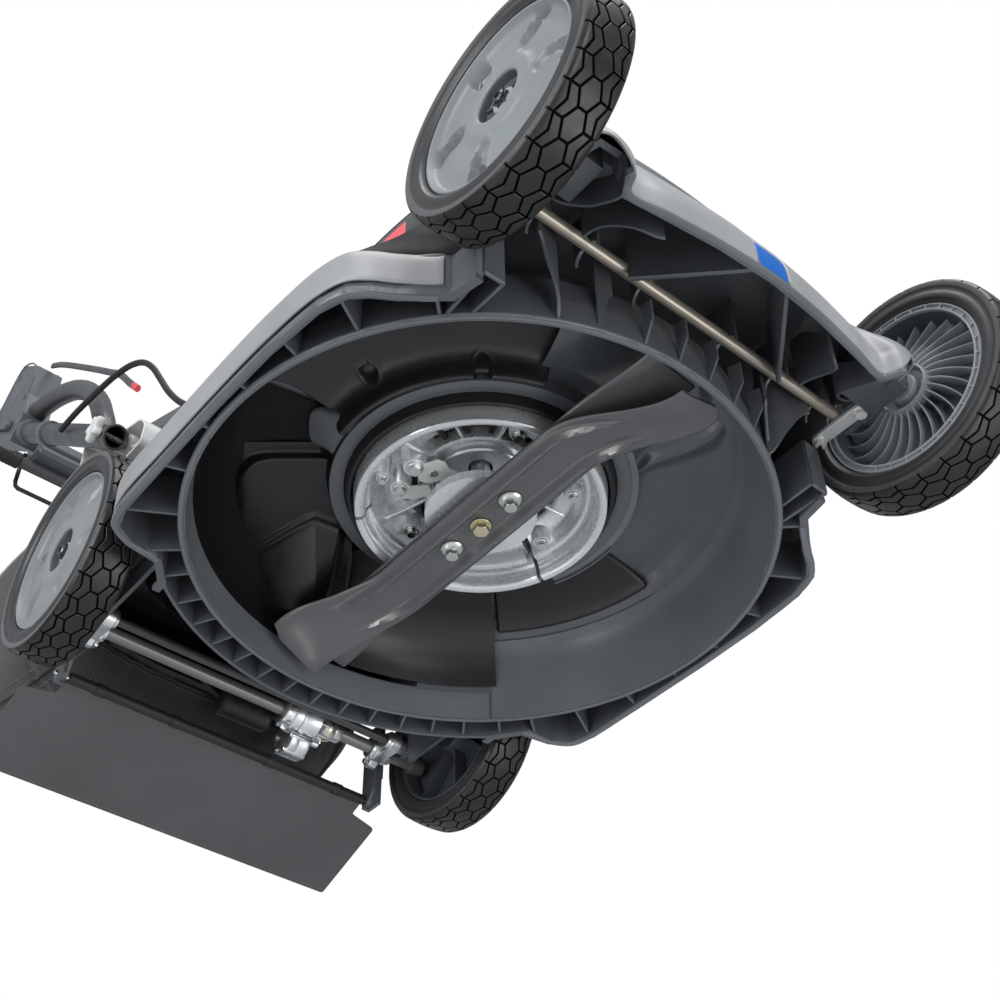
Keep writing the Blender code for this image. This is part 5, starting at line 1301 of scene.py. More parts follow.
def bead(M, line, prof, closed=False, mat=0, inward=1):
    """Closed section (d inwards, z) swept along a plan line; d is measured to the deck's inside."""
    n = len(line)
    k = len(prof)
    V, F = [], []
    for i, (x, y) in enumerate(line):
        a = line[i - 1] if (i or closed) else line[0]
        b = line[(i + 1) % n] if (i < n - 1 or closed) else line[-1]
        t = Vector((b[0] - a[0], b[1] - a[1])).normalized()
        nx, ny = -t.y * inward, t.x * inward
        for d, z in prof:
            V.append((x + nx * d, y + ny * d, z))
    for i in range(n if closed else n - 1):
        p, q = i * k, ((i + 1) % n) * k
        for j in range(k):
            j2 = (j + 1) % k
            F.append((p + j, p + j2, q + j2, q + j))
    if not closed:
        F.append(tuple(reversed(range(k))))
        F.append(tuple(range((n - 1) * k, n * k)))
    if inward < 0:
        F = [tuple(reversed(f)) for f in F]
    M.add(V, F, mat)


# front cover: one smooth skin, with the coloured inlay at its centre between two seams
G_OUT = [(0.0385, inset_by(O0i, -0.0036)), (0.0560, inset_by(O0i, -0.0038)), (0.0750, inset_by(O0i, -0.0036)),
         (0.0865, inset_by(OS, -0.0036)), (0.1215, inset_by(O2, -0.0036)), (0.1576, inset_by(O3, -0.0034))]
SUB, SUBV = 8, 5
GF = skin_grid(G_OUT, -6, 6, SUB, SUBV)


def ear_low(x):
    """Height of the cover's lower edge: it climbs over the ears to the wheel bays."""
    return lerp(0.0566, 0.0885, smoothstep(0.1500, 0.1800, abs(x)))


def lift(G):
    out = []
    for col in G:
        z0 = ear_low(col[0][0])
        zs = [p[2] for p in col]
        new = []
        for k, p in enumerate(col):
            z = lerp(z0, zs[-1], (zs[k] - zs[0]) / (zs[-1] - zs[0]))
            for a, b in zip(col, col[1:]):
                if a[2] <= z <= b[2] + 1e-9:
                    t = (z - a[2]) / max(1e-9, b[2] - a[2])
                    new.append(tuple(lerp(q, r, t) for q, r in zip(a, b)))
                    break
            else:
                new.append(p)
        out.append(new)
    return out


GF = lift(GF)


def front_off(i, j):
    x, y, z = GF[i][j]
    o = 0.0
    for xs in (-0.0215, 0.0145):
        o -= 0.0012 * math.exp(-((x - xs) / 0.0012) ** 2)
    if -0.0215 < x < 0.0145:
        o -= 0.0006
    # the ears swell into rounded fenders
    o += 0.0020 * math.exp(-((abs(x) - 0.171) / 0.012) ** 2) * smoothstep(0.080, 0.100, z) * (1 - smoothstep(0.115, 0.140, z))
    # soft recessed line along the cover, and a faint crown on the ears
    o -= 0.0008 * math.exp(-((z - 0.0835) / 0.0016) ** 2) * smoothstep(0.02, 0.05, abs(x))
    return o


# denser columns around the inlay's seams
def refine(G, xs, w):
    out = [G[0]]
    for a, b in zip(G, G[1:]):
        lo, hi = sorted((a[0][0], b[0][0]))
        if any(lo - w < s < hi + w for s in xs) and abs(a[0][1]) > 0.34:
            k = max(1, int(abs(hi - lo) / 0.0006))
            for q in range(1, k):
                t = q / k
                out.append([tuple(lerp(p[e], r[e], t) for e in range(3)) for p, r in zip(a, b)])
        out.append(b)
    return out


GF = refine(GF, (-0.0215, 0.0145), 0.002)
M = Mesh()
shell(M, GF, 0.0021, matf=lambda i, j: 1 if (-0.0212 < GF[i][j][0] < 0.0142 and GF[i][j][2] < 0.0850) else 0, offs=front_off, edge=0.0007)
M.put("front_cover_detail", [M_TRIM, M_BLUE], "chassis", replaces=("front_cover",), slot="trim_plastic", angle=50)

# side trims: lower skirt in light grey, smooth at the corners
for side, s in (("left", 1), ("right", -1)):
    lv = [(0.0425, inset_by(O0i, -0.0030)), (0.0560, inset_by(O0i, -0.0033)), (0.0745, inset_by(O0i, -0.0031)), (0.0815, inset_by(O0i, -0.0008))]
    G = skin_grid(lv, 9, 20, 7, 3)
    G = [[(min(0.28745, p[0]), p[1], p[2]) for p in c] for c in G[1:]]
    if s < 0:
        G = [[(-x, y, z) for x, y, z in c] for c in G]
    M = Mesh()
    shell(M, G, 0.0024, edge=0.0006)
    M.put("side_trim_%s_detail" % side, M_TRIM, "chassis", replaces=("side_trim_" + side,), slot="trim_plastic", angle=50)
    # moulded shoulder above it, up to the hood's foot, in a near-black copy of the deck plastic as painted shade
    lv = [(0.0805, inset_by(OS, -0.0016)), (0.0870, inset_by([(lerp(a[0], b[0], 0.10), lerp(a[1], b[1], 0.10)) for a, b in zip(OS, O2)], -0.0024)),
          (0.1060, inset_by([(lerp(a[0], b[0], 0.60), lerp(a[1], b[1], 0.60)) for a, b in zip(OS, O2)], -0.0020)),
          (0.1250, inset_by([(lerp(a[0], b[0], 0.11), lerp(a[1], b[1], 0.11)) for a, b in zip(O2, O3)], -0.0020)), (0.1592, inset_by(O3, -0.0012))]
    G = skin_grid(lv, 8, 21, 7, 4)
    if s < 0:
        G = [[(-x, y, z) for x, y, z in c] for c in G]
    M = Mesh()
    shell(M, G, 0.0012, edge=0.0004)
    M.put("deck_shoulder_" + side, M_SIDE, "chassis", slot="deck_plastic", angle=50)

# rounded lip along the skirt, in the deck plastic's lighter copy as a painted highlight
PROF_LIP = [(0.0002, 0.0335), (0.0002, 0.0286), (0.0012, 0.0271), (0.0036, 0.0268), (0.0058, 0.0271), (0.0068, 0.0286), (0.0068, 0.0335), (0.0050, 0.0345), (0.0012, 0.0345)]
M = Mesh()
for a, b in ((-6, 6), (9, 20)):
    ln = run(O0, a, b, 8)
    if a == 9:
        ln = ln[2:]
    ln = [(max(-0.28745, min(0.28745, x)), y) for x, y in ln]
    if a == -6:
        ln = [p for p in ln if abs(p[0]) < 0.1600]
    bead(M, ln, PROF_LIP if a == 9 else [(o, z + 0.0275) for o, z in PROF_LIP])
    if a == 9:
        bead(M, [(-x, y) for x, y in ln], PROF_LIP, inward=-1)
M.put("deck_lip_detail", M_DECK_PAINTED_HIGHLIGHT, "chassis", slot="deck_plastic", angle=40)


def arch_web(M, line, low, top, t, mat=0):
    """Upright wall along a plan line; low(u) and top(u) are its edges' heights, u from 0 to 1."""
    n = len(line)
    V, F = [], []
    e = min(0.0006, t * 0.3)
    for i, (x, y) in enumerate(line):
        a, b = line[max(i - 1, 0)], line[min(i + 1, n - 1)]
        d = Vector((b[0] - a[0], b[1] - a[1])).normalized()
        nx, ny = -d.y, d.x
        u = i / (n - 1)
        z0, z1 = low(u), top(u)
        for o, z in ((-t / 2, z1), (-t / 2, z0 + e), (-t / 2 + e, z0), (t / 2 - e, z0), (t / 2, z0 + e), (t / 2, z1)):
            V.append((x + nx * o, y + ny * o, z))
    for i in range(n - 1):
        for j in range(6):
            j2 = (j + 1) % 6
            F.append((i * 6 + j, i * 6 + j2, (i + 1) * 6 + j2, (i + 1) * 6 + j))
    F.append(tuple(reversed(range(6))))
    F.append(tuple(range((n - 1) * 6, n * 6)))
    M.add(V, F, mat)


def pol(r, deg):
    a = math.radians(deg)
    return (r * math.cos(a), r * math.sin(a))


def seg(p, q, n=10):
    return [(lerp(p[0], q[0], i / n), lerp(p[1], q[1], i / n)) for i in range(n + 1)]


# ribs of the front bay: fins on the ring's wall, curved walls around the shaft, box frames at the wheel bays
M = Mesh()
for k in range(6):
    d = -100.0 + 7.3 * k
    arch_web(M, seg(pol(0.2735, d), pol(0.2850, d + 0.3), 6), lambda u: lerp(0.0330, 0.0560, u), lambda u: 0.0800, 0.0024)
for s in (-1, 1):
    # curved end wall of the bay and the arched wall beside it
    ear = smooth_line([(s * 0.1890, -0.3060), (s * 0.1800, -0.2960), (s * 0.1660, -0.2990), (s * 0.1540, -0.3160), (s * 0.1500, -0.3380), (s * 0.1490, -0.3540)], 8)
    arch_web(M, ear, lambda u: lerp(0.0990, 0.0560, smoothstep(0.2, 1, u)), lambda u: lerp(0.1480, 0.0900, smoothstep(0.15, 0.95, u)), 0.0028)
    hook = smooth_line([(s * 0.1280, -0.2870), (s * 0.1260, -0.3120), (s * 0.1160, -0.3340), (s * 0.0980, -0.3460)], 8)
    arch_web(M, hook, lambda u: lerp(0.0900, 0.0520, smoothstep(0, 1, u)), lambda u: lerp(0.1480, 0.0860, smoothstep(0.15, 0.95, u)), 0.0026)
    arc2 = smooth_line([(s * 0.1210, -0.2460), (s * 0.1300, -0.2560), (s * 0.1460, -0.2620), (s * 0.1600, -0.2700)], 8)
    arch_web(M, arc2, lambda u: lerp(0.0330, 0.0900, smoothstep(0, 1, u)), lambda u: 0.1480, 0.0026)
    # bearing block between the bay and the crank
    BL = Mesh()
    slab(BL, [(-0.3470, 0.0865), (-0.3080, 0.0865), (-0.3060, 0.0880), (-0.3060, 0.1240), (-0.3480, 0.1240)][::1], 0.1600, 0.2040, 0.0010, 0)
    M.add([(s * z, y, w) for (y, w, z) in BL.v], [f if s > 0 else tuple(reversed(f)) for f in BL.f], 0)
    # saddles that hold the shaft
    for x in (0.0480, 0.1120, 0.1660):
        w = seg((s * x, -0.2740 - 0.0150), (s * x, -0.2740 + 0.0130), 16)
        arch_web(M, w, lambda u: 0.0900 + 0.0150 * math.sin(math.pi * u) ** 0.5, lambda u: 0.1480, 0.0032)
    # box frame at the wheel bay: an open pocket with three walls
    fa, fb, fc, fd = (s * 0.1968, -0.2451), (s * 0.1775, -0.2457), (s * 0.1782, -0.2060), (s * 0.1935, -0.1950)
    arch_web(M, seg(fa, fb), lambda u: 0.0310, lambda u: 0.0860, 0.0034)
    arch_web(M, seg(fb, fc), lambda u: 0.0310, lambda u: 0.0860, 0.0030)
    arch_web(M, seg(fd, fa), lambda u: 0.0310, lambda u: 0.0860, 0.0034)
# two long webs from the nose to the shaft, and the upright ones behind it
for ax, bx in ((-0.0708, -0.0176), (0.1092, 0.0162)):
    w = seg((ax, -0.2798), (bx, -0.3688), 24)
    arch_web(M, w, lambda u: lerp(0.0880, 0.0556, u), lambda u: lerp(0.1500, 0.0790, smoothstep(0.30, 1.0, u)), 0.0038)
for p, q in (((0.1075, -0.2640), (0.1290, -0.2395)), ((-0.0760, -0.2640), (-0.0900, -0.2585))):
    arch_web(M, seg(p, q, 12), lambda u: lerp(0.0790, 0.0345, smoothstep(0.0, 1.0, u)), lambda u: 0.1300, 0.0030)
M.put("bay_ribs", M_DECK, "chassis", slot="deck_plastic", angle=40)

# ---------------------------------------------------------------- front hardware
YZ = Matrix(((0, 0, 1, 0), (1, 0, 0, 0), (0, 1, 0, 0), (0, 0, 0, 1)))


def stadium(p, q, ra, rb, n=14):
    """Outline of two circles joined by straight sides, anticlockwise."""
    d = Vector((q[0] - p[0], q[1] - p[1]))
    a = math.atan2(d.y, d.x)
    out = []
    for k in range(n + 1):
        t = a + math.pi / 2 + math.pi * k / n
        out.append((p[0] + ra * math.cos(t), p[1] + ra * math.sin(t)))
    for k in range(n + 1):
        t = a - math.pi / 2 + math.pi * k / n
        out.append((q[0] + rb * math.cos(t), q[1] + rb * math.sin(t)))
    return out


for side, s in (("left", 1), ("right", -1)):
    x = s * 0.1970
    M = Mesh()
    slab(M, stadium((x, -0.2990), (x, -0.2505), 0.0070, 0.0070), 0.0940, 0.0984, 0.0007, 0)
    hex_bolt(M, (x, -0.2990, 0.0944), (0, 0, -1), 0.0058, 0.0046, mat=2, washer=0.0070)
    hex_bolt(M, (x, -0.2505, 0.0944), (0, 0, -1), 0.0058, 0.0046, mat=1, washer=0.0070, turn=0.3)
    V, F = turned_v([(0.0030, 0.0), (0.0078, 0.0), (0.0086, 0.0006), (0.0088, 0.0030), (0.0080, 0.0036), (0.0066, 0.0040), (0.0050, 0.0036), (0.0030, 0.0034)], 40, (s, 0, 0), (s * 0.2046, -0.2760, 0.1050))
    M.add(V, F, 2)
    M.put("front_strap_%s_detail" % side, [M_STRAP, M_BOLT_W, M_BOLT_W], "chassis", replaces=("front_strap_" + side,), slot="plated_steel", angle=34)


def tube(M, pts, r, n=12, mat=0, flat=1.0, up=(0, 0, 1), cap=True, rf=None):
    """Round or flattened tube along points; rf(i) scales the radius."""
    P = [Vector(p) for p in pts]
    ringv = []
    prev = None
    for i, p in enumerate(P):
        t = (P[min(i + 1, len(P) - 1)] - P[max(i - 1, 0)]).normalized()
        if prev is None:
            a = Vector(up).cross(t)
            if a.length < 1e-4:
                a = Vector((1, 0, 0)).cross(t)
            a.normalize()
        else:
            a = (prev - t * prev.dot(t)).normalized()
        prev = a
        b = t.cross(a)
        k = rf(i / (len(P) - 1)) if rf else 1.0
        ringv.append([tuple(p + a * (r * k * math.cos(2 * math.pi * j / n)) + b * (r * k * flat * math.sin(2 * math.pi * j / n))) for j in range(n)])
    V = [p for q in ringv for p in q]
    F = []
    for i in range(len(P) - 1):
        for j in range(n):
            j2 = (j + 1) % n
            F.append((i * n + j, i * n + j2, (i + 1) * n + j2, (i + 1) * n + j))
    if cap:
        F.append(tuple(reversed(range(n))))
        F.append(tuple(range((len(P) - 1) * n, len(P) * n)))
    M.add(V, F, mat)


# ---------------------------------------------------------------- rear: brackets, gearbox, drive, flap
RPY, RPZ, DSY, DSZ = 0.3840, 0.0970, 0.4125, 0.1020


def ring_x(M, at, prof, n=48, mat=0):
    """Closed profile of (r, x) turned about an axis along X through at = (y, z)."""
    V, F = revolve(prof, n, 'X', True)
    M.add([(x, y + at[0], z + at[1]) for x, y, z in V], F, mat)


def boss(x0, x1, r0, r1, e=0.0010):
    """Closed ring section from x0 to x1 with rounded corners."""
    return [(r0, x0 + e * 0.5), (r0 + e * 0.5, x0), (r1 - e, x0), (r1 - e * 0.3, x0 + e * 0.3), (r1, x0 + e), (r1, x1 - e), (r1 - e * 0.3, x1 - e * 0.3), (r1 - e, x1), (r0 + e * 0.5, x1), (r0, x1 - e * 0.5)]


def slab_x(M, outline, x0, x1, bev=0.0008, mat=0):
    """Plate in a plane of constant x; outline is (y, z)."""
    T = Mesh()
    slab(T, outline, min(x0, x1), max(x0, x1), bev, 0)
    M.add([(w, y, z) for (y, z, w) in T.v], T.f, mat)


for side, s in (("left", 1), ("right", -1)):
    M = Mesh()
    xa, xb = s * 0.1760, s * 0.1890
    slab_x(M, stadium((RPY, RPZ), (DSY, DSZ), 0.0118, 0.0140), xa, xb, 0.0012)
    slab_x(M, stadium((DSY, DSZ), (0.4250, 0.0905), 0.0085, 0.0062), xa + s * 0.001, xb - s * 0.001, 0.0012)
    slab_x(M, stadium((DSY, DSZ), (0.4240, 0.1120), 0.0085, 0.0058), xa + s * 0.001, xb - s * 0.001, 0.0012)
    lo, hi = sorted((s * 0.1722, s * 0.1988))
    ring_x(M, (RPY, RPZ), boss(lo, hi, 0.0052, 0.0088))
    lo, hi = sorted((s * 0.1700, s * 0.1992))
    ring_x(M, (DSY, DSZ), boss(lo, hi, 0.0078, 0.0122))
    ring_x(M, (DSY, DSZ), boss(*sorted((s * 0.1740, s * 0.1770)), 0.0078, 0.0148))
    # webs between the bosses, and the lugs' bolts
    for q in range(5):
        a = math.radians(200 + 36 * q)
        cy, cz_ = DSY + 0.0128 * math.cos(a), DSZ + 0.0128 * math.sin(a)
        slab_x(M, stadium((DSY + 0.0100 * math.cos(a), DSZ + 0.0100 * math.sin(a)), (cy, cz_), 0.0012, 0.0012, 4), s * 0.1720, s * 0.1960, 0.0003)
    V, F = turned_v([(0.0001, 0.0), (0.0050, 0.0), (0.0056, 0.0006), (0.0056, 0.0100), (0.0050, 0.0108), (0.0001, 0.0108)], 24, (s, 0, 0), (s * 0.1770, 0.4250, 0.0905))
    M.add(V, F, 0)
    hex_bolt(M, (s * 0.1762, 0.4250, 0.0905), (-s, 0, 0), 0.0034, 0.0030, mat=1, washer=0.0048)
    hex_bolt(M, (s * 0.1762, 0.4240, 0.1120), (-s, 0, 0), 0.0032, 0.0028, mat=1, washer=0.0046)
    M.put("rear_bracket_%s_detail" % side, [M_CAST_W, M_ZINC], "rear_swing", replaces=("rear_bracket_" + side,), slot="cast_aluminium", angle=34)

# gearbox: turned casting with ribs, lobe with bolts, yellow-plated end ring
GBX = Mesh()
ring_x(GBX, (DSY, DSZ), [(0.0082, 0.0500), (0.0140, 0.0500), (0.0160, 0.0512), (0.0168, 0.0530), (0.0168, 0.0560), (0.0192, 0.0590), (0.0215, 0.0606), (0.0222, 0.0630),
                         (0.0224, 0.0700), (0.0216, 0.0712), (0.0216, 0.0736), (0.0224, 0.0748), (0.0224, 0.0930), (0.0214, 0.0944), (0.0190, 0.0952), (0.0176, 0.0970),
                         (0.0160, 0.0990), (0.0154, 0.1040), (0.0150, 0.1150), (0.0138, 0.1168), (0.0122, 0.1176), (0.0119, 0.1268), (0.0112, 0.1279), (0.0082, 0.1279)], 72)
V, F = turned_v([(0.0001, 0.0), (0.0182, 0.0), (0.0200, 0.0008), (0.0204, 0.0022), (0.0204, 0.0095), (0.0198, 0.0105), (0.0198, 0.0125), (0.0204, 0.0135), (0.0204, 0.0228), (0.0198, 0.0244), (0.0180, 0.0250), (0.0001, 0.0250)],
                60, (1, 0, 0), (0.0665, 0.4295, 0.0803))
GBX.add(V, F, 0)
for q in range(9):
    a = math.radians(40 * q + 12)
    cy, cz_ = math.cos(a), math.sin(a)
    slab_x(GBX, stadium((DSY + 0.0130 * cy, DSZ + 0.0130 * cz_), (DSY + 0.0196 * cy, DSZ + 0.0196 * cz_), 0.0011, 0.0011, 4), 0.0950, 0.1080, 0.0004)
    slab_x(GBX, stadium((DSY + 0.0130 * cy, DSZ + 0.0130 * cz_), (DSY + 0.0205 * cy, DSZ + 0.0205 * cz_), 0.0011, 0.0011, 4), 0.0545, 0.0640, 0.0004)
for q in range(4):
    a = math.radians(200 + 62 * q)
    cy, cz_ = 0.4295 + 0.0172 * math.cos(a), 0.0803 + 0.0172 * math.sin(a)
    V, F = turned_v([(0.0001, 0.0), (0.0036, 0.0), (0.0040, 0.0004), (0.0040, 0.0256), (0.0036, 0.0262), (0.0001, 0.0262)], 20, (1, 0, 0), (0.0660, cy, cz_))
    GBX.add(V, F, 0)
    hex_bolt(GBX, (0.0662, cy, cz_), (-1, 0, 0), 0.0026, 0.0022, mat=2)
slab_x(GBX, stadium((0.4205, 0.0895), (0.4215, 0.0815), 0.0048, 0.0040), 0.0945, 0.1055, 0.0008)
ring_x(GBX, (DSY, DSZ), boss(0.1062, 0.1120, 0.0140, 0.0162, 0.0006), 60, 1)
GBX.put("gearbox_housing_detail", [M_CAST_W, M_YELLOW, M_ZINC], "rear_swing", replaces=("gearbox_housing",), slot="cast_aluminium", angle=34)

# drive motor: finned sleeve with an end cap and its leads' strain relief
DM = Mesh()
prof = [(0.0002, 0.0002), (0.0112, 0.0002), (0.0126, 0.0008), (0.0134, 0.0022), (0.0148, 0.0030)]
xq = 0.0046
while xq < 0.0560:
    prof += [(0.0148, xq), (0.0149, xq + 0.0008), (0.0149, xq + 0.0020), (0.0143, xq + 0.0026), (0.0143, xq + 0.0032)]
    xq += 0.0040
prof += [(0.0148, 0.0590), (0.0146, 0.0604), (0.0130, 0.0624), (0.0110, 0.0634), (0.0002, 0.0634)]
V, F = turned_v([(r, h) for r, h in prof], 56, (1, 0, 0), (-0.0140, 0.4405, 0.1000))
DM.add(V, F, 0)
tube(DM, smooth_line([(-0.0130, 0.4440, 0.1080), (-0.0200, 0.4450, 0.1120), (-0.0330, 0.4440, 0.1180), (-0.0450, 0.4400, 0.1300)], 6), 0.0030, 12, mat=1)
DM.put("drive_motor_detail", [M_MATTE, M_MATTE], "rear_swing", replaces=("drive_motor",), slot="deck_plastic", angle=34)

# trailing flap: moulded sheet with a rolled hinge, a fold line and rounded edges
FLA, FLY, FLZ = math.radians(21.0), 0.4445, 0.0530
FLO = [(-0.1870, 0.0045), (0.1870, 0.0045), (0.1870, 0.0220), (0.2235, 0.0300), (0.2235, 0.1368), (-0.2235, 0.1368), (-0.2235, 0.0300), (-0.1870, 0.0220)]


def flap_pt(x, l, o):
    return (x, FLY + math.cos(FLA) * l + math.sin(FLA) * o, FLZ - math.sin(FLA) * l + math.cos(FLA) * o)


def rounded(pts, r, n=5):
    out = []
    m = len(pts)
    for i in range(m):
        a, b, c = Vector(pts[i - 1]), Vector(pts[i]), Vector(pts[(i + 1) % m])
        u, v = (a - b), (c - b)
        d = min(r, u.length * 0.45, v.length * 0.45)
        p, q = b + u.normalized() * d, b + v.normalized() * d
        for k in range(n + 1):
            t = k / n
            out.append(tuple((p * (1 - t) + b * t) * (1 - t) + (b * (1 - t) + q * t) * t))
    return out


FP = Mesh()
T = Mesh()
slab(T, rounded(FLO, 0.0040), -0.0014, 0.0014, 0.0005, 0, inner=[(-0.20 + 0.02 * i, 0.03 + 0.02 * j) for i in range(21) for j in range(5)])
FP.add([flap_pt(x, l, o) for x, l, o in T.v], T.f, 0)
for l0, w_, h_ in ((0.0125, 0.0016, 0.0020), (0.1335, 0.0012, 0.0019)):
    T = Mesh()
    xw = 0.1855 if l0 < 0.02 else 0.2215
    slab(T, [(-xw, l0 - w_), (xw, l0 - w_), (xw, l0 + w_), (-xw, l0 + w_)], -h_, h_, 0.0005, 0)
    FP.add([flap_pt(x, l, o) for x, l, o in T.v], T.f, 0)
V, F = revolve([(0.0027, -0.1868), (0.0050, -0.1868), (0.0057, -0.1860), (0.0058, -0.1850), (0.0058, 0.1850), (0.0057, 0.1860), (0.0050, 0.1868), (0.0027, 0.1868)], 40, 'X', True)
FP.add([(x, y + FLY, z + FLZ) for x, y, z in V], F, 1)
V, F = revolve([(0.0002, -0.2028), (0.0021, -0.2028), (0.0026, -0.2022), (0.0026, 0.2022), (0.0021, 0.2028), (0.0002, 0.2028)], 24, 'X', True)
FP.add([(x, y + FLY, z + FLZ) for x, y, z in V], F, 2)
for sx in (-1, 1):
    # small clips that hold the sheet on its pin
    for xx in (0.060, 0.150):
        V, F = revolve(boss(sx * xx - 0.0060, sx * xx + 0.0060, 0.0030, 0.0068, 0.0008), 32, 'X', True)
        FP.add([(x, y + FLY, z + FLZ) for x, y, z in V], F, 1)
FP.put("rear_flap_detail", [M_FLAP, M_MATTE, M_ZINC], "trailing_flap", replaces=("rear_flap",), slot="rubber", angle=40)
# ears on the deck that carry the flap's pin
for sx, side in ((1, "left"), (-1, "right")):
    M = Mesh()
    slab_x(M, rounded([(0.4290, 0.1120), (0.4290, 0.0640), (0.4370, 0.0500), (0.4400, 0.0465), (0.4490, 0.0465), (0.4520, 0.0500), (0.4520, 0.1120)], 0.0030), sx * 0.1905, sx * 0.1990, 0.0008)
    slab_x(M, rounded([(0.4290, 0.1120), (0.4290, 0.0800), (0.4520, 0.0800), (0.4520, 0.1120)], 0.0020), sx * 0.1990, sx * 0.2034, 0.0006)
    M.put("flap_ear_" + side, M_DECK, "chassis", slot="deck_plastic", angle=40)


# ---------------------------------------------------------------- handle
HPY, HPZ, HXX = 0.310, 0.260, 0.250
HANG = math.atan2(0.340, 0.410)
HDY, HDZ = math.cos(HANG), math.sin(HANG)
HNY, HNZ = -HDZ, HDY


def hp(s, n=0.0):
    return (HPY + HDY * s + HNY * n, HPZ + HDZ * s + HNZ * n)


def along(M, x, s0, prof, n=48, mat=0):
    """Closed profile of (r, s) turned about the handle tube at x."""
    V, F = revolve(prof, n, 'Z', True)
    q = Vector((0, 0, 1)).rotation_difference(Vector((0, HDY, HDZ)))
    y0, z0 = hp(s0)
    out = []
    for p in V:
        w = q @ Vector(p)
        out.append((w.x + x, w.y + y0, w.z + z0))
    M.add(out, [tuple(reversed(f)) for f in F], mat)


def sleeve(L, r0, r1, e=0.0010, waist=0.0):
    P = [(r0, 0.0), (r1 - e, 0.0), (r1 - e * 0.3, e * 0.3), (r1, e)]
    if waist:
        for k in range(1, 8):
            t = k / 8
            P.append((r1 - waist * math.sin(math.pi * t), e + (L - 2 * e) * t))
    P += [(r1, L - e), (r1 - e * 0.3, L - e * 0.3), (r1 - e, L), (r0, L)]
    return P


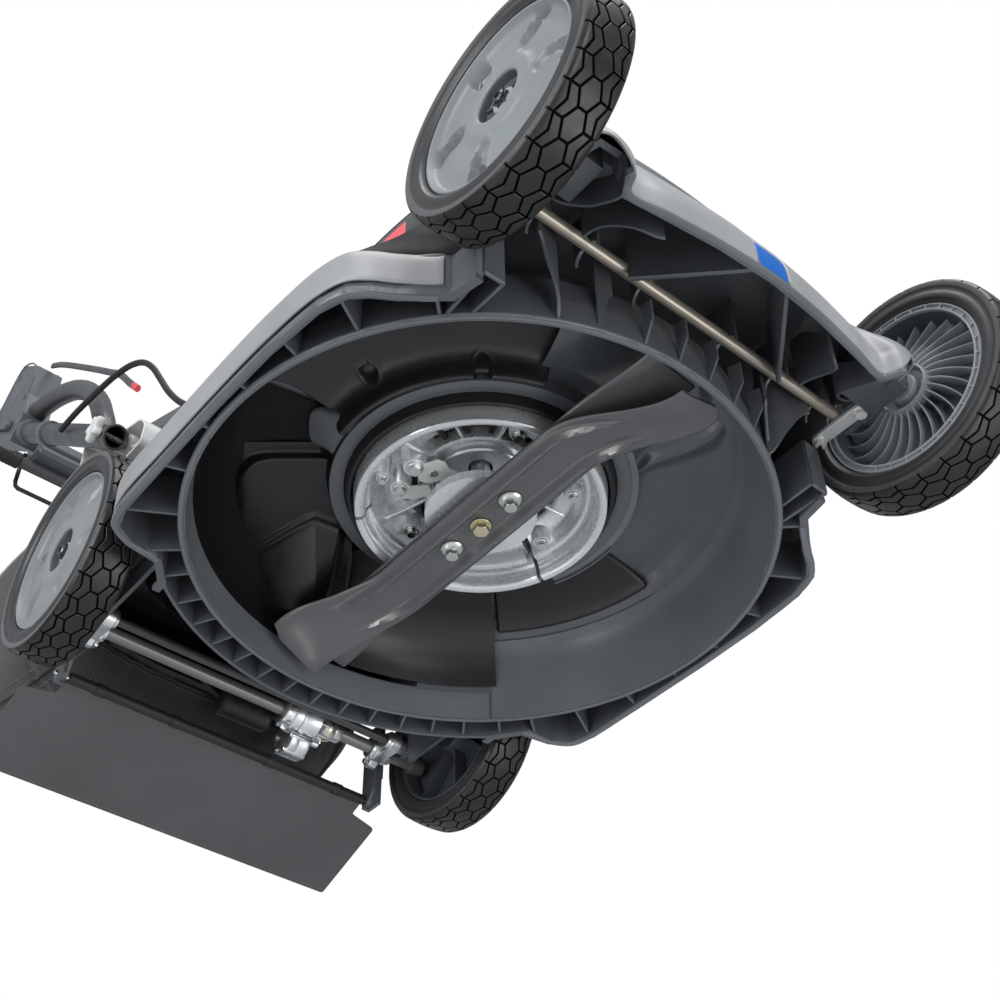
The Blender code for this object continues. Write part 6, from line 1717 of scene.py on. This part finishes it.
BRK = [(0.2720, 0.2340), (0.3700, 0.2340), (0.4250, 0.2560), (0.4330, 0.2900), (0.4330, 0.3560), (0.4180, 0.3640), (0.3940, 0.3400),
       (0.3560, 0.3060), (0.3200, 0.2920), (0.2840, 0.2800), (0.2680, 0.2600)]
for side, s in (("left", 1), ("right", -1)):
    M = Mesh()
    ol = rounded(BRK, 0.0080, 5)
    slab_x(M, inset(ol, 0.0012), s * 0.2050, s * 0.2082, 0.0006)
    # rim flange round the web
    o1, o2 = ol, inset(ol, 0.0028)
    n = len(ol)
    V, F = [], []
    xs = (s * 0.2040, s * 0.2330)
    for (a, b) in zip(o1, o2):
        V += [(xs[0], a[0], a[1]), (xs[1] - s * 0.0006, a[0], a[1]), (xs[1], lerp(a[0], b[0], 0.25), lerp(a[1], b[1], 0.25)), (xs[1], lerp(a[0], b[0], 0.75), lerp(a[1], b[1], 0.75)), (xs[1] - s * 0.0006, b[0], b[1]), (xs[0], b[0], b[1])]
    for i in range(n):
        j = (i + 1) % n
        for k in range(6):
            k2 = (k + 1) % 6
            F.append((i * 6 + k, i * 6 + k2, j * 6 + k2, j * 6 + k))
    if s > 0:
        F = [tuple(reversed(f)) for f in F]
    M.add(V, F, 0)
    # ribs in the web, fanned from the pivot
    for (y1, z1) in ((0.2760, 0.2400), (0.3250, 0.2350), (0.3690, 0.2370), (0.4220, 0.2580), (0.4310, 0.2930), (0.4310, 0.3540), (0.4000, 0.3440), (0.3600, 0.3080)):
        d = Vector((y1 - 0.3300, z1 - 0.2620))
        p0 = Vector((0.3300, 0.2620)) + d.normalized() * 0.0135
        slab_x(M, stadium(tuple(p0), (y1, z1), 0.0012, 0.0012, 3), s * 0.2075, s * 0.2305, 0.0004)
    for (y1, z1, rr) in ((HPY, HPZ, 0.0125), (0.3700, 0.2620, 0.0060), (0.4180, 0.3100, 0.0060), (0.4180, 0.3500, 0.0050)):
        lo, hi = sorted((s * 0.2060, s * 0.2326))
        ring_x(M, (y1, z1), boss(lo, hi, rr * 0.46, rr, 0.0008), 40)
    for (y1, z1) in ((0.3700, 0.2620), (0.4180, 0.3100)):
        hex_bolt(M, (s * 0.2310, y1, z1), (s, 0, 0), 0.0036, 0.0026, mat=1)
    # pivot bolt and its five-lobed knob outside the tube
    V, F = turned_v([(0.0002, 0.0), (0.0040, 0.0), (0.0045, 0.0005), (0.0045, 0.0385), (0.0002, 0.0385)], 24, (s, 0, 0), (s * 0.2303, HPY, HPZ))
    M.add(V, F, 1)

    def lobe(k, ph=0.0):
        return lambda a: k * (0.0128 + 0.0034 * math.cos(5 * a + ph))
    V, F = turned_v([(0.0080, 0.0), (lobe(0.94), 0.0004), (lobe(1.0), 0.0016), (lobe(1.0), 0.0066), (lobe(0.95), 0.0080), (lobe(0.84), 0.0088), (0.0070, 0.0090), (0.0060, 0.0082), (0.0002, 0.0082)],
                    80, (s, 0, 0), (s * 0.2650, HPY, HPZ))
    M.add(V, F, 0)
    M.put("handle_bracket_%s_detail" % side, [M_LIGHT, M_ZINC], "chassis", replaces=("handle_bracket_" + side,), slot="light_plastic", angle=36)

    C = Mesh()
    x = s * HXX
    along(C, x, 0.2560, sleeve(0.0140, 0.0131, 0.0160, 0.0014))
    along(C, x, 0.2720, sleeve(0.0050, 0.0131, 0.0148, 0.0008))
    along(C, x, -0.0170, sleeve(0.0090, 0.0119, 0.0142, 0.0012))
    along(C, x, 0.3560, sleeve(0.0150, 0.0131, 0.0172, 0.0014, 0.0012))
    C.put("tube_collars_" + side, M_DECK, "lower_handle", slot="deck_plastic", angle=36)
    # cast-in seam and screws on the clamp block
    D = Mesh()
    for sg in (-1, 1):
        for (ss, nn) in ((0.4100, 0.0420), (0.4920, 0.0700), (0.4960, 0.0120)):
            y1, z1 = hp(ss, nn)
            V, F = turned_v([(0.0046, 0.0), (0.0046, 0.0006), (0.0040, 0.0010), (0.0020, 0.0010), (0.0018, 0.0003), (0.0002, 0.0003)], 28, (sg, 0, 0), (x + sg * 0.0169, y1, z1))
            D.add(V, F, 1)
        ln = [(x + sg * 0.0171,) + hp(ss, nn) for ss, nn in ((0.3780, 0.0185), (0.3990, 0.0450), (0.4240, 0.0840), (0.5000, 0.0858), (0.5075, 0.0300), (0.5080, 0.0170))]
        tube(D, smooth_line(ln, 8), 0.0011, 8, mat=0)
    D.put("clamp_block_detail_" + side, [M_DECK, M_STAR], "lower_handle", slot="deck_plastic", angle=40)

    # bent bar welded to the tube
    B = Mesh()
    arc = [(x,) + hp(ss, nn) for ss, nn in ((0.0280, -0.0020), (0.0480, 0.0140))]
    for k in range(11):
        t = k / 10
        arc.append((x,) + hp(lerp(0.075, 0.400, t), 0.0262 + 0.0330 * math.sin(math.pi * min(1, t * 1.05)) ** 0.8))
    tube(B, smooth_line(arc, 5), 0.0122, 28)
    B.put("brace_bar_detail_" + side, M_TUBE, "lower_handle", slot="powder_coat", angle=60)

# fold release: flat bar with a red tab
FR = Mesh()
rr = smooth_line([(-HXX,) + hp(ss, nn) for ss, nn in ((0.4250, 0.0972), (0.3800, 0.0975), (0.2000, 0.0860), (0.1400, 0.0812), (0.0850, 0.0765), (0.0300, 0.0650), (-0.0100, 0.0575))], 14)
cutk = int(len(rr) * 0.90)
tube(FR, rr[:cutk + 1], 0.0041, 16, flat=0.55, up=(1, 0, 0), mat=0)
tube(FR, rr[cutk:], 0.0041, 16, flat=0.72, up=(1, 0, 0), mat=1)
FR.put("fold_release_detail", [M_TUBE, M_RED], "fold_release", replaces=("fold_release_rod",), slot="powder_coat", angle=50)

# bowden cable from the handle down to the deck
CAB = [(-0.2680, 0.4200, 0.3475), (-0.2700, 0.3950, 0.3420), (-0.2720, 0.3600, 0.3330), (-0.2730, 0.3200, 0.3230), (-0.2730, 0.2800, 0.3130),
       (-0.2715, 0.2450, 0.3010), (-0.2690, 0.2180, 0.2840), (-0.2660, 0.1980, 0.2610), (-0.2620, 0.1820, 0.2330), (-0.2580, 0.1660, 0.2040),
       (-0.2540, 0.1480, 0.1780), (-0.2500, 0.1290, 0.1560), (-0.2480, 0.1180, 0.1400), (-0.2470, 0.1130, 0.1290)]
cpath = smooth_line(CAB, 6)
CB = Mesh()
tube(CB, cpath, 0.0033, 16, mat=0)
cable = CB.put("handle_cable_detail", [M_MATTE], "chassis", replaces=("handle_cable",), slot="black_plastic", angle=60)
FE = Mesh()
# ferrule where it enters the deck
d0 = (Vector(cpath[-2]) - Vector(cpath[-1])).normalized()
V, F = turned_v([(0.0036, -0.0010), (0.0056, -0.0010), (0.0060, -0.0004), (0.0060, 0.0040), (0.0052, 0.0052), (0.0046, 0.0100), (0.0040, 0.0108), (0.0036, 0.0108)], 28, tuple(d0), tuple(cpath[-1]))
FE.add(V, F, 0)
FE.put("cable_ferrule", M_BLACK, "chassis", slot="black_plastic", angle=40)

# grips on the bar, with fine rings
GR_ = Mesh()
for x0, x1 in ((-0.1950, -0.0720), (0.0720, 0.1950)):
    prof = [(0.0112, x0), (0.0138, x0), (0.0148, x0 + 0.0008), (0.0150, x0 + 0.0020)]
    xq = x0 + 0.0060
    while xq < x1 - 0.0070:
        prof += [(0.0150, xq), (0.0146, xq + 0.0010), (0.0146, xq + 0.0020), (0.0150, xq + 0.0030)]
        xq += 0.0062
    prof += [(0.0150, x1 - 0.0020), (0.0148, x1 - 0.0008), (0.0138, x1), (0.0112, x1)]
    V, F = revolve(prof, 48, 'X', True)
    GR_.add([(x, y + 1.205, z + 1.030) for x, y, z in V], F, 0)
GR_.put("bar_grips", M_MATTE, "handle_top", slot="black_plastic", angle=50)

# control box: lid seam, screws, dial with a knurl and a pointer, ring round the button
CX = Mesh()
slab(CX, rounded([(-0.0500, 1.1740), (0.0500, 1.1740), (0.0500, 1.2280), (-0.0500, 1.2280)], 0.0080), 1.0856, 1.0872, 0.0006, 0)
# ring round the button in the deck plastic's lighter copy: painted highlight
V, F = turned_v([(0.0104, 0.0), (0.0136, 0.0), (0.0140, 0.0005), (0.0138, 0.0012), (0.0128, 0.0016), (0.0108, 0.0015), (0.0104, 0.0012)], 48, (0, 0, 1), (0.026, 1.1960, 1.0868))
CX.add(V, F, 1)
for x_, y_ in ((-0.0455, 1.1785), (0.0455, 1.1785), (-0.0455, 1.2235), (0.0455, 1.2235)):
    hex_bolt(CX, (x_, y_, 1.0870), (0, 0, 1), 0.0018, 0.0010, mat=2)
CX.put("control_lid", [M_BLACK, M_DECK_PAINTED_HIGHLIGHT, M_STAR], "handle_top", slot="deck_plastic", angle=40)
DI = Mesh()


def knurl(k):
    return lambda a: k * (1 + 0.030 * math.cos(24 * a))


V, F = turned_v([(0.0002, 0.0), (0.0148, 0.0), (knurl(0.0146), 0.0008), (knurl(0.0143), 0.0090), (0.0128, 0.0118), (0.0110, 0.0124), (0.0090, 0.0119), (0.0002, 0.0119)], 144, (0, 0, 1), (-0.0240, 1.2000, 1.0873))
DI.add(V, F, 0)
slab(DI, stadium((-0.0240, 1.2030), (-0.0240, 1.2110), 0.0010, 0.0010, 6), 1.0988, 1.0998, 0.0003, 1)
DI.put("speed_dial_detail", [M_BLACK, M_LIGHT], "dial", replaces=("speed_dial",), slot="black_plastic", angle=40)

# ---------------------------------------------------------------- grass bag: sewn fabric over a wire frame
def fabric(name, rgb, weave=900.0, tilt=0.0, open_weave=0.0, rough=0.85):
    """Woven cloth: two crossed thread waves, slub and dust."""
    m, t, b, co = base_nodes(name)
    mp = t.nodes.new("ShaderNodeMapping")
    mp.inputs["Rotation"].default_value = (tilt, tilt, tilt)
    t.links.new(co, mp.inputs["Vector"])
    c = lin(rgb)
    big = noise(t, mp.outputs["Vector"], 7.0, 4.0, 0.6)
    col = ramp(t, big, [(0.28, scale_rgb(c, 0.80)), (0.52, c), (0.78, scale_rgb(c, 1.18))])
    waves = []
    for d in ('X', 'Z', 'Y'):
        w = t.nodes.new("ShaderNodeTexWave")
        w.wave_type, w.bands_direction, w.wave_profile = 'BANDS', d, 'SIN'
        w.inputs["Scale"].default_value = weave / 6.0
        w.inputs["Distortion"].default_value = 0.35
        w.inputs["Detail"].default_value = 1.0
        t.links.new(mp.outputs["Vector"], w.inputs["Vector"])
        waves.append(w.outputs["Fac"])
    a = t.nodes.new("ShaderNodeMath")
    a.operation = 'ADD'
    t.links.new(waves[0], a.inputs[0])
    t.links.new(waves[1], a.inputs[1])
    a2 = t.nodes.new("ShaderNodeMath")
    a2.operation = 'ADD'
    t.links.new(a.outputs[0], a2.inputs[0])
    t.links.new(waves[2], a2.inputs[1])
    dark = t.nodes.new("ShaderNodeMix")
    dark.data_type = 'RGBA'
    dark.blend_type = 'MULTIPLY'
    dark.inputs[0].default_value = 0.45 + open_weave
    t.links.new(col, dark.inputs[6])
    t.links.new(ramp(t, a2.outputs[0], [(0.25, (0.35, 0.35, 0.35)), (0.75, (1, 1, 1))]), dark.inputs[7])
    t.links.new(dark.outputs[2], b.inputs["Base Color"])
    b.inputs["Roughness"].default_value = rough
    b.inputs["Sheen Weight"].default_value = 0.25
    bump(t, b, a2.outputs[0], 0.5, 0.0006)
    return m


M_CLOTH = fabric("bag_cloth", (58, 58, 60), 1500.0)
M_MESHCLOTH = fabric("bag_mesh", (44, 44, 45), 900.0, tilt=0.785, open_weave=0.30)
M_BEIGE = fabric("bag_band", (150, 149, 145), 1300.0)
M_PIPING = fabric("bag_piping", (30, 30, 31), 2400.0)
M_THREAD = plastic("seam_thread", (120, 120, 118), 0.6)

BAG = [(0.4650, 0.120, 0.392, 0.1900), (0.5000, 0.108, 0.402, 0.2000), (0.5600, 0.104, 0.410, 0.2080), (0.6400, 0.120, 0.412, 0.2120),
       (0.7400, 0.150, 0.416, 0.2100), (0.8400, 0.195, 0.414, 0.2040), (0.9100, 0.236, 0.404, 0.1900), (0.9450, 0.268, 0.384, 0.1600)]
BAG_L = smooth_line([tuple(b) for b in BAG], 14)
BAG_L = [(b[0] if b[0] < 0.9448 else 0.9448,) + tuple(b[1:]) for b in BAG_L]
NA = 176


def fold_noise(a, y):
    """Soft creases of hanging cloth, strongest in the middle of each panel."""
    v = math.sin(3 * a + 17 * y) * 0.45 + math.sin(7 * a - 31 * y + 0.7) * 0.30 + math.sin(5 * a + 52 * y + 2.1) * 0.25
    return v


def bag_point(y, zb, zt, w, k, d=0.0, soft=True):
    a = 2 * math.pi * (k + 0.5) / NA
    c, s = math.cos(a), math.sin(a)
    e = 0.42
    hw, hz, cz = w, (zt - zb) / 2, (zt + zb) / 2
    ux, uz = math.copysign(abs(c) ** e, c), math.copysign(abs(s) ** e, s)
    x, z = hw * ux, cz + hz * uz
    t = (y - 0.465) / 0.48
    mid = math.sin(math.pi * min(1.0, max(0.0, t)))
    nx, nz = c, s
    nl = math.hypot(nx, nz)
    nx, nz = nx / nl, nz / nl
    o = -d
    if soft:
        # panels draw in between the frame's wires and the floor sags
        side = smoothstep(0.80, 0.99, abs(ux)) * (1 - abs(uz) ** 3)
        floor_ = smoothstep(0.80, 0.99, -uz) * (1 - abs(ux) ** 4)
        top = smoothstep(0.80, 0.99, uz) * (1 - abs(ux) ** 4)
        o += -0.0075 * side * mid + 0.0060 * floor_ * mid ** 0.7 - 0.0035 * top * mid
        o += (0.0016 + 0.0012 * floor_) * fold_noise(a, y) * mid ** 0.4
        # gathers near the mouth and the rear seam
        o += 0.0011 * math.sin(46 * a) * (math.exp(-((y - 0.470) / 0.012) ** 2) + math.exp(-((y - 0.935) / 0.014) ** 2))
        # cross seams pull in
        for ys in (0.560, 0.760):
            o -= 0.0022 * math.exp(-((y - ys) / 0.0035) ** 2)
    return (x + nx * o, y, z + nz * o)


def bag_mat(k, y):
    a = 2 * math.pi * (k + 0.5) / NA
    s, c = math.sin(a), math.cos(a)
    if s < -0.30:
        return 1
    if abs(c) > 0.55 and s < 0.30:
        return 1
    if abs(c) > 0.50:
        return 2 if 0.30 <= s < 0.62 else 0
    return 0


rows = []
for (y, zb, zt, w) in BAG_L:
    rows.append([bag_point(y, zb, zt, w, k) for k in range(NA)])
nrow = len(rows)
last = BAG_L[-1]
cz = (last[1] + last[2]) / 2
for sc, dy in ((0.975, 0.0002), (0.92, 0.0002), (0.80, -0.0016), (0.62, -0.0040), (0.42, -0.0056), (0.22, -0.0064), (0.06, -0.0066)):
    rows.append([((p[0]) * sc, last[0] + dy + 0.0010 * fold_noise(2 * math.pi * k / NA, sc) * (1 - sc), cz + (p[2] - cz) * sc) for k, p in enumerate(rows[nrow - 1])])
V, F, MI = [], [], []
V += [p for r in rows for p in r]
nout = len(V)
inn = []
for (y, zb, zt, w) in BAG_L:
    inn.append([bag_point(y, zb, zt, w, k, d=0.0016) for k in range(NA)])
for sc, dy in ((0.975, -0.0016), (0.92, -0.0018), (0.80, -0.0034), (0.62, -0.0058), (0.42, -0.0074), (0.22, -0.0082), (0.06, -0.0084)):
    inn.append([((p[0]) * sc, last[0] + dy, cz + (p[2] - cz) * sc) for p in inn[nrow - 1]])
V += [p for r in inn for p in r]
R = len(rows)
for i in range(R - 1):
    for k in range(NA):
        k2 = (k + 1) % NA
        F.append((i * NA + k, (i + 1) * NA + k, (i + 1) * NA + k2, i * NA + k2))
        MI.append(bag_mat(k, rows[i][k][1]) if i < nrow - 1 else 0)
        F.append((nout + i * NA + k, nout + i * NA + k2, nout + (i + 1) * NA + k2, nout + (i + 1) * NA + k))
        MI.append(MI[-1])
for k in range(NA):
    k2 = (k + 1) % NA
    F.append((k, k2, nout + k2, nout + k))
    MI.append(0)
F.append(tuple((R - 1) * NA + k for k in reversed(range(NA))))
MI.append(0)
F.append(tuple(nout + (R - 1) * NA + k for k in range(NA)))
MI.append(0)
b2 = bmesh.new()
vs = [b2.verts.new(p) for p in V]
for f, mi in zip(F, MI):
    q = b2.faces.new([vs[i] for i in f])
    q.material_index = mi
bmesh.ops.recalc_face_normals(b2, faces=b2.faces)
b2.verts.index_update()
V = [tuple(v.co) for v in b2.verts]
F = [tuple(v.index for v in f.verts) for f in b2.faces]
MI = [f.material_index for f in b2.faces]
b2.free()
put("grass_bag_cloth", V, F, [M_CLOTH, M_MESHCLOTH, M_BEIGE], "chassis", idx=MI, replaces=["grass_bag"], slot="bag_fabric", angle=70)


# piping along the four long edges and round the rear, with a stitch row beside it
PI = Mesh()
for ka in (0.125, 0.375, 0.625, 0.875):
    k = int(ka * NA)
    tube(PI, [bag_point(*b, k, d=-0.0008) for b in BAG_L], 0.0026, 10)
tube(PI, [bag_point(*BAG_L[-2], k, d=-0.0004) for k in list(range(NA)) + [0, 1]], 0.0026, 10, cap=False)
tube(PI, [bag_point(*BAG_L[1], k, d=-0.0002) for k in list(range(NA)) + [0, 1]], 0.0024, 10, cap=False)
for ks in (0.125, 0.375, 0.625, 0.875):
    k = int(ks * NA)
    for off in (-3, 3):
        for i in range(2, len(BAG_L) - 3, 1):
            a, b = Vector(bag_point(*BAG_L[i], k + off, d=-0.0004)), Vector(bag_point(*BAG_L[i + 1], k + off, d=-0.0004))
            tube(PI, [a.lerp(b, 0.15), a.lerp(b, 0.5), a.lerp(b, 0.85)], 0.00045, 6, mat=1)
PI.put("grass_bag_seams", [M_PIPING, M_THREAD], "chassis", slot="bag_fabric", angle=60)

# carrying handle on top: moulded grip on a webbing base
H = Mesh()
grip = smooth_line([(0, 0.6600, 0.4080), (0, 0.6620, 0.4290), (0, 0.6730, 0.4430), (0, 0.6920, 0.4505), (0, 0.7300, 0.4530), (0, 0.7700, 0.4530), (0, 0.7990, 0.4495),
                    (0, 0.8150, 0.4390), (0, 0.8195, 0.4100)], 8)
tube(H, grip, 0.0102, 20, flat=0.72, up=(1, 0, 0), rf=lambda t: 1.0 + 0.22 * (1 - smoothstep(0.0, 0.16, t)) + 0.22 * smoothstep(0.84, 1.0, t) - 0.05 * math.cos(t * 60) * smoothstep(0.28, 0.34, t) * (1 - smoothstep(0.66, 0.72, t)))
for yy in (0.660, 0.8195):
    slab(H, [(0.024 * math.cos(2 * math.pi * q / 40) , yy + 0.020 * math.sin(2 * math.pi * q / 40)) for q in range(40)], 0.4085, 0.4145, 0.0012, 0)
H.put("bag_handle_grip", M_BLACK, "chassis", slot="black_plastic", angle=50)


# ---------------------------------------------------------------- hood, battery door and their details
from mathutils.bvhtree import BVHTree

HOOD_HALF = [(0, -0.330), (0.060, -0.328), (0.110, -0.323), (0.150, -0.313), (0.176, -0.292), (0.190, -0.255), (0.200, -0.190), (0.2085, -0.130),
             (0.2115, -0.060), (0.2115, 0.010), (0.210, 0.080), (0.2070, 0.140), (0.2030, 0.180), (0.198, 0.193)]
HOOD_Z = [(0.1585, 1.0, 1.0), (0.185, 0.985, 0.985), (0.222, 0.940, 0.940), (0.258, 0.850, 0.870), (0.285, 0.740, 0.770), (0.303, 0.580, 0.640)]


def chaikin(pts, times):
    for _ in range(times):
        out = [pts[0]]
        for a, b in zip(pts, pts[1:]):
            out += [(lerp(a[0], b[0], 0.25), lerp(a[1], b[1], 0.25)), (lerp(a[0], b[0], 0.75), lerp(a[1], b[1], 0.75))]
        pts = out + [pts[-1]]
    return pts


def level(z):
    """Scale of the hood's outline at a height, as a smooth curve through the levels."""
    L = HOOD_Z + [(0.311, 0.42, 0.50)]
    for i in range(len(L) - 1):
        if z <= L[i + 1][0] + 1e-9:
            t = (z - L[i][0]) / (L[i + 1][0] - L[i][0])
            out = []
            for k in (1, 2):
                p1, p2 = L[i][k], L[i + 1][k]
                h = L[i + 1][0] - L[i][0]
                m1 = (p2 - L[i - 1][k]) / (L[i + 1][0] - L[i - 1][0]) * h if i > 0 else (p2 - p1) * 0.8
                m2 = (L[i + 2][k] - p1) / (L[i + 2][0] - L[i][0]) * h if i + 2 < len(L) else (p2 - p1) * 1.4
                out.append((2 * t ** 3 - 3 * t * t + 1) * p1 + (t ** 3 - 2 * t * t + t) * m1 + (3 * t * t - 2 * t ** 3) * p2 + (t ** 3 - t * t) * m2)
            return out
    return [L[-1][1], L[-1][2]]


half = chaikin([(-x, y) for x, y in reversed(HOOD_HALF)] + HOOD_HALF[1:], 3)
ZL = [0.1585 + 0.0045 * k for k in range(28)] + [0.2845, 0.2880, 0.2915, 0.2948, 0.2978, 0.3003, 0.3025, 0.3044, 0.3062, 0.3078, 0.3092, 0.3102, 0.3109]
RW = []
for z in ZL:
    sx, sy = level(z)
    RW.append([(x * sx, (-0.05 + (y + 0.05) * sy) if y < 0.1925 else y, z) for x, y in half])
for k in (0.90, 0.75, 0.55, 0.35, 0.15, 0.01):
    RW.append([(x * k, 0.02 + (y - 0.02) * k, 0.3109 + 0.0001 * (1 - k * k)) for x, y, z in RW[len(ZL) - 1]])
HB = bmesh.new()
gv = [[HB.verts.new((x, y + YS, z)) for x, y, z in r] for r in RW]
nc = len(gv[0])
for i in range(len(gv) - 1):
    for j in range(nc):
        j2 = (j + 1) % nc
        HB.faces.new((gv[i][j], gv[i][j2], gv[i + 1][j2], gv[i + 1][j]))
HB.faces.new([gv[-1][j] for j in range(nc)])
bmesh.ops.recalc_face_normals(HB, faces=HB.faces)
if sum(f.normal.z * f.calc_area() for f in HB.faces if f.calc_center_median().z > 0.30) < 0:
    bmesh.ops.reverse_faces(HB, faces=HB.faces)
TOP = BVHTree.FromBMesh(HB)


def part_of_hood(name, hx, y0, y1, inside, mat, body, rep):
    b = HB.copy()
    for co, no in (((hx, 0, 0), (1, 0, 0)), ((-hx, 0, 0), (1, 0, 0)), ((0, y0 + YS, 0), (0, 1, 0)), ((0, y1 + YS, 0), (0, 1, 0))):
        bmesh.ops.bisect_plane(b, geom=list(b.verts) + list(b.edges) + list(b.faces), plane_co=co, plane_no=no, dist=1e-6)
    drop = []
    for f in b.faces:
        c = f.calc_center_median()
        is_in = abs(c.x) < hx and y0 + YS < c.y < y1 + YS and c.z > 0.262
        if is_in != inside:
            drop.append(f)
    bmesh.ops.delete(b, geom=drop, context='FACES')
    me = bpy.data.meshes.new(name)
    b.to_mesh(me)
    b.free()
    me.materials.append(mat)
    me.shade_smooth()
    me.set_sharp_from_angle(angle=math.radians(44))
    ob = bpy.data.objects.new(name, me)
    SC.collection.objects.link(ob)
    sol = ob.modifiers.new("wall", 'SOLIDIFY')
    sol.thickness, sol.offset, sol.use_rim = 0.0028, -1.0, True
    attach(ob, body)
    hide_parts(rep)
    return ob


part_of_hood("top_hood_skin", 0.0980, -0.2050, 0.0850, False, M_HOOD, "chassis", "top_hood")
part_of_hood("battery_door_skin", 0.0973, -0.2043, 0.0843, True, M_DECK, "battery_lid", "battery_door")


def hood_x(y, z):
    """Half width of the hood at a place along it and a height."""
    hit = TOP.ray_cast(Vector((0.50, y + YS, z)), Vector((-1, 0, 0)))
    return hit[0].x if hit[0] is not None else 0.2


def top_z(x, y):
    hit = TOP.ray_cast(Vector((x, y + YS, 0.60)), Vector((0, 0, -1)))
    return hit[0].z if hit[0] is not None else 0.26


def drape(M, cx, cy, hw, hh, p, off, sink, mat=0, rings=9, m=64):
    """Rounded pad that follows the hood's top, off proud of it at its middle."""
    V, F = [], []
    for k in range(rings + 1):
        rho = (k + 0.02) / rings
        for i in range(m):
            a = 2 * math.pi * i / m
            c, s = math.cos(a), math.sin(a)
            x = cx + hw * min(1.0, rho) * math.copysign(abs(c) ** (2 / p), c)
            y = cy + hh * min(1.0, rho) * math.copysign(abs(s) ** (2 / p), s)
            V.append((x, y, top_z(x, y) + off * (1 - min(1.0, rho) ** 9)))
    base = len(V)
    for i in range(m):
        x, y, z = V[rings * m + i]
        V.append((x, y, z - sink))
    for k in range(rings):
        for i in range(m):
            j = (i + 1) % m
            F.append((k * m + i, k * m + j, (k + 1) * m + j, (k + 1) * m + i))
    for i in range(m):
        j = (i + 1) % m
        F.append((rings * m + i, rings * m + j, base + j, base + i))
    F.append(tuple(range(m)))
    F.append(tuple(base + i for i in reversed(range(m))))
    M.add(V, F, mat)


HA = Mesh()
for s in (-1, 1):
    # coloured accent low on the hood's side
    NU, NVV = 60, 6
    for sgn in (1,):
        G = []
        for i in range(NU + 1):
            u = i / NU
            col = []
            for j in range(NVV + 1):
                v = j / NVV
                z = lerp(0.1605, lerp(0.2060, 0.1700, smoothstep(0.0, 1.0, u)), v)
                y = lerp(-0.1520 + 0.012 * v, 0.0700, u)
                col.append((y, z))
            G.append(col)
        V, F = [], []
        for lay, o in ((0, 0.0010), (1, -0.0006)):
            for col in G:
                for j, (y, z) in enumerate(col):
                    e = 0.0006 if j in (0, NVV) else 0.0
                    V.append((s * (hood_x(y, z) + (o - e if lay == 0 else o)), y, z))
        K = NVV + 1
        off = (NU + 1) * K
        for i in range(NU):
            for j in range(NVV):
                a, b = i * K + j, (i + 1) * K + j
                F.append((a, b, b + 1, a + 1))
                F.append((off + a, off + a + 1, off + b + 1, off + b))
            F.append((i * K, off + i * K, off + (i + 1) * K, (i + 1) * K))
            F.append((i * K + NVV, (i + 1) * K + NVV, off + (i + 1) * K + NVV, off + i * K + NVV))
        for j in range(NVV):
            F.append((j, j + 1, off + j + 1, off + j))
            F.append((NU * K + j, off + NU * K + j, off + NU * K + j + 1, NU * K + j + 1))
        HA.add(V, F, 0)
    # cooling slots behind it
    for q in range(11):
        y = 0.0400 + 0.0118 * q
        ln = [(s * (hood_x(y, z) - 0.0002), y, z) for z in [0.1960 + 0.0052 * k for k in range(9)]]
        tube(HA, ln, 0.0028, 12, mat=1, flat=0.42, up=(0, 1, 0))
        ln = [(s * (hood_x(y + 0.0046, z) + 0.0003), y + 0.0046, z) for z in [0.1930 + 0.0058 * k for k in range(9)]]
        tube(HA, ln, 0.0016, 10, mat=2)
    # parting line along the hood
    ln = [(s * (hood_x(y, 0.2300) + 0.0001), y, 0.2300) for y in [-0.2400 + 0.0100 * k for k in range(42)]]
    tube(HA, ln, 0.0010, 8, mat=1)
HA.put("hood_side_details", [M_RED, M_MATTE, M_DECK_IN], "chassis", slot="trim_plastic", angle=50)

# seam round the battery door, and the hood's screws
SM = Mesh()
loop = rounded([(-0.0977, -0.2047), (0.0977, -0.2047), (0.0977, 0.0847), (-0.0977, 0.0847)], 0.0030, 4)
loop = densify(loop, 0.006)
ln = [(x, y, top_z(x * 1.006, y * 1.0) + 0.0002) for x, y in loop]
tube(SM, ln + [ln[0], ln[1]], 0.0011, 8, mat=0, cap=False)
for x, y in ((-0.1250, -0.1800), (0.1250, -0.1800), (-0.1300, 0.1200), (0.1300, 0.1200), (0.0, 0.1500)):
    z = top_z(x, y)
    V, F = turned_v([(0.0052, -0.0020), (0.0052, 0.0006), (0.0046, 0.0011), (0.0034, 0.0012), (0.0030, 0.0004), (0.0002, 0.0004)], 32, (x * 1.6, 0.0, 1.0), (x, y, z - 0.0001))
    SM.add(V, F, 1)
SM.put("hood_seams", [M_MATTE, M_STAR], "chassis", slot="black_plastic", angle=50)

# battery door: raised panel and finger grip
BD = Mesh()
drape(BD, 0.0, -0.0500, 0.0780, 0.1080, 5.0, 0.0012, 0.0020, 0, 14, 96)
drape(BD, 0.0, -0.1780, 0.0340, 0.0120, 4.0, 0.0032, 0.0030, 1, 8, 64)
for q in range(5):
    y = -0.1840 + 0.0030 * q
    ln = [(x, y, top_z(x, y) + 0.0034) for x in [-0.0260 + 0.0052 * k for k in range(11)]]
    tube(BD, ln, 0.0008, 8, mat=1)
BD.put("battery_door_details", [M_DECK, M_BLACK], "battery_lid", slot="deck_plastic", angle=50)

# ---------------------------------------------------------------- update the view layer
bpy.context.view_layer.update()
